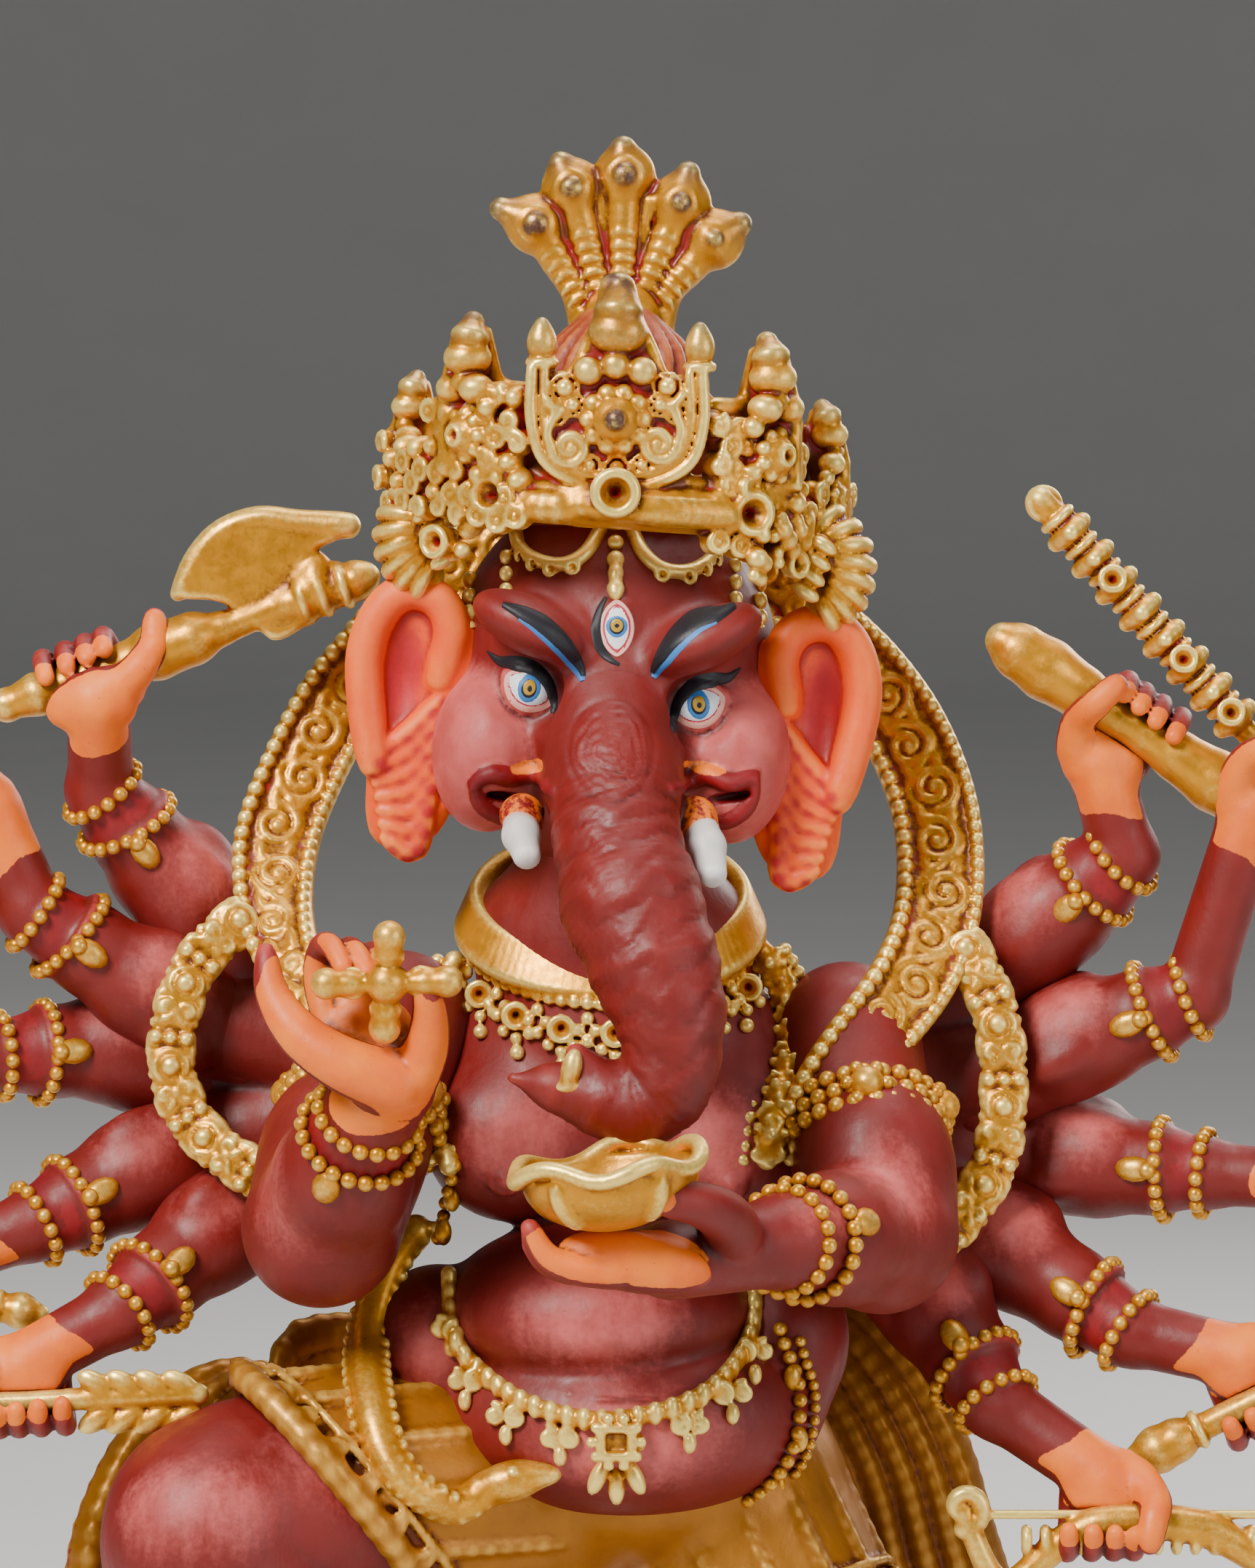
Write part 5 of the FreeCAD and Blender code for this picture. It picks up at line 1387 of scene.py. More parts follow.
def build_cup_arm():
    shoulder, elbow, wrist, palm = (vec(*p) for p in FRONT_ARMS["skull_cup"])
    low, high = arm_box([shoulder, elbow, wrist, palm, (-9, -36, 118)], 8.5)
    c = Clay(low, high, 0.34)
    c.chain([shoulder, shoulder * 0.4 + elbow * 0.6, elbow, elbow * 0.5 + wrist * 0.5, wrist], [6.4, 6.2, 6.3,
            5.4, 4.0], 1.6)
    c.add(orb(shoulder * 0.3 + elbow * 0.7 + vec(0.8, -1.0, 0), (6.4, 6.0, 8.0)), 2.0)
    # pink painted highlights on the front and top of the elbow and of the wrist
    c.brush(orb(elbow + vec(0.5, -5.0, 5.0), (3.8, 3.0, 5.0)), (None, 0.75, None), 2.2)
    c.brush(orb(wrist + vec(4.0, -2.0, 2.6), (4.5, 3.0, 2.2)), (None, 0.8, None), 1.6)
    c.chain([wrist, palm + vec(2.4, 0.6, 0)], [3.7, 3.3], 1.2)
    c.add(orb(palm + vec(0, 0, 0.2), (5.6, 3.6, 2.3)), 1.2)
    c.add(orb(palm + vec(-0.5, -3.0, 0.4), (6.4, 2.0, 2.5), turn((0, 1, 0), 10)), 0.8)
    for k in range(4):
        y = palm[1] + 1.8 - k * 1.85
        path = [(palm[0] - 2.0, y, palm[2] - 0.2), (palm[0] - 5.2, y - 0.4, palm[2] - 1.0 + 0.35 * k),
                (palm[0] - 7.6, y - 0.6, palm[2] - 0.4 + 0.5 * k), (palm[0] - 9.0, y - 0.7, palm[2] + 1.2 + 0.75 * k)]
        finger(c, path, 1.5, 0.8)
    thumb = smooth_path([(9.6, -33.5, 119.6), (8.6, -37.0, 121.8), (6.4, -39.6, 123.2), (3.9, -41.2, 123.8)], 0.6)
    c.chain(thumb, np.linspace(2.3, 1.25, len(thumb)), 0.6)
    c.brush_facing(orb(palm + vec(-1.4, -4.5, 0.8), (8.6, 5.0, 3.3), turn((0, 1, 0), 8)), (1.0, 0, 0), (0, -1,
            0.6), 0.42, 0.2)
    c.brush(orb((9.0, -37.2, 121.4), (3.6, 4.2, 2.2)), (0.0, None, 0.15), 0.3)
    c.brush(orb((3.9, -42.4, 123.9), (0.95, 0.8, 1.05)), (1.0, 0, 0), 0.12)
    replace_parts(c.piece("arm_skull_cup_sculpt", skin), "arm_skull_cup")


def build_bracelets():
    """Two rings of beads on each forearm with a leaf drop, and an armlet on each front arm."""
    k = Casting()

    def ring_of(centre, axis, radius, size):
        count = int(round(2 * math.pi * radius / (size * 2.05)))
        for p in circle(centre, axis, radius, count):
            k.ball(p, size, p - centre)
    for _, swell, wrist, _, _ in REAR_ARMS.values():
        swell, wrist = vec(*swell), vec(*wrist)
        axis = unit(wrist - swell)
        ring_of(wrist - axis * 0.2, axis, 3.55, 0.66)
        tilted = unit(axis + vec(0.12, 0, 0.1))
        ring_of(wrist - axis * 3.9, tilted, 4.25, 0.66)
        out = unit(vec(0, -1, 0.1) - axis * (vec(0, -1, 0.1) @ axis))
        drop = wrist - axis * 5.5 + out * 4.45
        k.ball(drop, (1.15, 1.75, 0.75), out, np.column_stack([np.cross(out, axis), axis, out]))
        k.ball(wrist - axis * 4.3 + out * 4.7, 0.8, out)
    for shoulder, elbow, wrist, _ in FRONT_ARMS.values():
        shoulder, elbow, wrist = vec(*shoulder), vec(*elbow), vec(*wrist)
        axis = unit(wrist - elbow)
        ring_of(wrist + axis * 0.6, axis, 4.25, 0.7)
        ring_of(wrist - axis * 2.6, axis, 4.95, 0.7)
        out = unit(vec(0, -1, 0.3) - axis * (vec(0, -1, 0.3) @ axis))
        k.ball(wrist - axis * 4.4 + out * 5.2, (1.25, 1.9, 0.8), out, np.column_stack([np.cross(out, axis),
                axis, out]))
        axis = unit(elbow - shoulder)
        middle = shoulder + axis * 9.5
        for shift in (-1.5, 0.0, 1.5):
            ring_of(middle + axis * shift, axis, 6.75 + 0.1 * shift, 0.78)
        for p in circle(middle, axis, 7.2, 5, start=4.2):
            k.ball(p, (1.5, 1.5, 1.5), p - middle)
            for q in circle(p, p - middle, 1.7, 6):
                k.ball(q, 0.62, p - middle)
    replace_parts(k.piece("bracelet_beads", gold), "bracelets")


# ------------------------------------------------------------------ body
def build_torso():
    c = Clay((-22, -26, 84), (23, 13, 156), 0.36)
    c.add(orb((0.5, -0.5, 127), (16.2, 10.6, 14.0)), 1.0)
    c.add(rod((-0.5, -1.5, 134), (-0.5, -3.0, 152), 9.6, 7.4), 3.0)
    c.add(orb((-0.5, -0.8, 140.8), (12.8, 8.8, 7.2)), 3.0)
    for x in (-9.0, 9.0):
        c.add(orb((x, -6.2, 123.5), (7.6, 6.0, 7.2)), 2.4)
    c.add(orb((-1.5, -8.4, 109.4), (13.4, 12.2, 7.4)), 1.4)
    c.add(orb((0.8, -7.0, 100.2), (17.2, 14.4, 9.6)), 1.2)
    c.add(orb((-15.5, -6.5, 105.5), (6.6, 7.2, 7.0)), 1.4)
    c.add(orb((14.5, -6.0, 106.0), (5.6, 7.0, 7.5)), 1.6)
    for x, z in ((-9.6, 120.8), (9.8, 120.4)):
        spot = front_of(c, x, z)
        c.add(orb(spot, (1.5, 0.7, 1.5)), 0.4)
        c.add(orb(spot + vec(0, -0.5, 0), 0.62), 0.3)
    # pink painted highlights on the fronts of the belly rolls, the hip and the chest
    for x, z, rx, rz in ((-2.0, 110.6, 9.0, 4.2), (2.0, 99.6, 11.0, 5.0), (-15.5, 107.0, 3.5, 4.0), (-8.5,
            124.5, 4.5, 4.5),
                         (9.0, 124.0, 4.5, 4.5)):
        spot = front_of(c, x, z)
        c.brush(orb(spot, (rx, 2.6, rz)), (None, 0.7, None), 2.2)
    for pts in ([(-8.5, 104.9), (-3.0, 103.6), (3.5, 103.5), (9.0, 104.8)], [(-12.0, 115.6), (-5.0, 114.9),
            (4.0, 114.9), (11.0, 115.8)]):
        line = smooth_path([front_of(c, x, z, 0.1) for x, z in pts], 1.0)
        c.chain(line, [0.1] * len(line), 0.05)
    piece = c.piece("torso_sculpt", skin)
    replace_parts(piece, "torso")
    return tree_of(piece)


def build_arm_clusters():
    for side, name in ((-1, "right"), (1, "left")):
        centre = vec(side * 15, 7, 127 if side < 0 else 126)
        roots = [vec(*arm[0]) for arm in REAR_ARMS.values() if arm[0][0] * side > 0]
        low, high = arm_box(roots + [centre], 7.5)
        c = Clay(low, high, 0.42)
        c.add(orb(centre, 6.6), 1.0)
        for root in roots:
            c.chain([centre, centre * 0.45 + root * 0.55, root], [6.2, 5.5, 4.85], 0.7)
        c.add(orb(centre + vec(side * 9, 0, -2), (9.5, 5.2, 9.0)), 2.0)
        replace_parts(c.piece(f"arm_cluster_{name}", skin), "arm_fan_right" if side < 0 else "arm_fan_left")


LEGS = {
    "left": ([(8, -1, 93), (16, -7, 79), (22, -11, 67), (15.5, -8.5, 55), (9, -5, 44)], [10.4, 8.6, 7.0, 6.4, 4.1],
             (17, -12, 38.4)),
    "right": ([(-8, -3, 92.5), (-22, -10.5, 93.0), (-35, -17, 91.0), (-25, -18.5, 77), (-15, -19, 64)],
              [10.8, 9.8, 8.6, 6.6, 4.2], (-5, -23, 57.7)),
}


def build_legs():
    for name, (route, radii, toe) in LEGS.items():
        pts = [vec(*p) for p in route]
        toe = vec(*toe)
        low, high = arm_box(pts + [toe], 11.5)
        c = Clay(low, high, 0.42)
        line = smooth_path(np.array(route), 3.0)
        size = np.interp(np.linspace(0, 1, len(line)), np.linspace(0, 1, len(radii)), radii)
        c.chain(line, size, 1.5)
        knee, ankle = pts[2], pts[4]
        c.add(orb(knee + vec(0, -2.0, 1.0), radii[2] * 0.92), 2.0)
        # pink painted highlights on the front and top of the knee and thigh
        c.brush(orb(knee + vec(0, -6.5, 3.2), (6, 3.5, 4)), (None, 0.9, None), 2.2)
        c.brush(orb(pts[1] + vec(0, -8.5, 4.0), (9, 3.5, 4)), (None, 0.8, None), 2.4)
        heading = unit(vec(toe[0] - ankle[0], toe[1] - ankle[1], 0))
        side = vec(-heading[1], heading[0], 0)
        sole = toe[2] - 2.4
        heel = vec(ankle[0], ankle[1], sole + 2.3) - heading * 2.2
        c.chain([ankle, heel], [4.0, 2.9], 1.2)
        ball_ = vec(toe[0], toe[1], sole + 1.9)
        c.chain([heel, heel * 0.4 + ball_ * 0.6 + vec(0, 0, 0.8), ball_], [2.9, 3.0, 2.3], 1.4)
        c.chain([ankle, heel * 0.3 + ball_ * 0.7 + vec(0, 0, 1.2)], [3.6, 2.2], 1.6)
        for k in range(5):
            s = side * (k - 2) * 1.35
            tip = ball_ + s * 1.15 + heading * (2.9 - 0.35 * abs(k - 1)) + vec(0, 0, -0.5)
            c.chain([ball_ + s * 0.8, tip], [1.15, 0.95 if k else 1.05], 0.35, (0.9, 0, 0))
        c.carve(slab((ball_[0], ball_[1], sole - 3.0), (25, 25, 3.0), UPRIGHT, 0.1), 0.4)
        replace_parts(c.piece(f"leg_{name}_sculpt", skin), f"leg_{name}")


# ------------------------------------------------------------------ chains and belts
def lay_chain(k, tree, path, radius, pitch, proud=0.35, drops=0, drop_size=1.0):
    """Beads laid on the front of a surface along a path of (x, z) points."""
    line = smooth_path(path, pitch)
    for i, (x, z) in enumerate(line):
        spot, normal = on_surface(tree, x, z, proud)
        if spot is None:
            continue
        k.ball(spot, radius, normal)
        if drops and i % drops == drops // 2:
            low, out = on_surface(tree, x, z - radius - drop_size * 1.2, proud)
            if low is not None:
                k.ball(low, (0.75 * drop_size, 0.6 * drop_size, 1.15 * drop_size), out)


def build_chest_ornaments(tree):
    """Collar, necklaces with socket drops, and the garlands at the sides of the chest."""
    c = Clay((-20, -30, 108), (21, 6, 148), 0.26, masks=False)

    def chest(x, z, proud=0.4):
        spot, _ = on_surface(tree, x, z, proud)
        return spot if spot is not None else vec(x, -4.0, z)
    turns = np.linspace(-2.3, 2.3, 70)
    torc = np.array([(-0.6 + 12.0 * math.sin(a), -1.6 - 8.2 * math.cos(a), 142.6 - 4.6 * math.cos(a)) for a in turns])
    for p, a in zip(torc, turns):
        out = unit(vec(math.sin(a), -math.cos(a), 0.45))
        spin = np.column_stack([unit(np.cross((0, 0, 1), out)), out, unit(np.cross(out, np.cross((0, 0, 1), out)))])
        c.add(slab(p, (1.0, 0.9, 2.1), spin, 0.5), 0.35)
        c.add(orb(p - out * 1.2, 1.5), 0.5)
    fringe = smooth_path([chest(p[0], p[2] - 2.2, 0.3) for p in torc[16:-16]], 1.15)
    for i, p in enumerate(fringe):
        q = chest(p[0], p[2], 0.3)
        c.add(orb(q, 0.62), 0.12)
        if i % 4 == 1:
            socket(c, chest(p[0], p[2] - 2.4, 0.5), vec(0, -1, 0), 1.25)
            for dx in (-1, 0, 1):
                c.add(orb(chest(p[0] + dx * 1.1, p[2] - 4.3 + 0.5 * abs(dx), 0.4), 0.58), 0.12)
            c.add(orb(chest(p[0], p[2] - 5.5, 0.4), 0.66), 0.12)
        elif i % 4 == 3:
            for dx, dz in ((0, -1.3), (-0.7, -2.3), (0.7, -2.3), (0, -3.2)):
                c.add(orb(chest(p[0] + dx, p[2] + dz, 0.4), 0.60), 0.12)
    for route, width in (([(12.0, 139.6), (14.0, 135.5), (14.4, 131.0), (13.2, 126.4), (12.6, 122.6)], 2.0),
                         ([(-13.6, 138.6), (-15.2, 134.0), (-15.2, 128.6), (-14.0, 122.0)], 1.5)):
        line = smooth_path([chest(x, z, 0.6) for x, z in route], 0.6)
        c.chain(line[::2], [0.9] * len(line[::2]), 0.3)
        for edge in (-1, 1):
            beads = smooth_path([p + vec(edge * width, 0.3, 0) for p in line[::3]], 1.2)
            c.beads(beads, 0.62, 0.12)
        for i in range(2, len(line) - 1, 6):
            rosette(c, line[i] + vec(0, -0.4, 0), vec(0, -1, 0), width * 0.75, 7, 0.4)
        for i in range(5, len(line) - 1, 6):
            for s in (-1, 1):
                curl = spiral(line[i] + vec(s * width * 0.42, -0.5, 0), 0.85, 1.3, 90, vec(1, 0, 0), vec(0, 0,
                        1), s, 14)
                c.chain(curl, [0.3] * len(curl), 0.1)
    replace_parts(c.piece("necklace_sculpt", gold_red), "collar", "necklace", "garlands")


def build_belly_ornaments(tree, skirt_tree):
    c = Clay((-25, -31, 86), (18, 0, 122), 0.26, masks=False)

    def belly(x, z, proud=0.4):
        spot, _ = on_surface(tree, x, z, proud)
        return spot if spot is not None else vec(x, -14.0, z)
    # ribbed strap round the upper roll, with curls and a middle pendant
    route = [(-14.2, 112.0), (-13.6, 107.6), (-11.4, 104.6), (-7.5, 102.8), (-2.0, 101.8), (3.5, 102.4), (8.0,
            104.0), (11.0, 107.0),
             (11.8, 111.4)]
    line = smooth_path([belly(x, z, 0.5) for x, z in route], 0.5)
    c.chain(line[::2], [0.72] * len(line[::2]), 0.2)
    for i in range(1, len(line) - 1, 3):
        c.add(orb(line[i] + vec(0, -0.35, 0), (0.62, 0.72, 1.05)), 0.12)
    for i in range(6, len(line) - 4, 11):
        at = line[i]
        for s in (-1, 1):
            curl = spiral(belly(at[0] + s * 0.9, at[2] - 1.9, 0.6), 0.95, 1.3, 90, vec(1, 0, 0), vec(0, 0, 1), s, 16)
            c.chain(curl, [0.34] * len(curl), 0.1)
        c.add(orb(belly(at[0], at[2] - 3.4, 0.5), (0.6, 0.6, 0.95)), 0.12)
    middle = belly(0.0, 100.2, 1.0)
    c.add(slab(middle, (1.7, 0.8, 1.6), UPRIGHT, 0.35), 0.3)
    c.carve(slab(middle + vec(0, -0.9, 0), (0.85, 0.8, 0.8), UPRIGHT, 0.2), 0.1)
    for p in circle(middle + vec(0, -0.3, 0), (0, -1, 0), 2.1, 10):
        c.add(orb(p, 0.5), 0.1)
    for x, z, tilt in ((-1.5, 97.2, 24), (0.0, 96.4, 0), (1.5, 97.2, -24)):
        c.add(orb(belly(x, z, 0.6), (0.75, 0.7, 1.7), turn((0, 1, 0), tilt)), 0.15)
    # scaled snake belt, with its head lying on the belly
    snake = [(-17.0, 116.0), (-19.4, 111.6), (-20.8, 106.5), (-21.0, 101.8), (-19.6, 98.0), (-17.0, 95.4),
             (-14.0, 94.3), (-11.4, 95.2)]
    both = (tree, skirt_tree)

    def lie(x, z, proud):
        spot, _ = on_surface(both, x, z, proud)
        return spot if spot is not None else vec(x, -12.0, z)
    body = smooth_path([lie(x, z, 0.8) for x, z in snake], 0.55)
    c.chain(body, [1.5] * len(body), 0.2)
    for s in (-1, 1):
        rail = [p + vec(s * 1.55, -0.2, 0.35 * s) for p in body]
        c.beads(smooth_path(rail, 1.3), 0.62, 0.12)
    for i in range(0, len(body), 2):
        way = unit(body[min(i + 1, len(body) - 1)] - body[max(i - 1, 0)])
        across = unit(np.cross(way, (0, -1, 0)))
        for j, s in enumerate((-0.9, 0.0, 0.9)):
            shift = way * (0.55 if j == 1 else 0.0)
            c.add(orb(body[i] + across * s + shift + vec(0, -1.05 + 0.32 * abs(s), 0), 0.56), 0.10)
    head = lie(-8.4, 96.9, 1.5)
    c.add(orb(head, (3.3, 1.7, 1.75), turn((0, 1, 0), -14)), 0.6)
    c.add(orb(head + vec(2.6, -0.1, 0.6), (1.9, 1.2, 1.1), turn((0, 1, 0), -8)), 0.5)
    c.add(orb(head + vec(0.3, -1.1, 1.0), 0.55), 0.15)
    c.carve(rod(head + vec(1.2, -1.8, -0.1), head + vec(4.6, -1.2, 0.2), 0.22), 0.15)
    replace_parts(c.piece("belly_chain_sculpt", gold), "belly_chain", "snake_belt")
    # fine bead chains down each side, with a low sweep across the hips
    k = Casting()
    lay_chain(k, tree, [(14.0, 108.0), (15.2, 103.0), (14.6, 98.2), (12.0, 94.4), (8.0, 92.2), (2.0, 90.6),
                        (-3.0, 91.2)],
              0.62, 1.22, 0.5, 4)
    lay_chain(k, tree, [(15.6, 107.0), (16.6, 102.0), (15.6, 96.6), (12.6, 92.6), (8.0, 90.4)], 0.5, 1.0, 0.45)
    lay_chain(k, tree, [(-13.6, 122.0), (-14.6, 118.0), (-15.2, 114.8)], 0.6, 1.2, 0.5, 3)
    k.piece("hip_chain_beads", gold)


# ------------------------------------------------------------------ cast drapery
def build_skirt():
    """The wrap over the hips and thighs, with raised folds, a rolled hem and a scroll border."""
    c = Clay((-33, -26, 72), (27, 16, 108), 0.38)
    hip_l, hip_r = vec(8, -1, 93), vec(-8, -3, 92.5)
    end_l = hip_l + (vec(22, -11, 67) - hip_l) * 0.56
    end_r = vec(-24.0, -11.5, 93.0)
    c.add(orb((0.4, -2.0, 94.0), (18.8, 13.6, 8.6)), 1.0)
    c.add(rod(hip_l, end_l, 11.4, 10.0), 1.5)
    c.add(rod(hip_r, end_r, 11.9, 11.2), 1.5)
    for hip, end, radius, slant in ((hip_l, end_l, 10.2, vec(0, 0, 0)), (hip_r, end_r, 11.2, vec(0.0, 0.15, -0.75))):
        axis = unit(end - hip)
        cut = unit(axis + slant)
        spin = frame_of(axis)
        length = np.linalg.norm(end - hip)
        for k in range(14):
            a = k / 14 * 2 * math.pi + 0.2
            way = spin[:, 0] * math.cos(a) + spin[:, 1] * math.sin(a)
            wave = 0.25 * math.sin(3 * a)
            reach = end + way * (radius - 0.1)
            reach = reach - axis * (((reach - end) @ cut) / (axis @ cut))
            fold = [hip + axis * (length * (0.15 + 0.1 * wave)) + way * (radius + 0.3),
                    (hip + way * (radius + 0.35)) * 0.5 + reach * 0.5, reach]
            c.chain(smooth_path(fold, 1.6), [0.55] * len(smooth_path(fold, 1.6)), 0.6, None)
        hem = circle(end, axis, radius + 0.1, 44)
        hem = np.array([p - axis * (((p - end) @ cut) / (axis @ cut)) for p in hem])
        c.chain(list(hem) + [hem[0]], [1.15] * 45, 0.5, (0, 0, 0.2))
        inner = np.array([p - axis * 3.4 + unit(p - end) * 0.45 for p in hem])
        c.chain(list(inner) + [inner[0]], [0.42] * 45, 0.15)
        for p, q in zip(inner[::2], hem[::2]):
            middle = (p + q) / 2
            out = middle - end
            out = unit(out - axis * (out @ axis))
            curl = spiral(middle + out * 0.45, 1.0, 1.2, 0, axis, np.cross(axis, out), 1, 12)
            c.chain(curl, [0.34] * len(curl), 0.12)
        trim = frame_of(cut)
        c.carve(slab(end + cut * 15.6, (24, 24, 15.0), trim, 0.1), 0.3, (1.0, 0, 0))
        c.chain(list(hem) + [hem[0]], [1.15] * 45, 0.5, (0, 0, 0.2))
    c.brush(orb((-6, -12, 88), (22, 8, 5)), (None, None, 0.0), 1)
    piece = c.piece("skirt_sculpt", cloth)
    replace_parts(piece, "dhoti")
    return tree_of(piece)


def pleated(name, node, route, widths, pleats, side_hint, voxel=0.34, depth=1.1):
    """A hanging scarf end: pleats run down it and fan out to a zigzag hem."""
    path = smooth_path(route, 0.8)
    along = np.gradient(path, axis=0)
    along /= np.linalg.norm(along, axis=1)[:, None]
    side = side_hint - along * (along @ side_hint)[:, None]
    side /= np.linalg.norm(side, axis=1)[:, None]
    face = np.cross(side, along)
    face *= np.sign(-face[:, 1:2] + 1e-9)
    half = np.interp(np.linspace(0, 1, len(path)), np.linspace(0, 1, len(widths)), widths) / 2
    c = Clay(path.min(axis=0) - 9, path.max(axis=0) + 9, voxel)
    columns = []
    for i in range(2 * pleats + 1):
        u = -1 + i / pleats
        lift = depth if i % 2 else -depth * 0.55
        columns.append([p + s * h * u + f * (lift * min(1.0, 0.35 + 0.8 * k / len(path)) - 0.25 * abs(u))
                        for k, (p, s, h, f) in enumerate(zip(path, side, half, face))])
    for i, column in enumerate(columns):
        trim = 2 if i % 2 else 0
        line = column[:len(column) - trim]
        size = 1.0 if i % 2 else 0.72
        c.chain(line[::2] + [line[-1]], [size] * (len(line[::2]) + 1), 0.5)
    for k in range(0, len(path) - 1, 1):
        c.add(slab(path[k], (half[k], 0.85, 0.6), np.column_stack([side[k], along[k], face[k]]), 0.4), 0.8)
    hem = [col[-1 - (2 if i % 2 else 0)] for i, col in enumerate(columns)]
    for a, b in zip(hem, hem[1:]):
        c.add(rod(a, b, 0.85), 0.3, (1.0, 0, 0))
    for a, b in zip(hem, hem[1:]):
        up = -along[-1] * 2.0
        c.add(rod(a + up, b + up, 0.5), 0.2)
    for edge in (0, -1):
        line = [p + f * 0.5 for p, f in zip(columns[edge], face)]
        c.chain(line[::2], [0.55] * len(line[::2]), 0.2, (1.0, 0, 0))
    piece = c.piece(name, cloth)
    if node:
        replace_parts(piece, node)


def build_drapes():
    pleated("drape_left_sculpt", "drape_left", [(15, 8, 106), (20, 6.5, 101), (24.5, 5.5, 93), (27, 5.5, 84),
                                                (30, 6.5, 74),
                                                (33, 8.0, 63)], (9, 12.5, 13.5, 14, 14.5, 16), 5, vec(1, 0.3, 0.25))
    pleated("drape_right_sculpt", "drape_right", [(-20, 9.0, 101), (-30, 8, 100), (-38, 6, 95), (-42.5, 4.0,
            86), (-43, 4.2, 76),
                                                  (-41.5, 5, 66)], (8, 9, 10, 10.5, 11, 12), 4, vec(0.9, 0, 0.35))
    pleated("back_sash_sculpt", "back_sash", [(0, 11.5, 100), (0, 14.0, 92), (0, 14.8, 82), (-0.5, 14.6, 74),
                                              (-1, 14.2, 66)],
            (11, 11.5, 12, 12.5, 13.5), 4, vec(1, 0.05, 0))


# ------------------------------------------------------------------ implements
def shaft_line(name):
    grip, direction = vec(*REAR_ARMS[name][3]), unit(REAR_ARMS[name][4])
    return grip, direction


def turned_piece(name, node, stations, rings=(), extra=None, voxel=0.25, margin=4.0):
    """A turned shaft on the hand's line. stations are (distance, radius); rings are (distance, radius, tube)."""
    grip, d = shaft_line(node)
    ends = [grip + d * stations[0][0], grip + d * stations[-1][0]]
    c = Clay(np.minimum(*ends) - margin, np.maximum(*ends) + margin, voxel)
    c.chain([grip + d * s for s, _ in stations], [r for _, r in stations], 0.35)
    for s, r, tube in rings:
        c.add(hoop(grip + d * s, d, r, tube), 0.15)
    if extra:
        extra(c, grip, d)
    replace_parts(c.piece(name, gold), node)


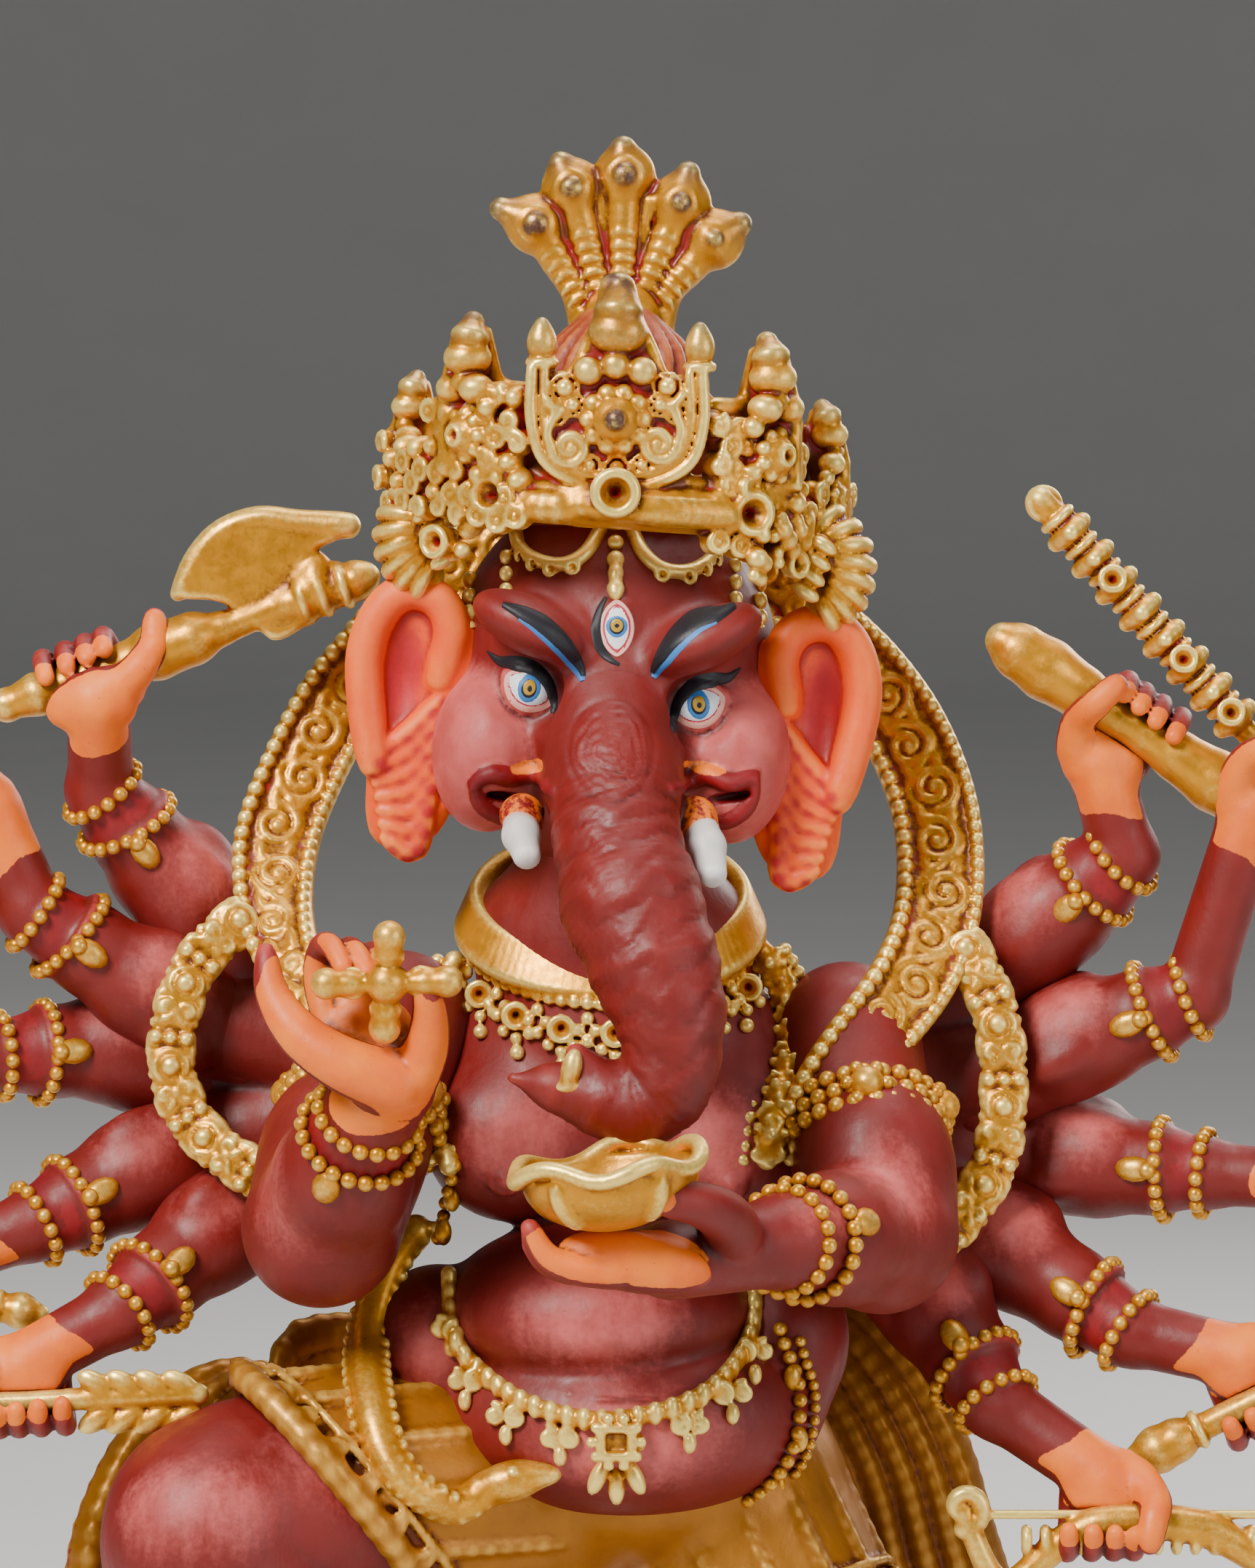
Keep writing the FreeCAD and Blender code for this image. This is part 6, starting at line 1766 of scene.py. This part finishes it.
def build_implements():
    def axe_head(c, grip, d):
        y = grip[1]
        outline = smooth_path([(-38.4, 170.2), (-36.9, 173.6), (-34.7, 176.0), (-31.2, 177.4), (-27.6, 176.9),
                               (-22.9, 176.3),
                               (-24.3, 175.0), (-26.6, 173.8), (-27.4, 171.8), (-26.2, 168.6), (-29.6,
                                       166.2), (-31.8, 167.9),
                               (-34.6, 169.6)], 0.8, closed=True)
        c.add(blade(outline, y, 1.0, 0.5), 0.5)
        rim = [(-38.2, y, 170.3), (-36.8, y, 173.4), (-34.5, y, 175.8), (-31.2, y, 176.9), (-27.6, y, 176.5),
               (-23.4, y, 176.2)]
        line = smooth_path(rim, 0.8)
        c.chain(line, np.linspace(0.7, 1.15, len(line)), 0.3)
        c.add(orb((-26.6, y, 170.8), (1.8, 1.9, 3.2), turn((0, 1, 0), 15)), 0.7)
        for s in (0.6, 2.2):
            c.add(orb(grip - d * (5.6 + s), 1.55), 0.3)
    turned_piece("axe_sculpt", "axe", [(-7.4, 1.3), (-5.0, 1.9), (-3.4, 1.6), (3.6, 1.8), (6.0, 2.5), (9.5,
            2.3), (12.0, 1.5),
                                       (15.5, 1.2), (18.5, 1.7), (21.0, 1.8), (24.6, 1.75), (25.4, 1.3)],
                 [(19.6, 1.7, 0.45), (21.4, 1.75, 0.5), (23.4, 1.75, 0.45)], axe_head, margin=9.0)
    turned_piece("pestle_sculpt", "pestle", [(-13.2, 1.6), (-11.6, 2.45), (-8.6, 2.75), (-5.0, 2.35), (-1.2,
            1.75), (1.8, 1.75),
                                             (5.0, 2.25), (9.0, 2.75), (12.0, 2.5), (13.6, 1.6)])

    def staff_knots(c, grip, d):
        side, cross = frame_of(d)[:, 0], frame_of(d)[:, 1]
        for s in np.arange(-14.5, 32.0, 3.1):
            at = grip + d * s
            if abs(s) < 4.5:
                continue
            c.add(orb(at, (1.95, 1.95, 1.25), frame_of(d)), 0.2)
            c.add(hoop(at + d * 1.55, d, 1.35, 0.42), 0.15)
            for w in (side, -side, cross, -cross):
                c.add(orb(at + w * 1.55, 0.72), 0.15)
        for s in (8.0, 14.2, 23.5):
            socket(c, grip + d * s + vec(0, -1.6, 0), vec(0, -1, 0.2), 1.25)
        c.add(hoop(grip + d * 32.2, (0.2, -1, 0.3), 1.2, 0.5), 0.2)
    turned_piece("skull_staff_sculpt", "skull_staff", [(-16.0, 1.0), (32.6, 1.15)], extra=staff_knots)

    def goad_hook(c, grip, d):
        top = grip + d * 18
        line = smooth_path([top - d * 4, top + vec(-2.6, 0, -1.6), top + vec(-5.0, 0, -3.4), top + vec(-5.6, 0,
                -6.6)], 0.6)
        c.chain(line, np.linspace(1.05, 0.45, len(line)), 0.3)
        c.chain([top - d * 1.0, top + d * 3.6], [1.5, 0.4], 0.3)
    turned_piece("goad_sculpt", "goad", [(-8, 1.5), (-6.5, 1.1), (0, 1.2), (12, 1.1), (18, 1.3)],
                 [(-6.0, 1.2, 0.4), (11.5, 1.2, 0.45), (13.0, 1.3, 0.5), (14.5, 1.2, 0.45)], goad_hook, margin=7.0)

    def sword_blade(c, grip, d):
        side = unit(np.cross(d, (0, 1, 0)))
        c.chain([grip + side * -3.8 + d * 4.6, grip + d * 4.2, grip + side * 3.8 + d * 4.6], [0.7, 1.2, 0.7], 0.4)
        spin = np.column_stack([side, vec(0, 1, 0), d])
        for s in np.arange(5.5, 33.0, 1.5):
            c.add(slab(grip + d * s, (2.1 + 0.15 * math.sin(s * 0.5), 0.65, 1.6), spin, 0.45), 0.3)
        c.chain([grip + d * 32.5, grip + d * 38.0], [1.9, 0.35], 0.5)
        c.chain([grip + d * 5.5, grip + d * 34.0], [0.75, 0.6], 0.3)
    turned_piece("sword_sculpt", "sword", [(-6.4, 1.7), (-4.8, 1.2), (4.5, 1.2)], [(-4.6, 1.2, 0.4)],
                 sword_blade, margin=6.0)

    def spear_point(c, grip, d):
        side = unit(np.cross(d, (0, 1, 0)))
        spin = np.column_stack([side, vec(0, 1, 0), d])
        for s, w in ((13.5, 1.5), (15.0, 2.2), (16.5, 2.4), (18.0, 2.1), (19.5, 1.6), (21.0, 1.1)):
            c.add(slab(grip + d * s, (w, 0.7, 1.1), spin, 0.45), 0.5)
        c.chain([grip + d * 12, grip + d * 24], [0.9, 0.3], 0.3)
    turned_piece("spear_sculpt", "spear", [(-8.6, 0.9), (-7.0, 1.6), (-5.4, 1.2), (12.0, 1.15)],
                 [(-5.0, 1.2, 0.4), (10.8, 1.2, 0.5), (12.2, 1.2, 0.5)], spear_point)

    def vanes(c, grip, d):
        y = grip[1]
        for x in (6.0, 8.4, 10.8, 13.2):
            for s in (-1, 1):
                c.add(orb((grip[0] + x + 0.4, y - 0.2, grip[2] + s * 1.5), (1.9, 0.75, 1.0), turn((0, 1, 0),
                        s * 32)), 0.25)
        c.chain([grip + d * -4, grip + d * -15.0], [0.9, 0.9], 0.3)
        c.chain([grip + d * 20, grip + d * 26], [2.0, 0.3], 0.5)
    turned_piece("arrow_sculpt", "arrow", [(-15.0, 0.9), (20.5, 0.9)], [(18.6, 1.1, 0.4)], vanes, margin=5.0)

    def banner(c, grip, d):
        c.chain([grip + d * 14.5, grip + d * 23.0], [1.9, 0.3], 0.4)
        for k in range(6):
            u = k / 5
            top = grip + d * (6.0 + 7.5 * u) + vec(0, 0.8 * math.sin(u * 6.5), -0.8)
            low = top + vec(1.0 - 1.5 * u, 0.9 * math.sin(u * 6.5 + 0.8), -6.5 - 1.2 * math.sin(u * 9))
            c.chain(smooth_path([top, (top + low) / 2 + vec(0.5, 0, 0), low], 1.0),
                    [0.95] * len(smooth_path([top, (top + low) / 2, low], 1.0)), 0.8)
    turned_piece("banner_lance_sculpt", "banner_lance", [(-11.8, 1.4), (-10.2, 2.05), (-8.2, 1.9), (-6.6, 1.2),
                                                         (14.0, 1.15)],
                 [(-6.2, 1.35, 0.45), (13.4, 1.3, 0.5)], banner, margin=9.0)

    def bow_stave(c, grip, d):
        up = vec(0, 0, 1)
        stave = smooth_path([grip + vec(-12.4, 0, 0.4), grip + vec(-9, 0, -5.4), grip + vec(-4, 0, -1.8), grip,
                             grip + vec(8, 0, -0.6), grip + vec(14, 0, -3.6), grip + vec(21, 0,
                                     -5.6), grip + vec(27.5, 0, 0.2)], 0.8)
        size = 1.15 + 0.35 * np.cos(np.linspace(-2.6, 2.6, len(stave)))
        c.chain(stave, size, 0.3)
        for end, s in ((grip + vec(-12.4, 0, 1.2), -1), (grip + vec(27.5, 0, 1.0), 1)):
            curl = spiral(end, 1.9, 1.2, -90, vec(1, 0, 0), up, -s, 18)
            c.chain(curl, np.linspace(0.85, 0.5, len(curl)), 0.2)
        for x in np.arange(-7, 24, 1.6):
            c.add(hoop(grip + vec(x, 0, -1.6), (1, 0, 0), 0.9, 0.45), 0.3)
        c.add(rod(grip + vec(-12.4, 0, 0.6), grip + vec(27.5, 0, 0.6), 0.42), 0.2)
    grip, d = shaft_line("bow")
    c = Clay(grip + vec(-17, -4, -9), grip + vec(32, 4, 6), 0.26)
    bow_stave(c, grip, d)
    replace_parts(c.piece("bow_sculpt", gold), "bow")
    build_vajra()
    build_cups()


def build_vajra():
    centre = vec(-18.6, -36.6, 140.8)
    c = Clay(centre - 7, centre + 7, 0.2)
    for d, reach in ((unit((1, 0, 0.02)), 4.9), (unit((0.06, -0.2, 1)), 3.9)):
        for s in (-1, 1):
            side = unit(np.cross(d, (0, 1, 0)))
            c.chain([centre, centre + d * s * 1.6], [1.25, 0.75], 0.3)
            c.chain([centre + d * s * 1.6, centre + d * s * reach * 0.62, centre + d * s * reach], [0.75, 1.0,
                    1.15], 0.4)
            c.add(orb(centre + d * s * reach, 1.3), 0.3)
            for w in (side, -side):
                prong = smooth_path([centre + d * s * 1.5, centre + d * s * reach * 0.55 + w * 0.95,
                                     centre + d * s * reach * 0.95 + w * 0.35], 0.4)
                c.chain(prong, [0.38] * len(prong), 0.15)
    c.add(orb(centre, 1.75), 0.3)
    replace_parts(c.piece("vajra_sculpt", gold), "vajra")


def build_cups():
    base = vec(-0.6, -38.4, 120.4)
    c = Clay(base + vec(-10, -10, -1.5), base + vec(10, 10, 9.5), 0.24)
    lean = turn((0, 1, 0), -7)
    middle = base + vec(0, 0, 5.4)
    c.add(orb(middle, (7.2, 6.6, 5.0), lean), 0.3)
    c.carve(slab(middle + lean @ vec(0, 0, 4.3), (12, 12, 4.0), lean, 0.1), 0.2)
    c.carve(orb(middle + lean @ vec(0, 0, 0.9), (6.2, 5.6, 4.6), lean), 0.3, (1.0, 0, 0))
    rim = []
    for a in np.linspace(0, 2 * math.pi, 73):
        wave = 0.55 * math.sin(5 * a + 0.6) + 0.25 * math.sin(2 * a)
        swing = 1.0 + 0.05 * math.sin(5 * a + 2.0) + (0.10 * max(0.0, -math.cos(a))**6)
        rim.append(middle + lean @ vec(7.2 * swing * math.cos(a), 6.6 * swing * math.sin(a), 0.5 + wave))
    c.chain(rim, [0.62] * len(rim), 0.35)
    for a in np.linspace(0.3, 2 * math.pi + 0.3, 6)[:-1]:
        seam = smooth_path([middle + lean @ vec(r * 7.2 * math.cos(a), r * 6.6 * math.sin(a), z)
                            for r, z in ((0.98, -0.4), (0.90, -2.0), (0.70, -3.5))], 0.7)
        c.chain(seam, [0.5] * len(seam), 0.8)
    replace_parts(c.piece("skull_cup_sculpt", gold), "skull_cup")
    base = vec(61.5, -1.0, 120.6)
    c = Clay(base + vec(-8, -8, -1), base + vec(8, 8, 11), 0.25)
    c.add(orb(base + vec(0, 0, 4.6), (5.4, 5.4, 4.6)), 0.3)
    c.carve(slab(base + vec(0, 0, 8.6), (9, 9, 3.6), UPRIGHT, 0.1), 0.2)
    c.add(hoop(base + vec(0, 0, 5.0), (0, 0, 1), 5.2, 0.55), 0.2)
    local = np.random.default_rng(3)
    for _ in range(26):
        a, r = local.uniform(0, 6.28), 4.0 * math.sqrt(local.uniform(0, 1))
        c.add(orb(base + vec(r * math.cos(a), r * math.sin(a), 5.2 + 2.2 * (1 - (r / 4.2)**2)), 1.0), 0.2)
    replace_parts(c.piece("offering_cup_sculpt", gold), "offering_cup")


# ------------------------------------------------------------------ throne and mouse
def build_anklets():
    k = Casting()
    for centre, axis in ((vec(10.2, -5.6, 47.0), unit(vec(0.45, -0.2, 1))), (vec(-16.6, -18.8, 67.0),
            unit(vec(-0.6, 0, 0.9)))):
        for shift, radius in ((-1.1, 4.75), (1.2, 5.0)):
            for p in circle(centre + axis * shift, axis, radius, 22):
                k.ball(p, 0.74, p - centre - axis * shift)
    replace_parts(k.piece("anklet_beads", gold), "anklets")


def build_throne():
    """A double lotus: upright petals over hanging ones, with beaded rims."""
    c = Clay((-36, -36, -0.6), (36, 36, 25.5), 0.55)
    steps = [(33.0, 0.0), (33.0, 3.0), (31.6, 4.4), (31.6, 9.0), (28.6, 12.2), (29.6, 15.5), (30.0, 19.5),
             (29.0, 21.5), (28.6, 24.0)]

    def body(x, y, z):
        r = np.sqrt(x**2 + y**2)
        edge = np.interp(np.clip(z, 0, 24), [s[1] for s in steps], [s[0] for s in steps])
        return np.maximum(np.maximum(r - edge, z - 23.9), -z)
    c.add((body, vec(-33.5, -33.5, 0), vec(33.5, 33.5, 24)), 0.2)
    for row, (count, z, r, tall, shift, sign) in enumerate(((16, 7.4, 30.9, 4.6, 0.0, -1), (16, 7.0, 30.0, 4.2,
            0.5, -1),
                                                            (16, 16.8, 29.6, 4.4, 0.5, 1), (16, 16.6, 28.8, 4.2,
                                                                    0.0, 1))):
        for k in range(count):
            a = (k + shift) / count * 2 * math.pi
            out = vec(math.cos(a), math.sin(a), 0)
            side = vec(-math.sin(a), math.cos(a), 0)
            spin = np.column_stack([side, out, vec(0, 0, 1)])
            at = out * r + vec(0, 0, z)
            c.add(orb(at, (5.4, 1.9, tall), spin), 0.35, (1.0, 0, 0) if row < 2 else (0, 0, 0))
            tip = at + vec(0, 0, sign * (tall - 0.6)) + out * 1.5
            c.add(orb(tip, (1.5, 1.4, 1.2), spin), 0.7)
            for s in (-1, 1):
                rib = smooth_path([at + side * s * 3.6 + out * 0.9 - vec(0, 0, sign * tall * 0.5),
                                   at + side * s * 3.2 + out * 1.7,
                                   at + side * s * 1.4 + out * 1.95 + vec(0, 0, sign * tall * 0.7)], 1.2)
                c.chain(rib, [0.42] * len(rib), 0.3, (0, 0, 0))

    def hollow(x, y, z):
        r = np.sqrt(x**2 + y**2)
        return np.minimum(np.maximum(r - 26.2, z - 3.1), np.maximum(r - 23.0, z - 18.6))
    c.carve((hollow, vec(-27, -27, -1), vec(27, 27, 19)), 0.1)
    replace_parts(c.piece("throne_sculpt", throne_paint), "throne")
    k = Casting()
    for r, z, size in ((29.2, 22.6, 0.95), (33.0, 1.9, 0.85), (29.3, 12.3, 0.8)):
        count = int(2 * math.pi * r / (size * 2.05))
        for p in circle(vec(0, 0, z), (0, 0, 1), r, count):
            k.ball(p, size, p - vec(0, 0, z))
    k.piece("throne_beads", gold)


def build_mouse():
    c = Clay((-22, -20, 23.5), (29, 8, 39), 0.36)
    c.add(orb((5, -4, 29.6), (14.6, 8.0, 6.6)), 1.0)
    c.add(orb((-7, -4, 28.9), (7.2, 7.6, 5.8)), 2.0)
    c.add(orb((19.0, -6.4, 28.8), (5.6, 4.8, 4.4), turn((0, 0, 1), -18)), 2.0)
    c.add(rod((20, -7, 28.6), (26.0, -8.8, 27.2), 3.2, 1.2), 1.2)
    for y in (-10.6, -3.4):
        ear = vec(16.4, y, 33.0)
        c.add(orb(ear, (0.9, 2.2, 2.4)), 0.4)
        c.carve(orb(ear + vec(1.0, 0, 0.1), (0.7, 1.5, 1.7)), 0.3, (0, 1.0, 0))
    for x, y in ((22.6, -10.6), (22.4, -4.4)):
        c.add(orb((x, y, 29.9), 0.75), 0.15, (0, 0, 1.0))
    c.add(orb((26.5, -8.9, 27.1), 0.85), 0.2, (0, 1.0, 0))
    for x, y in ((14, -10.5), (15, 1.5), (-6, -10.5), (-6, 2.5)):
        c.add(orb((x, y, 25.4), (3.2, 1.9, 1.5)), 0.8, (0, 0.7, 0))
        for k in (-1, 0, 1):
            c.add(rod((x + 1.8, y + k * 0.9, 25.1), (x + 3.8, y + k * 1.2, 24.9), 0.6, 0.45), 0.3, (0, 0.7, 0))
    tail = smooth_path([(-12.0, -3, 26.6), (-18, -6, 25.6), (-19, -12.5, 25.3), (-13, -16, 25.2)], 0.8)
    c.chain(tail, np.linspace(1.5, 0.8, len(tail)), 0.4, (0, 0.8, 0))
    for k in range(9):
        saddle = [vec(-3 + k * 2.1, -4 + 8.3 * math.sin(a),
                      29.6 + 6.9 * math.cos(a)) for a in np.linspace(-1.35, 1.35, 9)]
        if k in (0, 8):
            c.chain(saddle, [0.75] * 9, 0.3, (1.0, 0, 0))
    c.carve(slab((14, -7, 37.5), (15.5, 11.5, 2.2), UPRIGHT, 0.2), 0.5)
    c.carve(slab((5, -5, 20.0), (40, 30, 4.05), UPRIGHT, 0.05), 0.1)

    def fur(points, normals):
        streak = np.sin(points[:, 0] * 5.5 + 2.0 * np.sin(points[:, 1] * 2.3) + points[:, 2] * 3.1)
        return 0.06 * streak * (points[:, 2] > 24.6)
    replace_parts(c.piece("mouse_sculpt", fur_paint, fur), "mouse")


# ------------------------------------------------------------------ plain CAD parts, floor, light and camera
def dress_cad_parts():
    """The pins and the closing plate keep their CAD shapes."""
    steel = Paint("pin_steel")
    brushed = steel.noise(0.4, 4, 0.6, (1.0, 1.0, 0.05))
    pin = steel.finish(steel.mix(brushed, ink("#77787c"), ink("#a9aaae")), steel.ramp(brushed, 0.3, 0.7, 0.25, 0.45),
                       0.9, [(brushed, 0.3, 0.05)])
    plastic = Paint("plate_plastic")
    grain = plastic.noise(0.5, 4)
    plate = plastic.finish(plastic.mix(grain, ink("#2a0f0d"), ink("#3c1714")), plastic.ramp(grain, 0.3, 0.7,
            0.45, 0.6), 0.0,
                           [(grain, 0.5, 0.06)])
    for node, material in (("steel_pins", pin), ("closing_plate", plate)):
        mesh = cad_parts[node].data
        mesh.materials.clear()
        mesh.materials.append(material)


FLAT_FLOOR = 2.2         # radius of the level floor, m
FLOOR_CURVE = 0.8        # radius of its turned-up rim, m
WALL_TOP = 2.2           # m
FLOOR_SIDES = 72
CAMERA_DISTANCE = 0.5    # m
CAMERA_TILT = 5.0        # degrees down


def build_stage():
    """Pale floor, soft world light, four area lamps and the camera at the photograph's angle."""
    floor = Paint("floor_paint")
    cloud = floor.noise(60.0, 3)
    pale = floor.finish(floor.mix(cloud, ink("#c9c8c5"), ink("#cfcecb")), 0.8)
    mesh = bpy.data.meshes.new("floor")
    # a round floor that turns up into a low wall, so that it looks the same from every side
    rows = [(0.02, 0.0), (FLAT_FLOOR, 0.0)]
    rows += [(FLAT_FLOOR + FLOOR_CURVE * math.sin(a), FLOOR_CURVE - FLOOR_CURVE * math.cos(a)) for a in np.linspace(0.15, math.pi / 2, 10)]
    rows.append((FLAT_FLOOR + FLOOR_CURVE, WALL_TOP))
    sides = FLOOR_SIDES
    points = [(r * math.cos(a), r * math.sin(a), z) for r, z in rows for a in np.arange(sides) / sides * 2 * math.pi]
    faces = [(i * sides + j, i * sides + (j + 1) % sides, (i + 1) * sides + (j + 1) % sides, (i + 1) * sides + j)
             for i in range(len(rows) - 1) for j in range(sides)] + [tuple(range(sides))[::-1]]
    mesh.from_pydata(points, [], faces)
    mesh.polygons.foreach_set("use_smooth", np.ones(len(faces), bool))
    mesh.materials.append(pale)
    stage = bpy.data.objects.new("floor", mesh)
    bpy.context.scene.collection.objects.link(stage)
    world = bpy.data.worlds.new("soft_room")
    world.use_nodes = True
    world.node_tree.nodes["Background"].inputs[0].default_value = (0.62, 0.64, 0.68, 1)
    world.node_tree.nodes["Background"].inputs[1].default_value = 0.26
    bpy.context.scene.world = world
    target = Vector((0.0, -0.01, 0.145))
    for name, place, size, power, tone in (("key", (-0.34, -0.50, 0.62), 0.24, 10.5, (1.0, 0.97, 0.93)),
                                           ("fill", (0.55, -0.45, 0.30), 0.4, 2.2, (0.97, 0.98, 1.0)),
                                           ("top", (0.10, 0.12, 0.75), 0.4, 3.6, (1.0, 1.0, 1.0)),
                                           ("rim", (0.35, 0.50, 0.40), 0.35, 3.0, (1.0, 0.98, 0.95))):
        light = bpy.data.lights.new(name, "AREA")
        light.size, light.energy, light.color = size, power, tone
        lamp = bpy.data.objects.new(name, light)
        lamp.location = place
        lamp.rotation_euler = (target - Vector(place)).to_track_quat("-Z", "Y").to_euler()
        bpy.context.scene.collection.objects.link(lamp)
    camera = bpy.data.cameras.new("camera")
    camera.sensor_width, camera.lens = 36.0, 135.0
    camera.clip_start, camera.clip_end = 0.01, 20.0
    eye = bpy.data.objects.new("camera", camera)
    aim = Vector((0.0009, -0.012, 0.1548))
    tilt = math.radians(CAMERA_TILT)
    eye.location = aim + CAMERA_DISTANCE * Vector((0, -math.cos(tilt), math.sin(tilt)))
    eye.rotation_euler = (aim - eye.location).to_track_quat("-Z", "Y").to_euler()
    bpy.context.scene.collection.objects.link(eye)
    bpy.context.scene.camera = eye


gold_red = gold_paint("gold_red", red_at=-0.06, worn_tip="#5d4238")
cloth = painted_resin("cloth_paint", "#a86a14", ("#e2ae4c", "#8f560e"), "#521204", [(0, ("#a02418", "#7e1812"),
        True)],
                      rough=(0.34, 0.5), highlight_on_broad=0.3)
throne_paint = painted_resin("throne_paint", "#b0741a", ("#e6b552", "#94600f"), "#5a1606",
                             [(0, ("#a83222", "#8c2419"), True)], rough=(0.34, 0.5), highlight_on_broad=0.3)
hair_paint = painted_resin("hair_paint", "#8a3416", ("#c26a2c", "#752a12"), "#3a1008", [(0, ("#c08a34",
        "#a8742a"), True)])
fur_paint = painted_resin("fur_paint", "#6b5c52", ("#9a8a7c", "#5c4e46"), "#2c221d",
                          [(1, ("#c08a80", "#a8746c"), False), (0, ("#a82a1c", "#8c2016"), True), (2,
                                  ("#17120f", "#0d0a08"), True)])
cloth.node_tree.nodes["Principled BSDF"].inputs["Metallic"].default_value = 0.45
throne_paint.node_tree.nodes["Principled BSDF"].inputs["Metallic"].default_value = 0.4

build_stage()
dress_cad_parts()
torso_tree = build_torso()
head_clay, head_tree = build_head()
build_tusks()
build_ear(-1, "ear_right_sculpt")
build_ear(1, "ear_left_sculpt")
build_eyes(head_tree)
build_crown()
build_side_coils()
build_hood()
build_hair()
build_band("scarf_right_sculpt", SCARF_RIGHT, (6.6, 7.2, 7.2, 7.2, 6.2, 4.6, 3.0), "scarf_right")
build_band("scarf_left_sculpt", SCARF_LEFT, (6.8, 7.4, 7.4, 7.4, 7.2, 6.6, 5.0), "scarf_left", False)
build_band("scarf_arch_sculpt", SCARF_ARCH, (6.6, 6.8, 6.6), "scarf_arch", False)
build_shoulder_arcs()
build_arm_clusters()
for arm_name, places in REAR_ARMS.items():
    build_rear_arm(arm_name, *places)
build_vajra_arm()
build_cup_arm()
build_bracelets()
build_chest_ornaments(torso_tree)
skirt_tree = build_skirt()
build_belly_ornaments(torso_tree, skirt_tree)
build_legs()
build_drapes()
build_implements()
build_anklets()
build_throne()
build_mouse()
